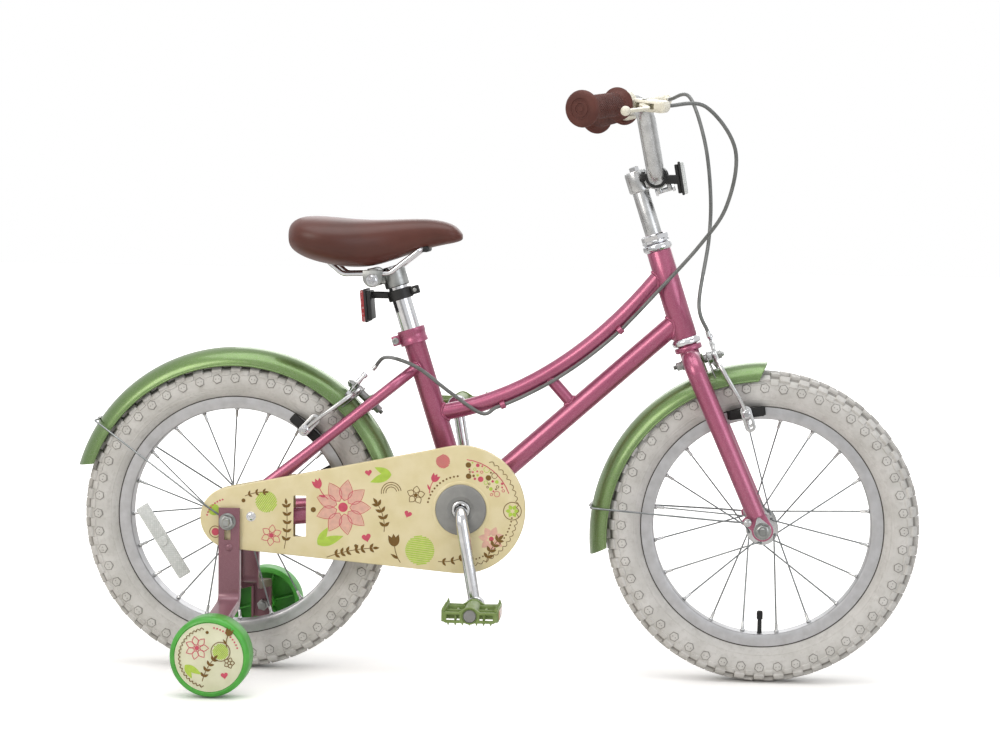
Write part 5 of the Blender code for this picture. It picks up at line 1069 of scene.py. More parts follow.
def makeFrameTubes():
    beads = []
    head = turnedShape([(14.0 * mm, 0), (15.6 * mm, 0), (16 * mm, 0.5 * mm), (16 * mm, 118.5 * mm),
                        (15.6 * mm, 119 * mm), (14.0 * mm, 119 * mm)], onHead(266 * mm), steerUp, 56)
    seatTube = turnedShape(inMm([(13.0, 0), (14.3, 0), (14.3, 226.6), (15.3, 228), (15.3, 239.6), (14.9, 240),
                                 (13.0, 240)]), onSeat(0), seatUp, 56)
    shell = turnedShape(inMm([(25.5, -34), (27.4, -34), (28, -33.4), (28, 33.4), (27.4, 34), (25.5, 34)]),
                        crankCentre, acrossY, 72)
    topPath = topTubeBend()
    downLow, downHigh = crankCentre + Vector((12 * mm, 0, 10.6 * mm)), onHead(291 * mm)
    topTube = tubeShape(topPath, 11.1 * mm, tubeSides)
    downTube = tubeShape([downLow, downHigh], 13.5 * mm, tubeSides)
    strutHigh = topPath[20].lerp(topPath[24], 0.3)
    downWay = (downHigh - crankCentre).normalized()
    strutLow = crankCentre + downWay * (strutHigh - crankCentre).dot(downWay)
    strut = tubeShape([strutHigh, strutLow], 8 * mm, 36)
    topEnd = (topPath[-2] - topPath[-1]).normalized()
    topStart = (topPath[1] - topPath[0]).normalized()
    strutWay = (strutLow - strutHigh).normalized()
    downBack = (downLow - downHigh).normalized()
    for name, tube, centre, way, radius, away in (
            ("topAtHead", head, topPath[-1], topEnd, 11.1, 60),
            ("topAtSeat", seatTube, topPath[0], topStart, 11.1, 60),
            ("downAtHead", head, downHigh, downBack, 13.5, 60),
            ("downAtShell", shell, downLow, -downBack, 13.5, 80),
            ("strutAtTop", topTube, strutHigh, strutWay, 8, 24),
            ("strutAtDown", downTube, strutLow, -strutWay, 8, 24),
            ("seatAtShell", shell, onSeat(0), seatUp, 14.3, 60)):
        beads.append(beadRun(name, meetingLoop(tube, centre, way, radius * mm, away * mm), 1.7 * mm))
    shapes = [head, seatTube, shell, topTube, downTube, strut]
    stay, chainStay = seatStayBend(), chainStayLine()
    bridge = stayBridge()
    lowBridge = chainStay[0].lerp(chainStay[1], 0.16)
    for side in (1, -1):
        stayTube = mirroredShape(seatStay(stay), side)
        high, bend = stay[0], stay[1]
        way = Vector((bend.x - high.x, side * (bend.y - high.y), bend.z - high.z))
        start = Vector((high.x, side * high.y, high.z))
        beads.append(beadRun("stayAtSeat", meetingLoop(seatTube, start, way, stayRadius, 30 * mm), 1.3 * mm))
        beads.append(beadRun("bridgeAtStay", meetingLoop(stayTube, acrossAt(bridge) if side < 0 else bridge,
                                                         -acrossY * side, 6 * mm, 20 * mm, 48), 1.1 * mm))
        lower = sweptShape(chainStay, ovalSection(7.2 * mm, 11 * mm, 40), up=upZ)
        shapes += [stayTube, mirroredShape(lower, side)]
        tip = arcPoints((rearAxle.x, rearAxle.z), 17 * mm, math.radians(95), math.radians(285), 28)
        corners = [(52, -6), (52, 12), (40, 17), (26, 26)]
        tab = plateShape(tip + [(rearAxle.x + x * mm, rearAxle.z + z * mm) for x, z in corners], 55 * mm,
                         59 * mm, 0.8 * mm)
        slot = blockShape(rearAxle + Vector((-2 * mm, 57 * mm, 0)), (11 * mm, 8 * mm, 10.6 * mm), None, 0)
        shapes.append(mirroredShape(carvedShape(tab, slot), side))
    for end, radius in ((bridge, 6 * mm), (lowBridge, 6 * mm)):
        shapes.append(tubeShape([end, acrossAt(end)], radius, 32))
    for index in (12, 36):
        along = (topPath[index + 4] - topPath[index - 4]).normalized()
        out = (along.cross(-acrossY) - acrossY).normalized()
        place = topPath[index] + out * 15.1 * mm
        shapes.append(ringShape(place - along * 3.5 * mm, place + along * 3.5 * mm, 5.0 * mm,
                                3.0 * mm, 32, 0.6 * mm))
        shapes.append(blockShape(topPath[index] + out * 11.2 * mm, (7 * mm, 3.2 * mm, 3.2 * mm),
                                 Matrix((along, along.cross(out), out)).transposed(), 0.7 * mm))
    grownPiece("frameTubes", weldBead, beads, roseLacquer, "frame", "frame",
               joinedShape(*shapes), 40)
    cups = []
    for side in (-1, 1):
        cups.append(turnedShape(inMm([(9.0, 0), (27.0, 0), (26.6, 1.8), (25.0, 2.6), (22.4, 4.7), (21.6, 5.0),
                                      (12.5, 5.0), (12.2, 4.2), (9.0, 4.2)]),
                                crankCentre + acrossY * side * 33.2 * mm, acrossY * side, 64))
    makePiece("bottomBracketCups", joinedShape(*cups), zincSteel, "frame")


def stayBridge():
    # The point of the left seat stay that is level with the rear brake's bolt.
    path = seatStayBend()
    low, high = path[-1], path[-2]
    reach = 232 * mm
    share = (reach + 0.5 * mm - (low - rearAxle).dot(rearBrakeUp)) / (high - low).dot(rearBrakeUp)
    return low.lerp(high, share)


def makeSeatClamp():
    low, high = onSeat(222 * mm), onSeat(242 * mm)
    middle = low.lerp(high, 0.5)
    turn = Matrix((seatFore, acrossY, seatUp)).transposed()
    collar = turnedShape(inMm([(15.5, 0), (18.1, 0), (18.5, 0.5), (18.5, 6), (17.9, 7),
                               (17.9, 13), (18.5, 14),
                               (18.5, 19.5), (18.1, 20), (12.9, 20), (12.9, 18.6), (15.5, 18.2)]), low,
                               seatUp, 64)
    ears = [blockShape(middle - seatFore * 22 * mm + acrossY * side * 4.6 * mm,
                       (11 * mm, 6.6 * mm, 13 * mm), turn,
                       1.2 * mm, 3) for side in (-1, 1)]
    makePiece("seatClampCollar", joinedShape(collar, *ears), roseLacquer, "frame",
              "seat_clamp")
    bolt = middle - seatFore * 22.5 * mm
    screw = [rodShape(bolt - acrossY * 13 * mm, bolt - acrossY * 8 * mm, 4.5 * mm),
             rodShape(bolt - acrossY * 9 * mm, bolt + acrossY * 9 * mm, 2.5 * mm),
             hexShape(bolt + acrossY * 8 * mm, bolt + acrossY * 12 * mm, 4.6 * mm)]
    head = carvedShape(screw.pop(0), hexShape(bolt - acrossY * 10.5 * mm, bolt - acrossY * 14 * mm, 2.4 * mm))
    makePiece("seatClampScrew", joinedShape(head, *screw), zincSteel, "frame", "seat_clamp_bolt")


def makeHeadset():
    upper = turnedShape(inMm([(13.4, 0), (16.6, 0), (17, 0.3), (19, 2.8), (19, 7.6), (18.4, 8.6), (17.0, 9.4),
                              (13.4, 9.4)]), onHead(385.3 * mm), steerUp, 64)
    lower = turnedShape(inMm([(13.4, 0), (16.8, 0), (18.6, 0.9), (19, 1.8), (19, 5.8), (17.0, 8.7), (16.6, 9),
                              (13.4, 9)]), onHead(256.7 * mm), steerUp, 64)
    for name, shape in (("upper", upper), ("lower", lower)):
        makePiece(name + "HeadsetCup", shape, chromePlate, "frame", "headset_cup_" + name)
    race = turnedShape(inMm([(13, 0), (16, 0), (18, 1.6), (18, 3.8), (17.4, 4.6), (13, 4.6)]),
                       onHead(395.1 * mm), steerUp, 64)
    lock = hexShape(onHead(399.8 * mm), onHead(406.6 * mm), 18.5 * mm, 1.0 * mm)
    top = turnedShape(inMm([(12.8, 0), (15.4, 0), (14.6, 1.0), (12.8, 1.0)]), onHead(406.4 * mm), steerUp, 56)
    makePiece("headsetLocknut", joinedShape(race, lock, top), chromePlate, "steering",
              "headset_locknut")


def forkLegPath():
    low = onHead(20 * mm, 24 * mm * (crownUp - 20 * mm) / crownUp, legAcross)
    return roundedPath([onHead(crownUp), onHead(crownUp, 0, legAcross), low], 24 * mm)


def makeFork():
    path = forkLegPath()
    length = (path[-1] - path[0]).length
    size = [(1 - 0.024 * (p - path[0]).length / length,) * 2 for p in path]
    steerer = rodShape(onHead(234 * mm), onHead(407.5 * mm), 12.7 * mm, 48)
    race = turnedShape(inMm([(9, 0), (15.5, 0), (17.6, 1.0), (18, 2.0), (18, 6.4), (17.4, 7.2), (9, 7.2)]),
                       onHead(247.6 * mm), steerUp, 64)
    shapes = [steerer, race]
    tip = arcPoints((frontAxle.x, frontAxle.z), 14 * mm, math.radians(200), math.radians(385), 26)
    top = onHead(34 * mm, 24 * mm * 0.86)
    beads = []
    for side in (1, -1):
        shapes.append(mirroredShape(sweptShape(path, ovalSection(12.5 * mm, 12.5 * mm, 44), size=size), side))
        tab = plateShape([*tip, (top.x + 9 * mm, top.z + 3 * mm), (top.x - 9 * mm, top.z - 3 * mm)],
                         46 * mm, 50 * mm, 0.9 * mm)
        shapes.append(mirroredShape(tab, side))
        lug = [(-12, -2), (-19.7, 4.5), (-25.4, 8), (-26.4, 13), (-22.5, 17.6), (-16, 18), (-9, 17)]
        shapes.append(mirroredShape(plateShape([(frontAxle.x + x * mm, frontAxle.z + z * mm) for x, z in lug],
                                               46.3 * mm, 49.7 * mm, 0.7 * mm), side))
    collar = meetingLoop(shapes[2], onHead(crownUp), steerUp, 13 * mm, 40 * mm)
    if len(collar) > 40:
        beads.append(beadRun("crownBead", collar, 1.2 * mm))
    grownPiece("forkBlades", weldBead, beads, roseLacquer, "steering", "fork",
               joinedShape(*shapes), 40)


def makeStem():
    quill = rodShape(onHead(330 * mm), onHead(467 * mm), 11.1 * mm, 48)
    body = turnedShape(inMm([(0, 0), (12.4, 0), (14.1, 1.4), (14.5, 3.2), (14.5, 25.2),
                             (13.8, 27.2), (12.2, 28), (0, 28)]), onHead(465 * mm), steerUp, 64)
    clampMid = onHead(477.7 * mm, 25.2 * mm)
    half = acrossY * 12.5 * mm
    clamp = ringShape(clampMid - half, clampMid + half, 16.1 * mm, 11.3 * mm, 64, 1.4 * mm)
    turn = Matrix((steerFore, acrossY, steerUp)).transposed()
    neck = blockShape(onHead(477.7 * mm, 11.3 * mm), (24 * mm, 23 * mm, 20 * mm), turn, 4 * mm, 4)
    ears = []
    for fore in (-0.6, 13.4):
        ears.append(blockShape(onHead(462.5 * mm, 25.2 * mm + (fore - 0.6) * mm + 0 * mm),
                               (6.2 * mm, 20 * mm, 15 * mm), turn, 1.6 * mm, 3))
    head = hexShape(onHead(492.6 * mm), onHead(499 * mm), 6.5 * mm, 0.9 * mm)
    pinchUp = 458.2 * mm
    pinch = [rodShape(onHead(pinchUp, 19 * mm), onHead(pinchUp, 42 * mm), 3 * mm),
             hexShape(onHead(pinchUp, 40.6 * mm), onHead(pinchUp, 44.4 * mm), 5.2 * mm),
             hexShape(onHead(pinchUp, 21.6 * mm), onHead(pinchUp, 18.2 * mm), 5.2 * mm)]
    makePiece("quillStem", joinedShape(quill, body, clamp, neck, *ears), silverAlloy,
              "steering", "stem")
    makePiece("stemBolts", joinedShape(head, *pinch), chromePlate, "steering")


makeFrameTubes()
makeSeatClamp()
makeHeadset()
makeFork()
makeStem()
print("frame, fork and stem ready")


# Handlebar, grips, levers, cables and front reflector

barRadius = 11.1 * mm
gripLook = {"length": 96 * mm, "studsRound": 24, "studRows": 30, "rowPitch": 2.4 * mm, "studHeight": 1.0 * mm}
leverTilt = {1: math.radians(12), -1: math.radians(-5)}


def barCorners():
    middle = onHead(477.7 * mm, 25.2 * mm)
    foot = middle + acrossY * 38 * mm
    top = foot + Vector((-18.4 * mm, 32 * mm, 96.6 * mm))
    return middle, foot, top, top + Vector((-70 * mm, 145 * mm, -15 * mm))


def gripLine():
    middle, foot, top, end = barCorners()
    return end, (end - top).normalized()


def makeHandlebar():
    half = roundedPath(barCorners(), [20 * mm, 36 * mm])
    path = [acrossAt(p) for p in half[:0:-1]] + half
    bar = tubeShape(path, barRadius, 48)
    knurls = turnedShape(inMm([(10.8, -20), (11.25, -19.6), (11.25, 19.6), (10.8, 20)]), half[0], acrossY, 60)
    makePiece("handlebarTube", joinedShape(bar, knurls), silverAlloy, "steering", "handlebar")


def gripStud():
    # One raised diamond of the pattern, at angle 0 round the Y axis.
    stud = bmesh.new()
    around, along, radius = 1.75 * mm, 2.2 * mm, 14.2 * mm
    corners = [(radius, 0, around), (radius, along, 0), (radius, 0, -around), (radius, -along, 0)]
    low = [stud.verts.new(c) for c in corners]
    high = [stud.verts.new((radius + gripLook["studHeight"], y * 0.42, z * 0.42)) for x, y, z in corners]
    stud.faces.new(high)
    stud.faces.new(low)
    bridge(stud, low, high)
    return closedShape(stud)


def makeGrip(side, word):
    end, along = gripLine()
    end, along = Vector((end.x, side * end.y, end.z)), Vector((along.x, side * along.y, along.z))
    profile = inMm([(0, 4.0), (3.2, 4.0), (3.8, 3.2), (6.6, 3.2), (7.2, 4.2), (9.6, 4.2),
                    (10.2, 3.3), (12.8, 3.3), (13.4, 4.2), (17.6, 4.0), (20.6, 2.9), (22.4, 1.0), (23, -0.8),
                    (22.8, -2.6), (21.4, -3.8),
                    (17.4, -5.2), (15.2, -7.6), (14.3, -10), (14.2, -84), (14.9, -88), (17.4, -91),
                    (20.2, -92.4), (21, -93.4), (20.8, -95.2), (19.6, -96), (11.2, -96), (11.2, -93)])
    body = turnedShape(profile, end, along, 72)
    helper = helperObject("gripStud" + word, gripStud())
    run = {"Shape": helper, "Around": gripLook["studsRound"], "Rows": gripLook["studRows"],
           "Row Pitch": gripLook["rowPitch"], "Stagger": 0.5, "Centre": end - along * 82.5 * mm,
           "Turn": turnOnto(along)}
    grownPiece(word + "Grip", copiesRound, [run], gripRubber, "steering", "grip_" + word, body, 28)


def bracketFrame(side):
    # Where a brake lever's bracket sits: its centre on the bar, outwards, forwards and up.
    end, along = gripLine()
    fore = along.cross(upZ).normalized()
    rise = fore.cross(along)
    ahead = fore * math.cos(leverTilt[side]) + rise * math.sin(leverTilt[side])
    return end - along * 109 * mm, along, ahead, ahead.cross(along)


def makeLever(side, word):
    centre, along, ahead, rise = bracketFrame(side)
    turn = Matrix((along, ahead, rise)).transposed()

    def at(fore, out, up=0.0):
        return centre + ahead * fore * mm + along * out * mm + rise * up * mm

    clamp = ringShape(at(0, -10), at(0, 10), 15.6 * mm, 11.3 * mm, 60, 1.6 * mm)
    arm = blockShape(at(35, -1.5), (19 * mm, 50 * mm, 15 * mm), turn, 3.6 * mm, 5)
    arm = carvedShape(arm, blockShape(at(33.5, 10), (27 * mm, 27 * mm, 7.2 * mm), turn, 0))
    nose = rodShape(at(54, -10.2), at(54, 6.5), 7.6 * mm, 40, 1.6 * mm)
    band = blockShape(at(-13.6, 0), (12 * mm, 6 * mm, 9 * mm), turn, 1.4 * mm, 3)
    barrel = turnedShape(inMm([(0, 0), (4.6, 0), (5.0, 0.4), (5.0, 2.4), (4.2, 2.8), (3.2, 4.6), (0, 4.6)]),
                         at(54, -9.4), -along, 24)
    ribs = [rodShape(at(55.5, out, -7.6), at(55.5, out, 7.6), 0.7 * mm, 10) for out in (-5, -2, 1)]
    bracket = mirroredShape(joinedShape(clamp, arm, nose, band, barrel, *ribs), side)
    makePiece(word + "LeverBracket", bracket, ivoryPlastic, "steering",
              "lever_bracket_" + word)
    screws = [rodShape(at(31, 3, -7.4), at(31, 3, -8.4), 3 * mm, 24),
              rodShape(at(31, 3, 7.4), at(31, 3, 8.4), 3 * mm, 24),
              rodShape(at(31, 3, -7.4), at(31, 3, 7.4), 2.3 * mm, 20),
              hexShape(at(-13.6, 0, 4.2), at(-13.6, 0, 6.4), 3.6 * mm, 0.4 * mm)]
    makePiece(word + "LeverPins", mirroredShape(joinedShape(*screws), side), zincSteel,
              "steering")
    points = [(31, 3), (35, 15), (47, 28), (52, 48), (50, 72), (48, 86)]
    path = curveThrough([at(*point) for point in points], 8)
    count = len(path) - 1
    blade = sweptShape(path, softSection(10 * mm, 5.2 * mm, 2 * mm), up=rise,
                       size=[(1.0 - 0.22 * i / count,) * 2 for i in range(count + 1)])
    boss = ringShape(at(31, 3, -3), at(31, 3, 3), 6.6 * mm, 2.4 * mm, 36, 0.8 * mm)
    way = (path[-1] - path[-2]).normalized()
    ball = turnedShape([(6.2 * mm * math.sin(math.pi * i / 14), -6.2 * mm * math.cos(math.pi * i / 14))
                        for i in range(15)], path[-1], way, 32)
    lever = mirroredShape(joinedShape(blade, boss, ball), side)
    makePiece(word + "BrakeLever", lever, ivoryPlastic, "lever_" + word,
              "brake_lever_" + word)


def calliperPlace(end):
    # A brake's centre bolt, its up direction and its forward direction.
    if end == "front":
        return onHead(232 * mm, 20 * mm), steerUp, steerFore
    bridge = stayBridge()
    return Vector((bridge.x, 0, bridge.z)) + rearBrakeWay * 20 * mm, rearBrakeUp, rearBrakeWay


def cableStart(side):
    centre, along, ahead, rise = bracketFrame(side)
    point = centre + ahead * 54 * mm - along * 11.9 * mm
    return Vector((point.x, side * point.y, point.z)), Vector((-along.x, -side * along.y, -along.z))


def adjusterTop(end, side):
    pivot, up, fore = calliperPlace(end)
    return pivot - acrossY * side * 32 * mm + up * 28.3 * mm + fore * 10.8 * mm


def besideTopTube(index):
    path = topTubeBend()
    along = (path[index * 4 + 4] - path[index * 4 - 4]).normalized()
    out = (along.cross(-acrossY) - acrossY).normalized()
    return path[index * 4] + out * 15.1 * mm, along


def fromFrontAxle(x, y, z):
    return Vector((frontAxle.x + x, y, z))


def ferrule(point, way):
    # The metal end cap of a cable's housing.
    return turnedShape(inMm([(2.4, 0), (3.1, 0.2), (3.1, 6.6), (2.6, 7.0), (2.4, 7.0)]), point, way, 24)


def makeCables():
    start, way = cableStart(1)
    end = adjusterTop("front", 1)
    points = [start, start + way * 12 * mm, fromFrontAxle(-0.105, 0.078, 0.766),
              fromFrontAxle(-0.084, 0.047, 0.708),
              fromFrontAxle(-0.075, 0.034, 0.640), fromFrontAxle(-0.076, 0.030, 0.578),
              end + steerUp * 45 * mm, end + steerUp * 8 * mm, end]
    front = tubeShape(curveThrough(points, 12), 2.5 * mm, 16)
    makePiece("frontCableHousing", front, cableHousing, "steering", "front_brake_cable")
    caps = [ferrule(start, way), ferrule(end, steerUp)]
    start, way = cableStart(-1)
    caps.append(ferrule(start, way))
    makePiece("frontCableCaps", joinedShape(*caps), silverAlloy, "steering")
    end = adjusterTop("rear", -1)
    (low, lowWay), (high, highWay) = besideTopTube(3), besideTopTube(9)
    points = [start, start + way * 12 * mm, fromFrontAxle(-0.083, -0.100, 0.748),
              fromFrontAxle(-0.045, -0.075, 0.695),
              fromFrontAxle(-0.054, -0.050, 0.6247), fromFrontAxle(-0.0875, -0.027, 0.5722),
              fromFrontAxle(-0.1447, -0.017, 0.507), high + highWay * 8 * mm, high - highWay * 8 * mm]
    points += [besideTopTube(index)[0] for index in (8, 7, 6, 5, 4)]
    points += [low + lowWay * 10 * mm, low - lowWay * 10 * mm, low - lowWay * 30 * mm - acrossY * 4 * mm,
               fromRearAxle(0.285, -0.0225, 0.374), fromRearAxle(0.246, -0.0275, 0.404),
               fromRearAxle(0.217, -0.030, 0.417), end + rearBrakeUp * 22 * mm,
               end + rearBrakeUp * 6 * mm, end]
    rear = tubeShape(curveThrough(points, 10), 2.5 * mm, 16)
    # The housing is given the bars at the lever and the frame from its first clip on, but it is only fixed
    # where it stands.
    bend = ("steering", "frame", start, high + highWay * 30 * mm)
    makePiece("rearCableHousing", rear, cableHousing, bend, "rear_brake_cable")
    makePiece("rearCableCaps", ferrule(end, rearBrakeUp), silverAlloy, "frame")


def reflectorLens(middle, turn, thick, bodyName, stands, material):
    # A framed lens: a raised border round a field of three panels.
    width, height = 48 * mm, 42 * mm
    face = turn @ acrossX * thick / 2
    shapes = [blockShape(middle, (thick, width, height), turn, 1.8 * mm, 4)]
    for across in (-14.3, 0, 14.3):
        shapes.append(blockShape(middle + face + turn @ Vector((-0.2 * mm, across * mm, 0)),
                                 (1.0 * mm, 13.4 * mm, 35 * mm), turn, 0.3 * mm))
    return makePiece(stands.replace("_r", "R") + "Lens", joinedShape(*shapes), material,
                     bodyName, stands)


def makeFrontReflector():
    middle = barCorners()[0]
    centre = middle - acrossY * 17.8 * mm
    lensMid = middle + Vector((34.7 * mm, 0, -1 * mm))
    turn = Matrix.Rotation(math.radians(-10), 3, "Y")
    reflectorLens(lensMid, turn, 7 * mm, "steering", "front_reflector", clearLens)
    backMid = lensMid - turn @ Vector((6.3 * mm, 0, 0))
    back = blockShape(backMid, (5 * mm, 44 * mm, 38 * mm), turn, 1.4 * mm, 3)
    shell = blockShape(lensMid - turn @ Vector((2.4 * mm, 0, 0)),
                       (3.6 * mm, 50 * mm, 44 * mm), turn, 1.6 * mm, 3)
    neck = blockShape(Vector(((backMid.x + centre.x + barRadius) / 2, -17.8 * mm, lensMid.z - 2 * mm)),
                      (backMid.x - centre.x - barRadius, 8 * mm, 12 * mm), None, 2 * mm, 3)
    band = ringShape(centre - acrossY * 4.5 * mm, centre + acrossY * 4.5 * mm, 14.4 * mm,
                     11.3 * mm, 48, 0.7 * mm)
    ears = blockShape(centre - acrossX * 16.5 * mm, (7 * mm, 8.6 * mm, 8 * mm), None, 1.2 * mm, 3)
    screw = rodShape(centre + Vector((-17 * mm, 0, -6 * mm)),
                     centre + Vector((-17 * mm, 0, 6.5 * mm)), 2.4 * mm, 24)
    makePiece("frontReflectorMount", joinedShape(back, shell, neck, band, ears, screw),
              blackPlastic, "steering", "front_reflector_bracket")


makeHandlebar()
for leverSide, leverWord in ((1, "left"), (-1, "right")):
    makeGrip(leverSide, leverWord)
    makeLever(leverSide, leverWord)
makeCables()
makeFrontReflector()
print("bar, levers and cables ready")


# Saddle and seat post

postTop = onSeat(328 * mm)
saddleLook = {"around": 72, "perSpan": 6, "fill": 0.9}


def fromPost(x, y, z):
    return postTop + Vector((x, y, z))


def saddleRing(station, count):
    # One cross-section: a crowned top, full sides that draw in below, and a flat underside.
    x, half, top, low = station
    widest = low + (top - low) * 0.52
    points = []
    for i in range(count):
        a = math.tau * i / count
        across, rise = math.cos(a), math.sin(a)
        if rise >= 0:
            y = half * math.copysign(abs(across) ** 0.82, across)
            z = widest + (top - widest) * rise ** 0.9
        else:
            y = half * (1 - 0.16 * rise * rise) * math.copysign(abs(across) ** 0.55, across)
            z = widest - (widest - low) * (-rise) ** 0.8
        points.append(fromPost(x, y, z))
    return points


def makeSaddle():
    stations = [(-135.4, 7.0, 41.5, 35.0), (-134.1, 20.5, 47.2, 29.6), (-130.1, 43.2, 56.2, 21.8),
                (-119.1, 61.4, 62.8, 13.8), (-102.1, 70.4, 64.8, 6.8), (-78.1, 72.2, 63.8, 1.4),
                (-53.1, 64.4, 61.8, -1.6), (-28.1, 50.4, 60.8, -0.6), (-3.1, 38.4, 61.2, 6.0),
                (21.9, 31.8, 62.2, 15.0), (46.9, 28.8, 62.5, 23.4), (68.9, 25.8, 59.8, 28.9),
                (83.9, 20.8, 53.8, 32.0), (92.0, 11.6, 45.2, 35.2), (93.6, 3.6, 41.4, 37.6)]
    path = curveThrough([Vector([v * mm for v in station]) for station in stations], saddleLook["perSpan"])
    shape = bmesh.new()
    count = saddleLook["around"]
    rings = [[shape.verts.new(p) for p in saddleRing(station, count)] for station in path]
    for low, high in zip(rings, rings[1:]):
        bridge(shape, low, high)
    for ring in (rings[0], rings[-1]):
        middle = shape.verts.new(sum((v.co for v in ring), Vector()) / count)
        for i in range(count):
            shape.faces.new((ring[i], ring[(i + 1) % count], middle))
    bmesh.ops.recalc_face_normals(shape, faces=shape.faces)
    for i in range(6):
        bmesh.ops.smooth_vert(shape, verts=shape.verts, factor=0.5, use_axis_x=True,
                              use_axis_y=True, use_axis_z=True)
    saddle = makePiece("saddleCushion", shape, saddleVinyl, "seat", "saddle", 60, 1)
    # The shell under the cushion, with the sockets of the rails.
    base = []
    for y in (-22, 22):
        base.append(blockShape(fromPost(-86 * mm, y * mm, 11 * mm),
                               (18 * mm, 14 * mm, 12 * mm), None, 3 * mm, 3))
    base.append(blockShape(fromPost(43 * mm, 0, 24 * mm), (16 * mm, 42 * mm, 9 * mm), None, 3 * mm, 3))
    makePiece("saddleRailSockets", joinedShape(*base), blackPlastic, "seat")


def makeRails():
    line = inMm([(-87.1, 11.0), (-62.1, -10.5), (-0.1, -8.5), (42.9, 25.5)])
    left = [fromPost(x, 22 * mm, z) for x, z in line]
    path = left + [acrossAt(p) for p in left[::-1]]
    rails = tubeShape(roundedPath(path, [14 * mm, 14 * mm, 10 * mm, 10 * mm, 14 * mm, 14 * mm]), 3.5 * mm, 24)
    makePiece("saddleRailWire", rails, chromePlate, "seat", "saddle_rails")


def makeSaddleClamp():
    middle = fromPost(-22.1 * mm, 0, -14.5 * mm)
    bolt = middle - upZ * 3.5 * mm
    low, high = onSeat(300 * mm), onSeat(324 * mm)
    sleeve = ringShape(low, high, 16.2 * mm, 12.9 * mm, 56, 1.2 * mm)
    neck = blockShape((middle + low.lerp(high, 0.5)) / 2, (22 * mm, 20 * mm, 18 * mm), None, 4 * mm, 4)
    teeth = []
    for side in (-1, 1):
        way = acrossY * side
        rim = []
        for i in range(96):
            a = math.tau * i / 96
            radius = (12.6 if i % 2 else 12.0) * mm
            rim.append((middle.x + radius * math.cos(a), middle.z + radius * math.sin(a)))
        low, high = sorted((side * 24.0 * mm, side * 20.5 * mm))
        teeth.append(plateShape(rim, low, high, 0.3 * mm, 1))
        teeth.append(turnedShape(inMm([(0, 0), (12.4, 0), (12.4, 1.0), (11.6, 2.0), (9.6, 2.6), (0, 2.6)]),
                                 middle + way * 24.0 * mm, way, 56))
        cheek = plateShape(arcPoints((middle.x, middle.z), 12.8 * mm, math.radians(180),
                                     math.radians(360), 24)
                           + [(middle.x + 12.8 * mm, middle.z + 9.5 * mm),
                              (middle.x - 12.8 * mm, middle.z + 9.5 * mm)],
                           *sorted((side * 26.4 * mm, side * 28.6 * mm)), 0.5 * mm)
        teeth.append(cheek)
        teeth.append(blockShape(middle + Vector((0, side * 22 * mm, 8.5 * mm)),
                                (25.6 * mm, 9.5 * mm, 3.0 * mm), None,
                                1.0 * mm))
    core = rodShape(middle - acrossY * 21 * mm, middle + acrossY * 21 * mm, 11.4 * mm, 56)
    makePiece("saddleClampBody", joinedShape(sleeve, neck, core, *teeth), zincSteel, "seat",
              "saddle_clamp")
    bolts = [threadedRod(bolt - acrossY * 36 * mm, bolt + acrossY * 36 * mm, 3.5 * mm, 1.2 * mm)]
    for side in (-1, 1):
        way = acrossY * side
        bolts.append(ringShape(bolt + way * 28.6 * mm, bolt + way * 29.9 * mm, 8.2 * mm, 3.6 * mm, 40))
        bolts.append(hexShape(bolt + way * 29.8 * mm, bolt + way * 34.4 * mm, 7.2 * mm, 0.8 * mm))
    makePiece("saddleClampBolt", joinedShape(*bolts), chromePlate, "seat")
    post = turnedShape(inMm([(0, 0), (12.2, 0), (12.7, 0.6), (12.7, 207.4), (12.2, 208), (0, 208)]),
                       onSeat(120 * mm), seatUp, 64)
    makePiece("seatPostTube", post, chromePlate, "seat", "seat_post")


def makeRearReflector():
    ringMid = onSeat(289.5 * mm)
    turn = Matrix.Rotation(math.radians(-5), 3, "Y")
    lensMid = fromPost(-34.1 * mm, 0, -52 * mm)
    flip = turn @ Matrix.Rotation(math.pi, 3, "Z")
    reflectorLens(lensMid, flip, 7 * mm, "seat", "rear_reflector", redLens)
    backMid = lensMid + turn @ Vector((6.8 * mm, 0, 0))
    back = blockShape(backMid, (6 * mm, 44 * mm, 38 * mm), turn, 1.4 * mm, 3)
    shell = blockShape(lensMid + turn @ Vector((2.6 * mm, 0, 0)),
                       (3.6 * mm, 50 * mm, 44 * mm), turn, 1.6 * mm, 3)
    end = Vector((ringMid.x - 12.7 * mm, 0, ringMid.z))
    start = Vector((backMid.x, 0, ringMid.z - 3 * mm))
    arm = blockShape((start + end) / 2, ((end - start).length + 4 * mm, 12 * mm, 9 * mm), None, 2.2 * mm, 3)
    band = ringShape(ringMid - seatUp * 7 * mm, ringMid + seatUp * 7 * mm, 16.7 * mm, 12.9 * mm, 56, 1.0 * mm)
    axes = Matrix((seatFore, acrossY, seatUp)).transposed()
    ear = blockShape(ringMid + seatFore * 20.5 * mm, (12 * mm, 10 * mm, 11 * mm), axes, 1.6 * mm, 3)
    shapes = [back, shell, arm, band, ear]
    makePiece("rearReflectorMount", joinedShape(*shapes), blackPlastic, "seat",
              "rear_reflector_bracket")
    screwMid = ringMid + seatFore * 21 * mm
    screws = [rodShape(screwMid - acrossY * 7.4 * mm, screwMid + acrossY * 7.4 * mm, 2.6 * mm, 24)]
    makePiece("rearReflectorScrew", joinedShape(*screws), zincSteel, "seat")


makeSaddle()
makeRails()
makeSaddleClamp()
makeRearReflector()
print("seat ready")


# Printed decoration: flat inks on a plastic face, drawn in millimetres as outlines of (x, z) points

inkColours = {"rose": "#d4566c", "blush": "#e9b9a6", "lime": "#b9d653", "umber": "#7a5a24"}


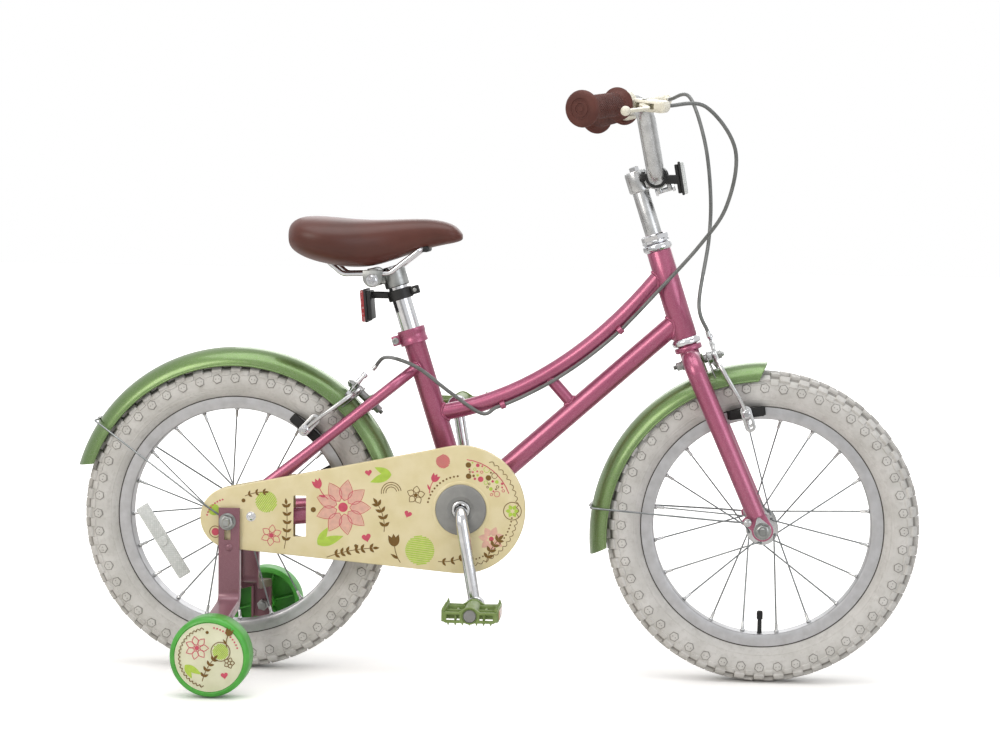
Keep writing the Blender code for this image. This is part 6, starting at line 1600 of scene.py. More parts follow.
def flatInk(name, colour):
    # Pad-printed ink: a thin even film, a little duller than the plastic under it.
    material, tree, shader, place = newMaterial(name, {"Roughness": 0.46, "Specular IOR Level": 0.4})
    low = "#" + "".join(format(int(int(colour[i:i + 2], 16) * 0.94), "02x") for i in (1, 3, 5))
    variedColour(tree, shader, place, low, colour, 6)
    return material


inks = {name: flatInk(name + "Ink", colour) for name, colour in inkColours.items()}
creamPlastic = mouldedPlastic("creamPrintedPlastic", "#e2d4a4", "#e9dcb2", 0.36, 1.0, 0.006, 0.5, 0.15)


def discMark(x, z, radius, steps=28):
    return [arcPoints((x, z), radius, 0, math.tau * (1 - 1 / steps), steps - 1)]


def strokeMark(points, width=0.9):
    # A line of even width through points.
    left, right = [], []
    for i, (x, z) in enumerate(points):
        before, after = points[max(i - 1, 0)], points[min(i + 1, len(points) - 1)]
        run = Vector((after[0] - before[0], after[1] - before[1])).normalized() * width / 2
        left.append((x - run.y, z + run.x))
        right.append((x + run.y, z - run.x))
    return [left + right[::-1]]


def arcMark(x, z, radius, start, end, width=0.9):
    steps = max(4, int(abs(end - start) / 8))
    return strokeMark(arcPoints((x, z), radius, math.radians(start), math.radians(end), steps), width)


def ringMark(x, z, radius, width=0.9):
    return arcMark(x, z, radius, 0, 180, width) + arcMark(x, z, radius, 180, 360, width)


def petalOutline(x, z, angle, length, width, steps=9):
    # A pointed oval from a foot point outwards.
    way = Vector((math.cos(angle), math.sin(angle)))
    sides = [[], []]
    for i in range(steps + 1):
        t = i / steps
        half = width / 2 * math.sin(math.pi * t ** 0.8)
        middle = Vector((x, z)) + way * length * t
        sides[0].append((middle.x - way.y * half, middle.y + way.x * half))
        sides[1].append((middle.x + way.y * half, middle.y - way.x * half))
    return sides[0] + sides[1][-2:0:-1]


def daisyMark(x, z, radius, petals, width, filled=True, start=0.0):
    # Petals round a centre, filled or drawn as lines.
    marks = []
    for i in range(petals):
        outline = petalOutline(*[c + radius * 0.24 * f(start + math.tau * i / petals)
                                 for c, f in ((x, math.cos), (z, math.sin))],
                               start + math.tau * i / petals, radius * 0.76, width)
        marks += [outline] if filled else strokeMark(outline + outline[:1], 0.8)
    return marks


def sprigMark(x, z, angle, length, leaves, size, bend=0.5):
    # A bent stem with pairs of leaves and one at its tip.
    angle = math.radians(angle)
    points = []
    for i in range(17):
        points.append((x, z))
        turn = angle + bend * (i / 16 - 0.5)
        x, z = x + length / 16 * math.cos(turn), z + length / 16 * math.sin(turn)
    marks = strokeMark(points, 0.9)
    for i in range(leaves):
        at = 3 + int(12 * i / max(1, leaves - 1))
        heading = math.atan2(points[at][1] - points[at - 1][1], points[at][0] - points[at - 1][0])
        for side in (-1, 1):
            marks.append(petalOutline(*points[at], heading + side * 0.85, size, size * 0.46))
    marks.append(petalOutline(*points[-1], angle + bend / 2, size * 1.1, size * 0.46))
    return marks


def stripedMark(x, z, radius, pitch, angle):
    # A disc made of slanted stripes.
    marks = []
    tilt = math.radians(angle)
    along, over = Vector((math.cos(tilt), math.sin(tilt))), Vector((-math.sin(tilt), math.cos(tilt)))
    row = -radius + pitch / 2
    while row < radius:
        reach = math.sqrt(radius * radius - row * row)
        middle = Vector((x, z)) + over * row
        marks += strokeMark([tuple(middle - along * reach), tuple(middle + along * reach)], pitch * 0.72)
        row += pitch
    return marks


def heartMark(x, z, size, angle=0.0):
    turn = math.radians(angle)
    outline = []
    for i in range(28):
        t = math.tau * i / 28
        a = 16 * math.sin(t) ** 3 * size / 32
        b = (13 * math.cos(t) - 5 * math.cos(2 * t) - 2 * math.cos(3 * t) - math.cos(4 * t)) * size / 32
        outline.append((x + a * math.cos(turn) - b * math.sin(turn),
                        z + a * math.sin(turn) + b * math.cos(turn)))
    return [outline]


def tulipMark(x, z, size, angle):
    turn = math.radians(angle)
    marks = [petalOutline(x, z, turn + side * 0.42, size, size * 0.44) for side in (-1, 0, 1)]
    stem = [(x - size * 1.3 * t * math.cos(turn + 0.25 * t), z - size * 1.3 * t * math.sin(turn + 0.25 * t))
            for t in (0, 0.25, 0.5, 0.75, 1.0)]
    return marks + strokeMark(stem, 1.0) + [petalOutline(*stem[3], turn + 0.9, size * 0.7, size * 0.22)]


def beadMark(x, z, radius, start, end, count, size):
    marks = []
    for i in range(count):
        a = math.radians(start + (end - start) * i / (count - 1))
        marks += discMark(x + radius * math.cos(a), z + radius * math.sin(a), size, 12)
    return marks


def waveMark(x, z, radius, start, end, waves, depth, width=0.8):
    points = []
    for i in range(waves * 8 + 1):
        a = math.radians(start + (end - start) * i / (waves * 8))
        r = radius + depth * abs(math.sin(math.pi * i / 8))
        points.append((x + r * math.cos(a), z + r * math.sin(a)))
    return strokeMark(points, width)


def printPiece(name, marks, ink, origin, face, layer, body):
    # Thin films of one ink on a face that looks towards -Y. origin is where the marks' (0, 0) lies.
    film = bmesh.new()
    for number, outline in enumerate(marks):
        low, high = face - (layer * 0.06 + number % 9 * 0.005) * mm, face + (0.4 + number % 9 * 0.01) * mm
        rings = [[film.verts.new((origin.x + x * mm, y, origin.z + z * mm)) for x, z in outline]
                 for y in (low, high)]
        film.faces.new(rings[0])
        film.faces.new(rings[1])
        bridge(film, *rings)
    bmesh.ops.recalc_face_normals(film, faces=film.faces)
    return makePiece(name, film, inks[ink], body)


# Drive

chainLook = {"pitch": 12.7 * mm, "across": 46.5 * mm, "ringTeeth": 28, "sprocketTeeth": 14, "links": 70}
crankLook = {"length": 124 * mm, "tilt": math.radians(10), "radius": 8.3 * mm, "bend": 20 * mm}
chainAcross = chainLook["across"]


def pitchRadius(teeth):
    return chainLook["pitch"] / (2 * math.sin(math.pi / teeth))


ringPitchRadius = pitchRadius(chainLook["ringTeeth"])
sprocketPitchRadius = pitchRadius(chainLook["sprocketTeeth"])


def beltLine(rear, rearReach, front, frontReach, steps=48):
    span = Vector((front[0] - rear[0], front[1] - rear[1]))
    heading = math.atan2(span.y, span.x)
    lean = math.acos((rearReach - frontReach) / span.length)
    back = arcPoints(rear, rearReach, heading + lean, heading - lean + math.tau, steps)
    return back + arcPoints(front, frontReach, heading - lean, heading + lean, steps)


def wheelCentres():
    return (rearAxle.x, rearAxle.z), (crankCentre.x, crankCentre.z)


def linkPlate(low, high, half):
    # A waisted link plate, with its long way along X.
    outline = []
    for x, start in ((half, -62), (-half, 118)):
        outline += arcPoints((x, 0), 4.0 * mm, math.radians(start), math.radians(start + 124), 8)
    return plateShape(outline, low, high, 0.25 * mm, 1)


def makeChain():
    rear, front = wheelCentres()
    line = beltLine(rear, sprocketPitchRadius, front, ringPitchRadius)
    half = 6.3 * mm
    outer, inner = [], []
    for side in (-1, 1):
        outer.append(linkPlate(*sorted((side * 2.5 * mm, side * 3.4 * mm)), half))
        inner.append(linkPlate(*sorted((side * 1.5 * mm, side * 2.4 * mm)), half))
        pin = Vector((side * half, 0, 0))
        outer.append(rodShape(pin - acrossY * 3.9 * mm, pin + acrossY * 3.9 * mm, 1.8 * mm, 14, 0.2 * mm))
        inner.append(rodShape(pin - acrossY * 1.5 * mm, pin + acrossY * 1.5 * mm, 3.7 * mm, 18, 0.2 * mm))
    path = pathObject("chainLine", [(x, -chainAcross, z) for x, z in line])
    run = {"Path": path, "First": helperObject("outerLink", joinedShape(*outer)),
           "Second": helperObject("innerLink", joinedShape(*inner)), "Count": chainLook["links"]}
    grownPiece("chainLinks", linksAlong, [run], chainSteel, "frame", "chain")


def toothedOutline(centre, teeth, radius):
    outline = []
    for i in range(teeth):
        middle = math.tau * i / teeth
        for share, reach in ((-0.5, -3.9), (-0.34, -3.2), (-0.2, -0.6), (-0.08, 3.4),
                             (0.08, 3.4), (0.2, -0.6), (0.34, -3.2)):
            a = middle + share * math.tau / teeth
            r = radius + reach * mm
            outline.append((centre.x + r * math.cos(a), centre.z + r * math.sin(a)))
    return outline


def makeChainwheel():
    disc = plateShape(toothedOutline(crankCentre, chainLook["ringTeeth"], ringPitchRadius),
                      -chainAcross - 1.1 * mm, -chainAcross + 1.1 * mm, 0.4 * mm, 1)
    cuts = [rodShape(crankCentre - acrossY * 30 * mm, crankCentre - acrossY * 60 * mm, 8.8 * mm)]
    for i in range(5):
        a = math.tau * i / 5
        middle = crankCentre + Vector((math.cos(a), 0, math.sin(a))) * 34 * mm
        cuts.append(rodShape(middle - acrossY * 30 * mm, middle - acrossY * 60 * mm, 13 * mm, 40))
    makePiece("chainwheelPlate", carvedShape(disc, *cuts), zincSteel, "crankset", "chainring")
    toothed = plateShape(toothedOutline(rearAxle, chainLook["sprocketTeeth"], sprocketPitchRadius),
                         -chainAcross - 1.1 * mm, -chainAcross + 1.1 * mm, 0.4 * mm, 1)
    body = turnedShape(inMm([(5.6, 37), (19.4, 37), (20, 37.6), (20, 45), (18.2, 48.6), (17.6, 49.5),
                             (15.0, 49.5), (14.6, 48.7), (10.4, 48.7), (10, 49.5), (5.6, 49.5)]),
                       rearAxle, -acrossY, 64)
    makePiece("freewheel", joinedShape(toothed, body), chainSteel, "sprocket", "rear_sprocket")


def crankWay(side):
    tilt = crankLook["tilt"]
    down = Vector((math.sin(tilt), 0, -math.cos(tilt)))
    return down if side < 0 else -down


def pedalCentre(side):
    return crankCentre + crankWay(side) * crankLook["length"]


def makeCrank():
    ends = []
    for side in (-1, 1):
        ends.append(pedalCentre(side) + acrossY * side * 90 * mm)
    path = roundedPath([ends[0], crankCentre - acrossY * 84 * mm, crankCentre + acrossY * 84 * mm, ends[1]],
                       crankLook["bend"])
    length = [0.0]
    for a, b in zip(path, path[1:]):
        length.append(length[-1] + (b - a).length)
    size = []
    for reach in length:
        end = min(reach, length[-1] - reach)
        size.append((0.90 + 0.10 * min(1.0, end / (70 * mm)),) * 2)
    bar = sweptShape(path, ovalSection(crankLook["radius"], crankLook["radius"], 44), size=size)
    shapes = [bar]
    for side in (-1, 1):
        eye, out = pedalCentre(side), acrossY * side
        shapes.append(turnedShape(inMm([(0, 83), (11.6, 83), (12.5, 84.0), (12.5, 96.0),
                                        (11.6, 97), (0, 97)]),
                                  eye, out, 56))
        shapes.append(turnedShape(inMm([(0, 96), (8.2, 96), (8.2, 99), (7.0, 99.6),
                                        (7.0, 102.7), (4.5, 102.7), (4.5, 167), (0, 167)]), eye, out, 40))
    makePiece("crankBar", joinedShape(*shapes), chromePlate, "crankset", "crank")
    disc = turnedShape(inMm([(12.6, 72.6), (32.4, 72.6), (33, 73.2), (33, 74.2), (32.2, 75.2), (30.8, 75.7),
                             (20, 76.0), (17.6, 76.1), (16.2, 75.2), (14.6, 73.9), (12.6, 73.6)]),
                       crankCentre, -acrossY, 96)
    makePiece("crankDiscCover", disc, greyPlastic, "crankset", "crank_disc")
    collar = turnedShape(inMm([(8.4, 72), (12.2, 72), (12.4, 73.4), (11.6, 75.6), (10.2, 76.4), (8.4, 76.4)]),
                         crankCentre, -acrossY, 64)
    makePiece("crankCollar", collar, silverAlloy, "crankset")


def tooth(x, y, z, up, width=2.6):
    # A pointed grip tooth on the edge of a pedal's cage.
    spike = bmesh.new()
    base = [(-width / 2, -1.5), (width / 2, -1.5), (width / 2, 1.5), (-width / 2, 1.5)]
    low = [spike.verts.new(((x + a) * mm, (y + b) * mm, z * mm)) for a, b in base]
    high = [spike.verts.new(((x + a * 0.25) * mm, (y + b * 0.6) * mm, (z + up) * mm)) for a, b in base]
    spike.faces.new(low)
    spike.faces.new(high)
    bridge(spike, low, high)
    return closedShape(spike)


def makePedal(side, word):
    # A moulded cage: a barrel, two end plates, two toothed rails and cross ribs.
    body = "pedal_" + word + "_body"
    middle = 137 * mm
    shapes = [ringShape(Vector((0, 103.4 * mm, 0)), Vector((0, 170.6 * mm, 0)), 10.4 * mm,
                        8.6 * mm, 48, 0.5 * mm),
              ringShape(Vector((0, 104 * mm, 0)), Vector((0, 128 * mm, 0)), 9 * mm, 5.0 * mm, 40, 0.4 * mm)]
    for y in (105.6, 168.4):
        plate = arcPoints((0, 0), 11.6 * mm, math.radians(60), math.radians(120), 8)
        plate = [*plate, (-14 * mm, 5 * mm), (-35 * mm, 5.5 * mm), (-35.6 * mm, -6 * mm),
                 (-30 * mm, -8.8 * mm),
                 (30 * mm, -8.8 * mm), (35.6 * mm, -6 * mm), (35 * mm, 5.5 * mm), (14 * mm, 5 * mm)]
        cutters = [rodShape(Vector((0, y * mm - 5 * mm, 0)), Vector((0, y * mm + 5 * mm, 0)), 9.4 * mm, 40)]
        for x in (-1, 1):
            cutters.append(blockShape((x * 21 * mm, y * mm, -1.6 * mm),
                                      (17 * mm, 10 * mm, 7.6 * mm), None, 0))
        solid = plateShape(plate[::-1], (y - 2.2) * mm, (y + 2.2) * mm, 0.5 * mm, 1)
        shapes.append(carvedShape(solid, *cutters))
        shapes += [tooth(-27 + 9 * i, y, -8.8, -3.0) for i in range(7)]
    for x in (-1, 1):
        shapes.append(blockShape((x * 33.6 * mm, middle, 0), (4.6 * mm, 64 * mm, 15 * mm), None, 0.9 * mm))
        for i in range(7):
            shapes.append(tooth(x * 33.2, 110 + 9 * i, 7.3, 3.8))
        shapes.append(tooth(x * 33.2, 105.6, 6.2, 5.6, 4.2))
        shapes.append(tooth(x * 33.2, 168.4, 6.2, 5.6, 4.2))
        shapes.append(blockShape((x * 35.2 * mm, middle, 0), (2.2 * mm, 50 * mm, 16 * mm), None, 0.7 * mm))
        shapes.append(blockShape((x * 18 * mm, middle, -1 * mm), (3 * mm, 62 * mm, 9 * mm), None, 0.7 * mm))
        for y in (121, 153):
            shapes.append(blockShape((x * 21.5 * mm, y * mm, 0),
                                     (23 * mm, 3.2 * mm, 12 * mm), None, 0.7 * mm))
    cage = mirroredShape(joinedShape(*shapes), side)
    bmesh.ops.translate(cage, vec=pedalCentre(side), verts=cage.verts)
    makePiece(word + "PedalCage", cage, olivePlastic, body, "pedal_" + word)
    lenses = [blockShape((x * 36.0 * mm, middle, 0), (1.8 * mm, 44 * mm, 11 * mm), None, 0.5 * mm)
              for x in (-1, 1)]
    lens = mirroredShape(joinedShape(*lenses), side)
    bmesh.ops.translate(lens, vec=pedalCentre(side), verts=lens.verts)
    makePiece(word + "PedalReflectors", lens, amberLens, body)
    cap = turnedShape(inMm([(0, 163), (8.4, 163), (8.5, 168.6), (7.8, 169.6), (6.4, 170.1), (0, 170.4)]),
                      pedalCentre(side), acrossY * side, 48)
    makePiece(word + "PedalCap", cap, greyPlastic, body)


def makeChainGuard():
    rear, front = (rearAxle.x + 3 * mm, rearAxle.z + 4 * mm), (crankCentre.x, crankCentre.z)
    face, back = -72 * mm, -62 * mm
    shell = plateShape(beltLine(rear, 40.2 * mm, front, 83.5 * mm, 72), face, back, 1.6 * mm, 5)
    hollow = plateShape(beltLine(rear, 38.4 * mm, front, 81.7 * mm, 72), -70 * mm, -50 * mm, 0)
    trim = blockShape((0, -56 * mm, 0.2), (1.2, 12.2 * mm, 0.8), None, 0)
    window = blockShape(fromRearAxle(94 * mm, -70 * mm, 213 * mm), (16.7 * mm, 30 * mm, 53.6 * mm), None, 0)
    hole = rodShape(crankCentre - acrossY * 50 * mm, crankCentre - acrossY * 100 * mm, 26 * mm, 96)
    axle = rodShape(rearAxle - acrossY * 50 * mm, rearAxle - acrossY * 100 * mm, 5.3 * mm, 32)
    solid = carvedShape(shell, hollow, trim, window, hole, axle)
    rim = turnedShape(inMm([(26.0, 70.2), (26.0, 72.4), (27.2, 73.0), (36.4, 73.0),
                            (37.6, 72.4), (37.6, 70.2)]),
                      crankCentre, -acrossY, 96)
    rim = carvedShape(rim, rodShape(crankCentre - acrossY * 72.45 * mm,
                                    crankCentre - acrossY * 80 * mm, 33.4 * mm, 96))
    bosses = []
    for x, z, reach in ((30, 211, 59.3), (222, 221.5, 45.5)):
        bosses.append(rodShape(fromRearAxle(x * mm, -71 * mm, z * mm),
                               fromRearAxle(x * mm, -reach * mm, z * mm),
                               5.5 * mm, 32))
    makePiece("chainGuardShell", joinedShape(solid, rim, *bosses), creamPlastic, "frame",
              "chain_guard", 30)
    place = fromRearAxle(30 * mm, -71.8 * mm, 211 * mm)
    screw = turnedShape(inMm([(0, 0), (4.9, 0), (5.0, 0.5), (4.4, 1.5), (2.6, 2.2), (0, 2.3)]),
                        place, -acrossY, 40)
    socket = hexShape(place - acrossY * 1.2 * mm, place - acrossY * 4 * mm, 1.9 * mm, 0)
    washer = ringShape(place, place - acrossY * 0.7 * mm, 6.4 * mm, 3 * mm, 40, 0.2 * mm)
    makePiece("chainGuardScrew", joinedShape(carvedShape(screw, socket), washer), chromePlate, "frame")
    sheet = plateShape(beltLine(rear, 39.2 * mm, front, 82.5 * mm, 72), -41.5 * mm, -40 * mm, 0.3 * mm, 1)
    past = blockShape(fromRearAxle(283.65 * mm, -41 * mm, 200 * mm), (400 * mm, 20 * mm, 400 * mm), None, 0)
    bore = rodShape(rearAxle - acrossY * 100 * mm, rearAxle, 24 * mm, 64)
    start, end = [acrossAt(point) for point in chainStayLine()]
    seat = start.lerp(end, (rearAxle.x + 66 * mm - start.x) / (end.x - start.x))
    stud = rodShape(seat + acrossY * 6 * mm, Vector((seat.x + 1 * mm, -40.8 * mm, seat.z)), 3.5 * mm, 24)
    makePiece("chainGuardBack", joinedShape(carvedShape(sheet, past, bore), stud), creamPlastic, "frame",
              "chain_guard_inner")


def printChainGuard():
    # A loose garden of daisies, sprigs, tulips, hearts and berries, in millimetres from the rear axle's foot.
    draw = random.Random(11)
    crankX, crankZ = 305, 226.2
    blush = daisyMark(151, 226, 35, 9, 16) + daisyMark(345, 189, 17, 7, 9, True, 0.3)
    lime = stripedMark(50, 231, 14, 2.3, 55) + stripedMark(252, 172, 19, 2.4, 8) + discMark(-19, 219, 7.5)
    lime += [petalOutline(118, 176, 0.35, 36, 12), petalOutline(118, 176, 1.05, 27, 10)]
    lime += [petalOutline(214, 270, 3.5, 30, 11), petalOutline(214, 270, 2.75, 24, 9)]
    lime += daisyMark(372, 226, 9, 6, 5)
    rose = discMark(151, 226, 6.2) + daisyMark(151, 226, 36.5, 9, 17, False)
    rose += daisyMark(57, 187, 14, 6, 8, False, 0.4) + discMark(57, 187, 3.0)
    rose += heartMark(182, 187, 12, 15) + heartMark(236, 219, 10, -20) + heartMark(184, 272, 9, 10)
    rose += tulipMark(120, 250, 14, 115) + beadMark(0, 204.5, 29, 105, 165, 9, 1.2)
    rose += arcMark(crankX, crankZ, 66, 20, 84, 1.1) + discMark(345, 189, 3.2) + discMark(-17, 190, 5)
    rose += tulipMark(268, 262, 12, 60) + stripedMark(281, 289, 9, 1.9, 30)
    umber = sprigMark(74, 170, 88, 58, 5, 8, 0.3) + sprigMark(130, 160, 12, 62, 6, 8, -0.3)
    umber += sprigMark(205, 195, 105, 38, 4, 9, 0.7) + tulipMark(219, 176, 17, 96)
    umber += arcMark(214, 247, 7, 10, 190) + arcMark(214, 247, 10, 10, 190) + arcMark(214, 247, 13, 10, 190)
    umber += daisyMark(246, 244, 12, 5, 8, False, 0.2) + discMark(246, 244, 2.4) + discMark(112, 222, 3.4)
    umber += ringMark(-17, 190, 7.5) + beadMark(crankX, crankZ, 44, 96, 168, 12, 1.3)
    umber += waveMark(crankX, crankZ, 72, -78, 60, 22, 3.2) + beadMark(crankX, crankZ, 67, -76, -8, 18, 1.1)
    umber += sprigMark(339, 158, 62, 34, 4, 9, -0.6) + ringMark(372, 226,
                                                                11.5) + sprigMark(276, 158, 10, 30, 3, 7)
    umber += sprigMark(22, 238, 12, 26, 3, 6, -0.4) + discMark(20, 232, 2.6) + discMark(168, 176, 2)
    placed = []
    for i in range(400):
        a, r = math.radians(draw.uniform(24, 82)), draw.uniform(44, 64)
        size = draw.choice((1.2, 1.6, 2.4, 3.6))
        spot = Vector((crankX + r * math.cos(a), crankZ + r * math.sin(a)))
        if len(placed) < 46 and all((spot - other).length > size + gap + 0.9 for other, gap in placed):
            placed.append((spot, size))
            group = draw.choice((rose, rose, lime, umber))
            group += discMark(*spot, size, 18) if draw.random() < 0.7 else ringMark(*spot, size, 0.7)
    origin = Vector((rearAxle.x, 0, 0))
    for layer, (ink, marks) in enumerate((("blush", blush), ("lime", lime), ("rose", rose), ("umber", umber)),
                                         1):
        printPiece("guardPrint" + ink.capitalize(), marks, ink, origin, -72 * mm, layer,
                   "frame")


makeChain()
makeChainwheel()
makeCrank()
for pedalSide, pedalWord in ((1, "left"), (-1, "right")):
    makePedal(pedalSide, pedalWord)
makeChainGuard()
printChainGuard()
print("drive ready")


# Mudguards, brakes and stabilisers

mudguardLook = {"half": 31 * mm, "depth": 22.5 * mm, "sheet": 1.2 * mm}
guardHalf, guardDeep, guardSheet = mudguardLook.values()


def mudguardSection():
    # A rounded channel with its two edges rolled over.
    turns = [math.radians(-90 + 180 * i / 30) for i in range(31)]
    outer = [(guardHalf * math.sin(a), -guardDeep * (1 - math.cos(a))) for a in turns]
    inside = guardHalf - guardSheet
    inner = [(inside * math.sin(a), -guardDeep * (1 - math.cos(a)) - guardSheet * math.cos(a)) for a in turns]
    return outer + inner[::-1]


def makeMudguardShell(centre, radius, first, last, firstCut, lastCut):
    # firstCut and lastCut are how far the two side edges stop short of the crown at each end.
    steps = 120

    def place(share, across, drop):
        low = first + firstCut / radius * drop / guardDeep
        high = last - lastCut / radius * drop / guardDeep
        a = low + (high - low) * share
        return centre + Vector((math.cos(a), 0, math.sin(a))) * (radius - drop) + acrossY * across

    section = mudguardSection()
    shell = bmesh.new()
    rings = [[shell.verts.new(place(i / steps, across, -depth)) for across, depth in section]
             for i in range(steps + 1)]
    for low, high in zip(rings, rings[1:]):
        for k in range(len(section)):
            shell.faces.new((low[k], low[k - 1], high[k - 1], high[k]))
    shell.faces.new(rings[0])
    shell.faces.new(rings[-1])
    bmesh.ops.recalc_face_normals(shell, faces=shell.faces)
    shapes = [shell]
    for side in (-1, 1):
        rolled = [place(i / steps, side * (guardHalf - 0.5 * mm), guardDeep) for i in range(steps + 1)]
        shapes.append(tubeShape(rolled, 1.3 * mm, 14))
    for end in (0, 1):
        turns = [math.radians(-90 + 180 * i / 24) for i in range(25)]
        lip = [place(end, (guardHalf - 0.6 * mm) * math.sin(a),
                     guardDeep * (1 - math.cos(a)) + guardSheet * 0.5 * math.cos(a)) for a in turns]
        shapes.append(tubeShape(lip, 0.9 * mm, 12))
    return shapes


def strapShape(bolt, up, way, reach):
    turn = Matrix((way, acrossY, up)).transposed()
    strap = blockShape(bolt + up * (8 * mm - reach) / 2, (1.6 * mm, 16 * mm, reach + 8 * mm), turn, 0.6 * mm)
    return carvedShape(strap, rodShape(bolt - way * 8 * mm, bolt + way * 8 * mm, 3.2 * mm))


def stayWire(foot, footAcross, edge):
    high = Vector((edge.x, guardHalf + 4 * mm, edge.z))
    low = Vector((foot.x, footAcross, foot.z))
    bend = foot + (edge - foot).normalized() * 35 * mm
    left = [low, Vector((bend.x, footAcross, bend.z)), high]
    points = left + [acrossAt(p) for p in left[::-1]]
    return tubeShape(roundedPath(points, 5 * mm, math.radians(10)), 1.2 * mm, 14)


def fenderClip(edge, out, back):
    # The small clip that holds the wire on the crown of the mudguard, with its screw.
    turn = Matrix((out, acrossY, back)).transposed()
    return joinedShape(blockShape(edge, (3.4 * mm, 11 * mm, 8 * mm), turn, 1.0 * mm, 3),
                       rodShape(edge, edge + out * 3.4 * mm, 2.6 * mm, 24))


def makeMudguards():
    rear = makeMudguardShell(rearAxle, 223.5 * mm, math.radians(14), math.radians(163.6), 0, 12 * mm)
    pivot, up, way = calliperPlace("rear")
    rear.append(strapShape(pivot - way * 12.9 * mm, up, way, 11.2 * mm))
    makePiece("rearMudguardShell", joinedShape(*rear), limeLacquer, "frame",
              "rear_mudguard", 50)
    angle = math.radians(146.2)
    out = Vector((math.cos(angle), 0, math.sin(angle)))
    back = out.cross(acrossY)
    edge = rearAxle + out * (223.5 + 0.8) * mm
    eyeAcross = 73.5 * mm
    shapes = [stayWire(rearAxle + out * 7.5 * mm, eyeAcross, edge)]
    for side in (-1, 1):
        centre = rearAxle + acrossY * side * eyeAcross
        shapes.append(ringShape(centre - acrossY * 1.1 * mm, centre + acrossY * 1.1 * mm,
                                9 * mm, 5.6 * mm, 40))
    makePiece("rearMudguardWire", joinedShape(*shapes), spokeSteel, "frame", "rear_mudguard_stay")
    makePiece("rearMudguardClip", fenderClip(edge, out, back), silverAlloy, "frame")
    centre = frontAxle + Vector((5 * mm, 0, -15 * mm))
    front = makeMudguardShell(centre, 231 * mm, math.radians(90.5), math.radians(186.5), 13 * mm, 10 * mm)
    front.append(strapShape(onHead(232 * mm, 14 * mm), steerUp, steerFore, 16.2 * mm))
    makePiece("frontMudguardShell", joinedShape(*front), limeLacquer, "steering",
              "front_mudguard", 50)
    angle = math.radians(170.6)
    out = Vector((math.cos(angle), 0, math.sin(angle)))
    edge = centre + out * (231 + 0.8) * mm
    wire = stayWire(frontAxle + Vector((-19.7 * mm, 0, 11.5 * mm)), 59.7 * mm, edge)
    feet = []
    for side in (-1, 1):
        foot = frontAxle + Vector((-19.7 * mm, side * 59.7 * mm, 11.5 * mm))
        feet.append(ringShape(foot - acrossY * side * 7.2 * mm, foot + acrossY * side * 1.0 * mm,
                              3.6 * mm, 1.3 * mm, 32))
    makePiece("frontMudguardWire", joinedShape(wire, *feet), spokeSteel, "steering",
              "front_mudguard_stay")
    makePiece("frontMudguardClip", fenderClip(edge, out, out.cross(acrossY)), silverAlloy,
              "steering")


outerArm = [(-32, 17), (-14, 11), (0, 2), (20, -1), (35, -11), (40.5, -32), (37.5, -60), (30, -82)]
innerArm = [(-3, 0.5), (20, -3), *outerArm[4:]]


def eyeOutline(centre, up, fore, half, radius):
    # A long round-ended outline in the plane of two directions.
    points = []
    for i in range(40):
        a = math.tau * (i + 0.5) / 40
        end = half if math.cos(a) > 0 else -half
        points.append(centre + up * (end + radius * math.cos(a)) + fore * radius * math.sin(a))
    return points


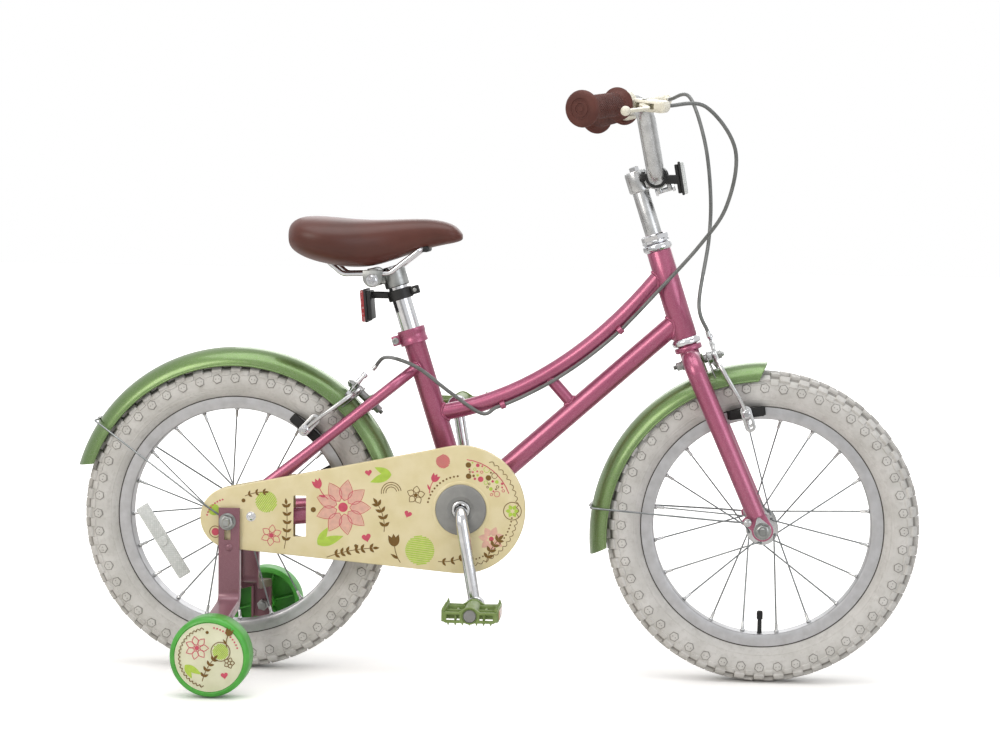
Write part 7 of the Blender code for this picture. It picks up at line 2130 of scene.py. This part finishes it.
def makeCalliperArm(end, word, points, layer, reach, tilt, side):
    pivot, up, fore = calliperPlace(end)

    def at(across, rise, ahead):
        return pivot + acrossY * across * mm + up * rise * mm + fore * ahead * mm

    bend = [at(y, z, layer + (reach - layer) * min(1.0, max(0.0, -z) / 72)) for y, z in points]
    path = curveThrough(bend, 7)
    size = [(1.12 - 0.24 * abs(i / (len(path) - 1) - 0.35),) * 2 for i in range(len(path))]
    blade = sweptShape(path, softSection(9.5 * mm, 5.2 * mm, 1.7 * mm), up=fore, size=size)
    shapes = [blade, ringShape(at(0, 0, layer - 3.3), at(0, 0, layer + 3.3), 7.6 * mm,
                               3.4 * mm, 40, 0.8 * mm)]
    radial = up * math.cos(tilt) + fore * math.sin(tilt)
    turn = Matrix((acrossY.cross(radial), acrossY, radial)).transposed()
    low = -82
    shoe = at(21.6, low, reach)
    eyeShift = 8 if end == "rear" else -7
    eye, slot = [plateShape([(p.x, p.z) for p in eyeOutline(at(0, low + eyeShift, reach), up, fore, 10.5 * mm,
                                                                     radius * mm)],
                            pivot.y + 28.6 * mm, pivot.y + 32.2 * mm, bevel * mm) for radius,
                            bevel in ((7.2, 0.8), (3.3, 0))]
    grow = Matrix.Diagonal((1, 3, 1)).to_4x4()
    bmesh.ops.transform(slot, matrix=Matrix.Translation(acrossY * 30.4 * mm) @ grow @ Matrix.Translation(
        -acrossY * 30.4 * mm), verts=slot.verts)
    shapes.append(carvedShape(eye, slot))
    hardware = [threadedRod(at(24, low, reach), at(39.5, low, reach), 3.1 * mm, 1.0 * mm, 20),
                hexShape(at(33.5, low, reach), at(37.8, low, reach), 5.6 * mm, 0.6 * mm),
                ringShape(at(32.6, low, reach), at(33.6, low, reach), 6.4 * mm, 3.2 * mm, 32, 0.2 * mm)]
    if word == "outer":
        y, z = points[0]
        hardware.append(turnedShape(inMm([(0, 0), (3.2, 0), (3.6, 0.5), (3.6, 5.4), (3.0, 6),
                                          (3.0, 11), (4.1, 11.4),
                                          (4.3, 12), (4.3, 15.4), (3.8, 16.2), (2.6, 17), (0, 17)]),
                                    at(y, z - 6, layer), up, 28))
    else:
        hardware += [rodShape(at(29.5, -8, layer - 2), at(29.5, -8, layer + 7.5), 3 * mm, 24),
                     hexShape(at(29.5, -8, layer + 3.4), at(29.5, -8, layer + 8.6), 4.6 * mm, 0.5 * mm),
                     ringShape(at(29.5, -8, layer + 2.6), at(29.5, -8, layer + 3.6), 5.6 * mm,
                               3.0 * mm, 32, 0.2 * mm)]
    body = end + "_arm_" + word
    piece = end + word.capitalize() + "Arm"
    makePiece(piece, mirroredShape(joinedShape(*shapes), side), silverAlloy, body,
              end + "_brake_arm_" + word)
    makePiece(piece + "Bolts", mirroredShape(joinedShape(*hardware), side), chromePlate, body)
    rubber = [blockShape(shoe - acrossY * 1.4 * mm, (50 * mm, 7.2 * mm, 11 * mm), turn, 1.0 * mm, 2),
              blockShape(shoe + acrossY * 3.6 * mm, (46 * mm, 3.4 * mm, 12.4 * mm), turn, 1.4 * mm, 3),
              rodShape(shoe + acrossY * 4 * mm, shoe + acrossY * 8 * mm, 6.4 * mm, 32)]
    for i in range(-3, 4):
        rubber.append(blockShape(shoe + turn @ Vector((i * 6.6 * mm, -4.8 * mm, 0)),
                                 (4.6 * mm, 1.2 * mm, 10 * mm), turn,
                                 0.3 * mm))
    makePiece(piece + "Block", mirroredShape(joinedShape(*rubber), side), blackRubber, body)


def makeBrakeHardware(end, side, behind, ahead, body):
    # The centre bolt with its nuts, the return spring and the bare cable down to the pinch bolt.
    pivot, up, fore = calliperPlace(end)

    def at(across, rise, out):
        return pivot + acrossY * across * mm * side + up * rise * mm + fore * out * mm

    bolt = [threadedRod(at(0, 0, behind - 13.5), at(0, 0, 22), 3 * mm, 1.0 * mm, 24),
            hexShape(at(0, 0, behind - 2), at(0, 0, behind - 9.5), 5.8 * mm, 0.7 * mm),
            ringShape(at(0, 0, behind - 2), at(0, 0, behind - 0.3), 6.6 * mm, 3.1 * mm),
            ringShape(at(0, 0, ahead), at(0, 0, -0.3), 5.6 * mm, 3.1 * mm),
            hexShape(at(0, 0, 14.4), at(0, 0, 19.2), 5.6 * mm, 0.6 * mm),
            turnedShape(inMm([(0, 0), (3.4, 0), (3.4, 1.2), (2.4, 2.8), (0, 3.4)]), at(0, 0, 19.4), fore, 28)]
    makePiece(end + "BrakeCentreBolt", joinedShape(*bolt), zincSteel, body, end + "_brake_bolt")
    spring = []
    for way in (-1, 1):
        points = [at(0, 8, 0.6), at(way * 9, 6.5, 0.4), at(way * 22, 1, 0.2), at(way * 31, -10, 1.0),
                  at(way * 34, -26, 3.4)]
        spring.append(tubeShape(curveThrough(points, 8), 0.8 * mm, 10))
    makePiece(end + "BrakeSpring", joinedShape(*spring), zincSteel, body)
    wire = tubeShape([at(-32, 11, 10.8), at(-30.4, -8, 9.5), at(-30.0, -20, 9.3)], 0.8 * mm, 10)
    tip = rodShape(at(-30.0, -19, 9.3), at(-29.8, -27, 9.2), 1.3 * mm, 14)
    makePiece(end + "BrakeInnerWire", joinedShape(wire, tip), chromePlate, body)


def makeStabiliser(side, word):
    axle, wheelZ = rearAxle.z, 52.5 * mm
    x = rearAxle.x + 2 * mm
    inner, outer = 76.5 * mm, 178 * mm
    path = roundedPath([(x, inner, axle + 18 * mm), (x, inner, wheelZ + 48 * mm),
                        (x, outer, wheelZ + 36 * mm), (x, outer, wheelZ - 17 * mm)], 12 * mm, math.radians(8))
    half, t, deep = 14 * mm, 1.5 * mm, 10 * mm
    r = 1.4 * mm
    channel = [(-half, t - r), *arcPoints((-half + r, t - r), r, math.pi, math.pi / 2, 4)]
    channel += [*arcPoints((half - r, t - r), r, math.pi / 2, 0, 4), (half, -deep), (half - 2 * t, -deep),
                (half - 2 * t, -t), (-half + 2 * t, -t), (-half + 2 * t, -deep), (-half, -deep)]
    arm = stripShape(path, channel, acrossX)
    bore = rodShape(Vector((rearAxle.x, 0, axle)), Vector((rearAxle.x, 0.1, axle)), 5.3 * mm)
    low = rodShape(Vector((rearAxle.x + 4 * mm, 0.1, wheelZ)),
                   Vector((rearAxle.x + 4 * mm, 0.25, wheelZ)), 5.3 * mm)
    slot = blockShape((rearAxle.x, inner, axle - 17 * mm), (8.4 * mm, 20 * mm, 14 * mm), None, 0)
    clear = blockShape((x, inner - t - 20 * mm, axle), (50 * mm, 40 * mm, 76 * mm), None, 0)
    arm = carvedShape(arm, bore, low, slot, clear)
    rivet = turnedShape(inMm([(0, 0), (4.8, 0), (4.8, 0.8), (3.9, 1.9), (2.2, 2.5), (0, 2.7)]),
                        Vector((x, inner + t - 0.2 * mm, axle - 34 * mm)), acrossY, 36)
    makePiece(word + "StabiliserArm", mirroredShape(joinedShape(arm, rivet), side), mauveLacquer, "frame",
              "stabiliser_bracket_" + word)
    centre = Vector((rearAxle.x + 4 * mm, 0, wheelZ))
    foot = centre + acrossY * (outer - t)
    bolt = [rodShape(foot - acrossY * 12.5 * mm, foot + acrossY * 34 * mm, 5 * mm),
            hexShape(foot - acrossY * 0.3 * mm, foot - acrossY * 8.5 * mm, 8.2 * mm, 0.9 * mm),
            ringShape(foot + acrossY * 3.3 * mm, foot + acrossY * 10.2 * mm, 9 * mm, 5.1 * mm)]
    makePiece(word + "StabiliserBolt", mirroredShape(joinedShape(*bolt), side), zincSteel, "frame",
              "stabiliser_bolt_" + word)
    lowY, highY = 187, 222
    wheel = turnedShape(inMm([(5.3, lowY + 6), (5.3, lowY + 1), (11.4, lowY + 1),
                              (12, lowY + 2), (12, lowY + 22),
                              (41.6, lowY + 22), (42.6, lowY + 20), (43, lowY + 0.8),
                              (43.8, lowY), (47.6, lowY),
                              (50.2, lowY + 1.2), (51, lowY + 3.4), (51, highY - 7), (50.2, highY - 3.4),
                              (47.6, highY - 0.9), (45.4, highY), (44.6, highY - 0.3), (44.0, highY - 1.6),
                              (30, highY - 1.3), (0, highY - 0.9), (0, highY - 6), (5.3, highY - 6)]),
                        centre, acrossY, 112)
    ribs = []
    for i in range(6):
        a = math.tau * (i + 0.25) / 6
        way = Vector((math.cos(a), 0, math.sin(a)))
        turn = Matrix((way, acrossY, way.cross(acrossY))).transposed()
        ribs.append(blockShape(centre + way * 27.5 * mm + acrossY * (lowY + 15) * mm,
                               (32 * mm, 15 * mm, 1.8 * mm), turn,
                               0.3 * mm))
    body = "stabiliser_wheel_" + word + "_body"
    makePiece(word + "StabiliserWheel", mirroredShape(joinedShape(wheel, *ribs), side), leafPlastic, body,
              "stabiliser_wheel_" + word)
    disc = turnedShape(inMm([(0, highY - 2), (43.6, highY - 2), (43.6, highY - 1.1), (43.0, highY - 0.8),
                             (0, highY - 0.4)]), centre, acrossY * side, 96)
    makePiece(word + "StabiliserDisc", disc, palePlastic, body)


def printStabiliser():
    # The chain side's disc only shows from this side; the other one stays plain.
    rose = daisyMark(-15, 12, 15, 7, 8, False) + discMark(-15, 12, 2.8) + heartMark(20, -22, 9, 10)
    rose += beadMark(0, 0, 38.5, 20, 80, 11, 1.1)
    lime = stripedMark(15, 8, 10, 1.9, 50) + [petalOutline(-30, -10, -0.5, 24, 8),
                                              petalOutline(-30, -10, -1.1, 19, 7)]
    umber = sprigMark(-8, -30, 62, 32, 4, 7, -0.5) + tulipMark(24, 28, 11, 70) + ringMark(15, 8, 12)
    umber += waveMark(0, 0, 36, 100, 260, 20, 2.6) + daisyMark(26, -6, 7, 5, 5, False) + discMark(-2, 32, 2.0)
    origin = Vector((rearAxle.x + 4 * mm, 0, 52.5 * mm))
    for layer, (ink, marks) in enumerate((("lime", lime), ("rose", rose), ("umber", umber)), 1):
        printPiece("discPrint" + ink.capitalize(), marks, ink, origin, -221.75 * mm, layer,
                   "stabiliser_wheel_right_body")


palePlastic = mouldedPlastic("paleDiscPlastic", "#dcdcbb", "#e6e6c8", 0.34, 1.0, 0.005, 0.5, 0.15)
makeMudguards()
for brakeEnd, blockReach, blockTilt, brakeSide in (("front", 28, math.radians(9.3), -1),
                                                   ("rear", 18, math.radians(3), 1)):
    makeCalliperArm(brakeEnd, "outer", outerArm, 10.8, blockReach, blockTilt, brakeSide)
    makeCalliperArm(brakeEnd, "inner", innerArm, 3.75, blockReach, blockTilt, -brakeSide)
makeBrakeHardware("front", -1, -32.5, -4.9, "steering")
makeBrakeHardware("rear", 1, -26, -11.8, "frame")
for stabiliserSide, stabiliserWord in ((1, "left"), (-1, "right")):
    makeStabiliser(stabiliserSide, stabiliserWord)
printStabiliser()
print("mudguards, brakes and stabilisers ready")


# Stage: a plain pale floor, a white background, soft studio light and the photo's view

stageLook = {"floor": "#eceae7", "glow": (0.5, 1.1), "glowRun": (0.7, 2.6), "shadowReach": 0.16,
             "background": 1.0, "reflected": 0.85, "ambient": 0.42}


cameraLook = {"lens": 90.317, "place": (0.26360, -3.28604, 0.65887), "right": (0.99677, 0.07930, 0.01246),
              "up": (-0.01867, 0.07806, 0.99677), "back": (0.07807, -0.99379, 0.07929)}


def makeFloor():
    shape = bmesh.new()
    bmesh.ops.create_grid(shape, x_segments=1, y_segments=1, size=14)
    mesh = bpy.data.meshes.new("floor")
    shape.to_mesh(mesh)
    shape.free()
    floor = bpy.data.objects.new("floor", mesh)
    floor.location.z = groundZ - 0.3 * mm
    bpy.context.scene.collection.objects.link(floor)
    material, tree, shader, place = newMaterial("paleFloor", {
        "Base Color": hexColour(stageLook["floor"]), "Roughness": 0.62, "Specular IOR Level": 0.25})
    seen = addNode(tree, "ShaderNodeLightPath").outputs["Is Camera Ray"]
    away = addNode(tree, "ShaderNodeVectorMath", {"operation": "LENGTH", 0: place}).outputs["Value"]
    names = ("From Min", "From Max", "To Min", "To Max")
    rise = ranged(tree, away, dict(zip(names, stageLook["glowRun"] + stageLook["glow"])))
    # Ambient occlusion dims the floor's glow near the bicycle: a painted contact shadow.
    openness = addNode(tree, "ShaderNodeAmbientOcclusion",
                       {"samples": 8, "Distance": stageLook["shadowReach"]}).outputs["AO"]
    glowWithPaintedShadow = maths(tree, "MULTIPLY", rise, openness)
    glow = maths(tree, "MULTIPLY", glowWithPaintedShadow, seen)
    shader.inputs["Emission Color"].default_value = (1, 1, 1, 1)
    tree.links.new(glow, shader.inputs["Emission Strength"])
    mesh.materials.append(material)


def makeBackground():
    world = bpy.data.worlds.new("studio")
    bpy.context.scene.world = world
    world.use_nodes = True
    tree = world.node_tree
    path = addNode(tree, "ShaderNodeLightPath").outputs
    clear = maths(tree, "MAXIMUM", path["Is Camera Ray"], path["Is Transmission Ray"])
    shine = ranged(tree, path["Is Glossy Ray"],
                   {"To Min": stageLook["ambient"], "To Max": stageLook["reflected"]})
    strength = addNode(tree, "ShaderNodeMix",
                       {"data_type": "FLOAT", 3: stageLook["background"], 0: clear, 2: shine})
    tree.nodes["Background"].inputs["Color"].default_value = (1, 1, 1, 1)
    tree.links.new(strength.outputs[0], tree.nodes["Background"].inputs["Strength"])


def makeLight(name, place, target, size, power, colour="#ffffff"):
    data = bpy.data.lights.new(name, "AREA")
    data.shape = "RECTANGLE"
    data.size, data.size_y = size
    data.energy = power
    data.color = hexColour(colour)[:3]
    light = bpy.data.objects.new(name, data)
    light.location = place
    light.rotation_euler = (Vector(target) - Vector(place)).to_track_quat("-Z", "Y").to_euler()
    bpy.context.scene.collection.objects.link(light)


def makeCamera():
    # The photo's own place and lens, found from its wheels.
    data = bpy.data.cameras.new("photoView")
    data.lens = cameraLook["lens"]
    data.sensor_width = 36
    data.clip_end = 60
    camera = bpy.data.objects.new("photoView", data)
    turn = Matrix([cameraLook[way] for way in ("right", "up", "back")]).transposed().to_4x4()
    camera.matrix_world = Matrix.Translation(cameraLook["place"]) @ turn
    bpy.context.scene.collection.objects.link(camera)
    bpy.context.scene.camera = camera


makeFloor()
makeBackground()
bpy.context.scene.view_settings.view_transform = "Standard"
makeLight("overheadSoftbox", (0.1, -0.3, 2.6), (0, 0, 0.3), (2.6, 2.0), 34)
makeLight("keySoftbox", (-1.7, -2.3, 1.7), (0, 0, 0.35), (1.4, 1.4), 26, "#fff8f0")
makeLight("fillSoftbox", (2.2, -1.8, 1.1), (0.1, 0, 0.35), (1.6, 1.4), 12, "#f2f6ff")
makeLight("rimSoftbox", (0.2, 2.6, 1.6), (0, 0, 0.4), (2.2, 1.2), 14)
makeCamera()
print(pieceCount, "pieces made")
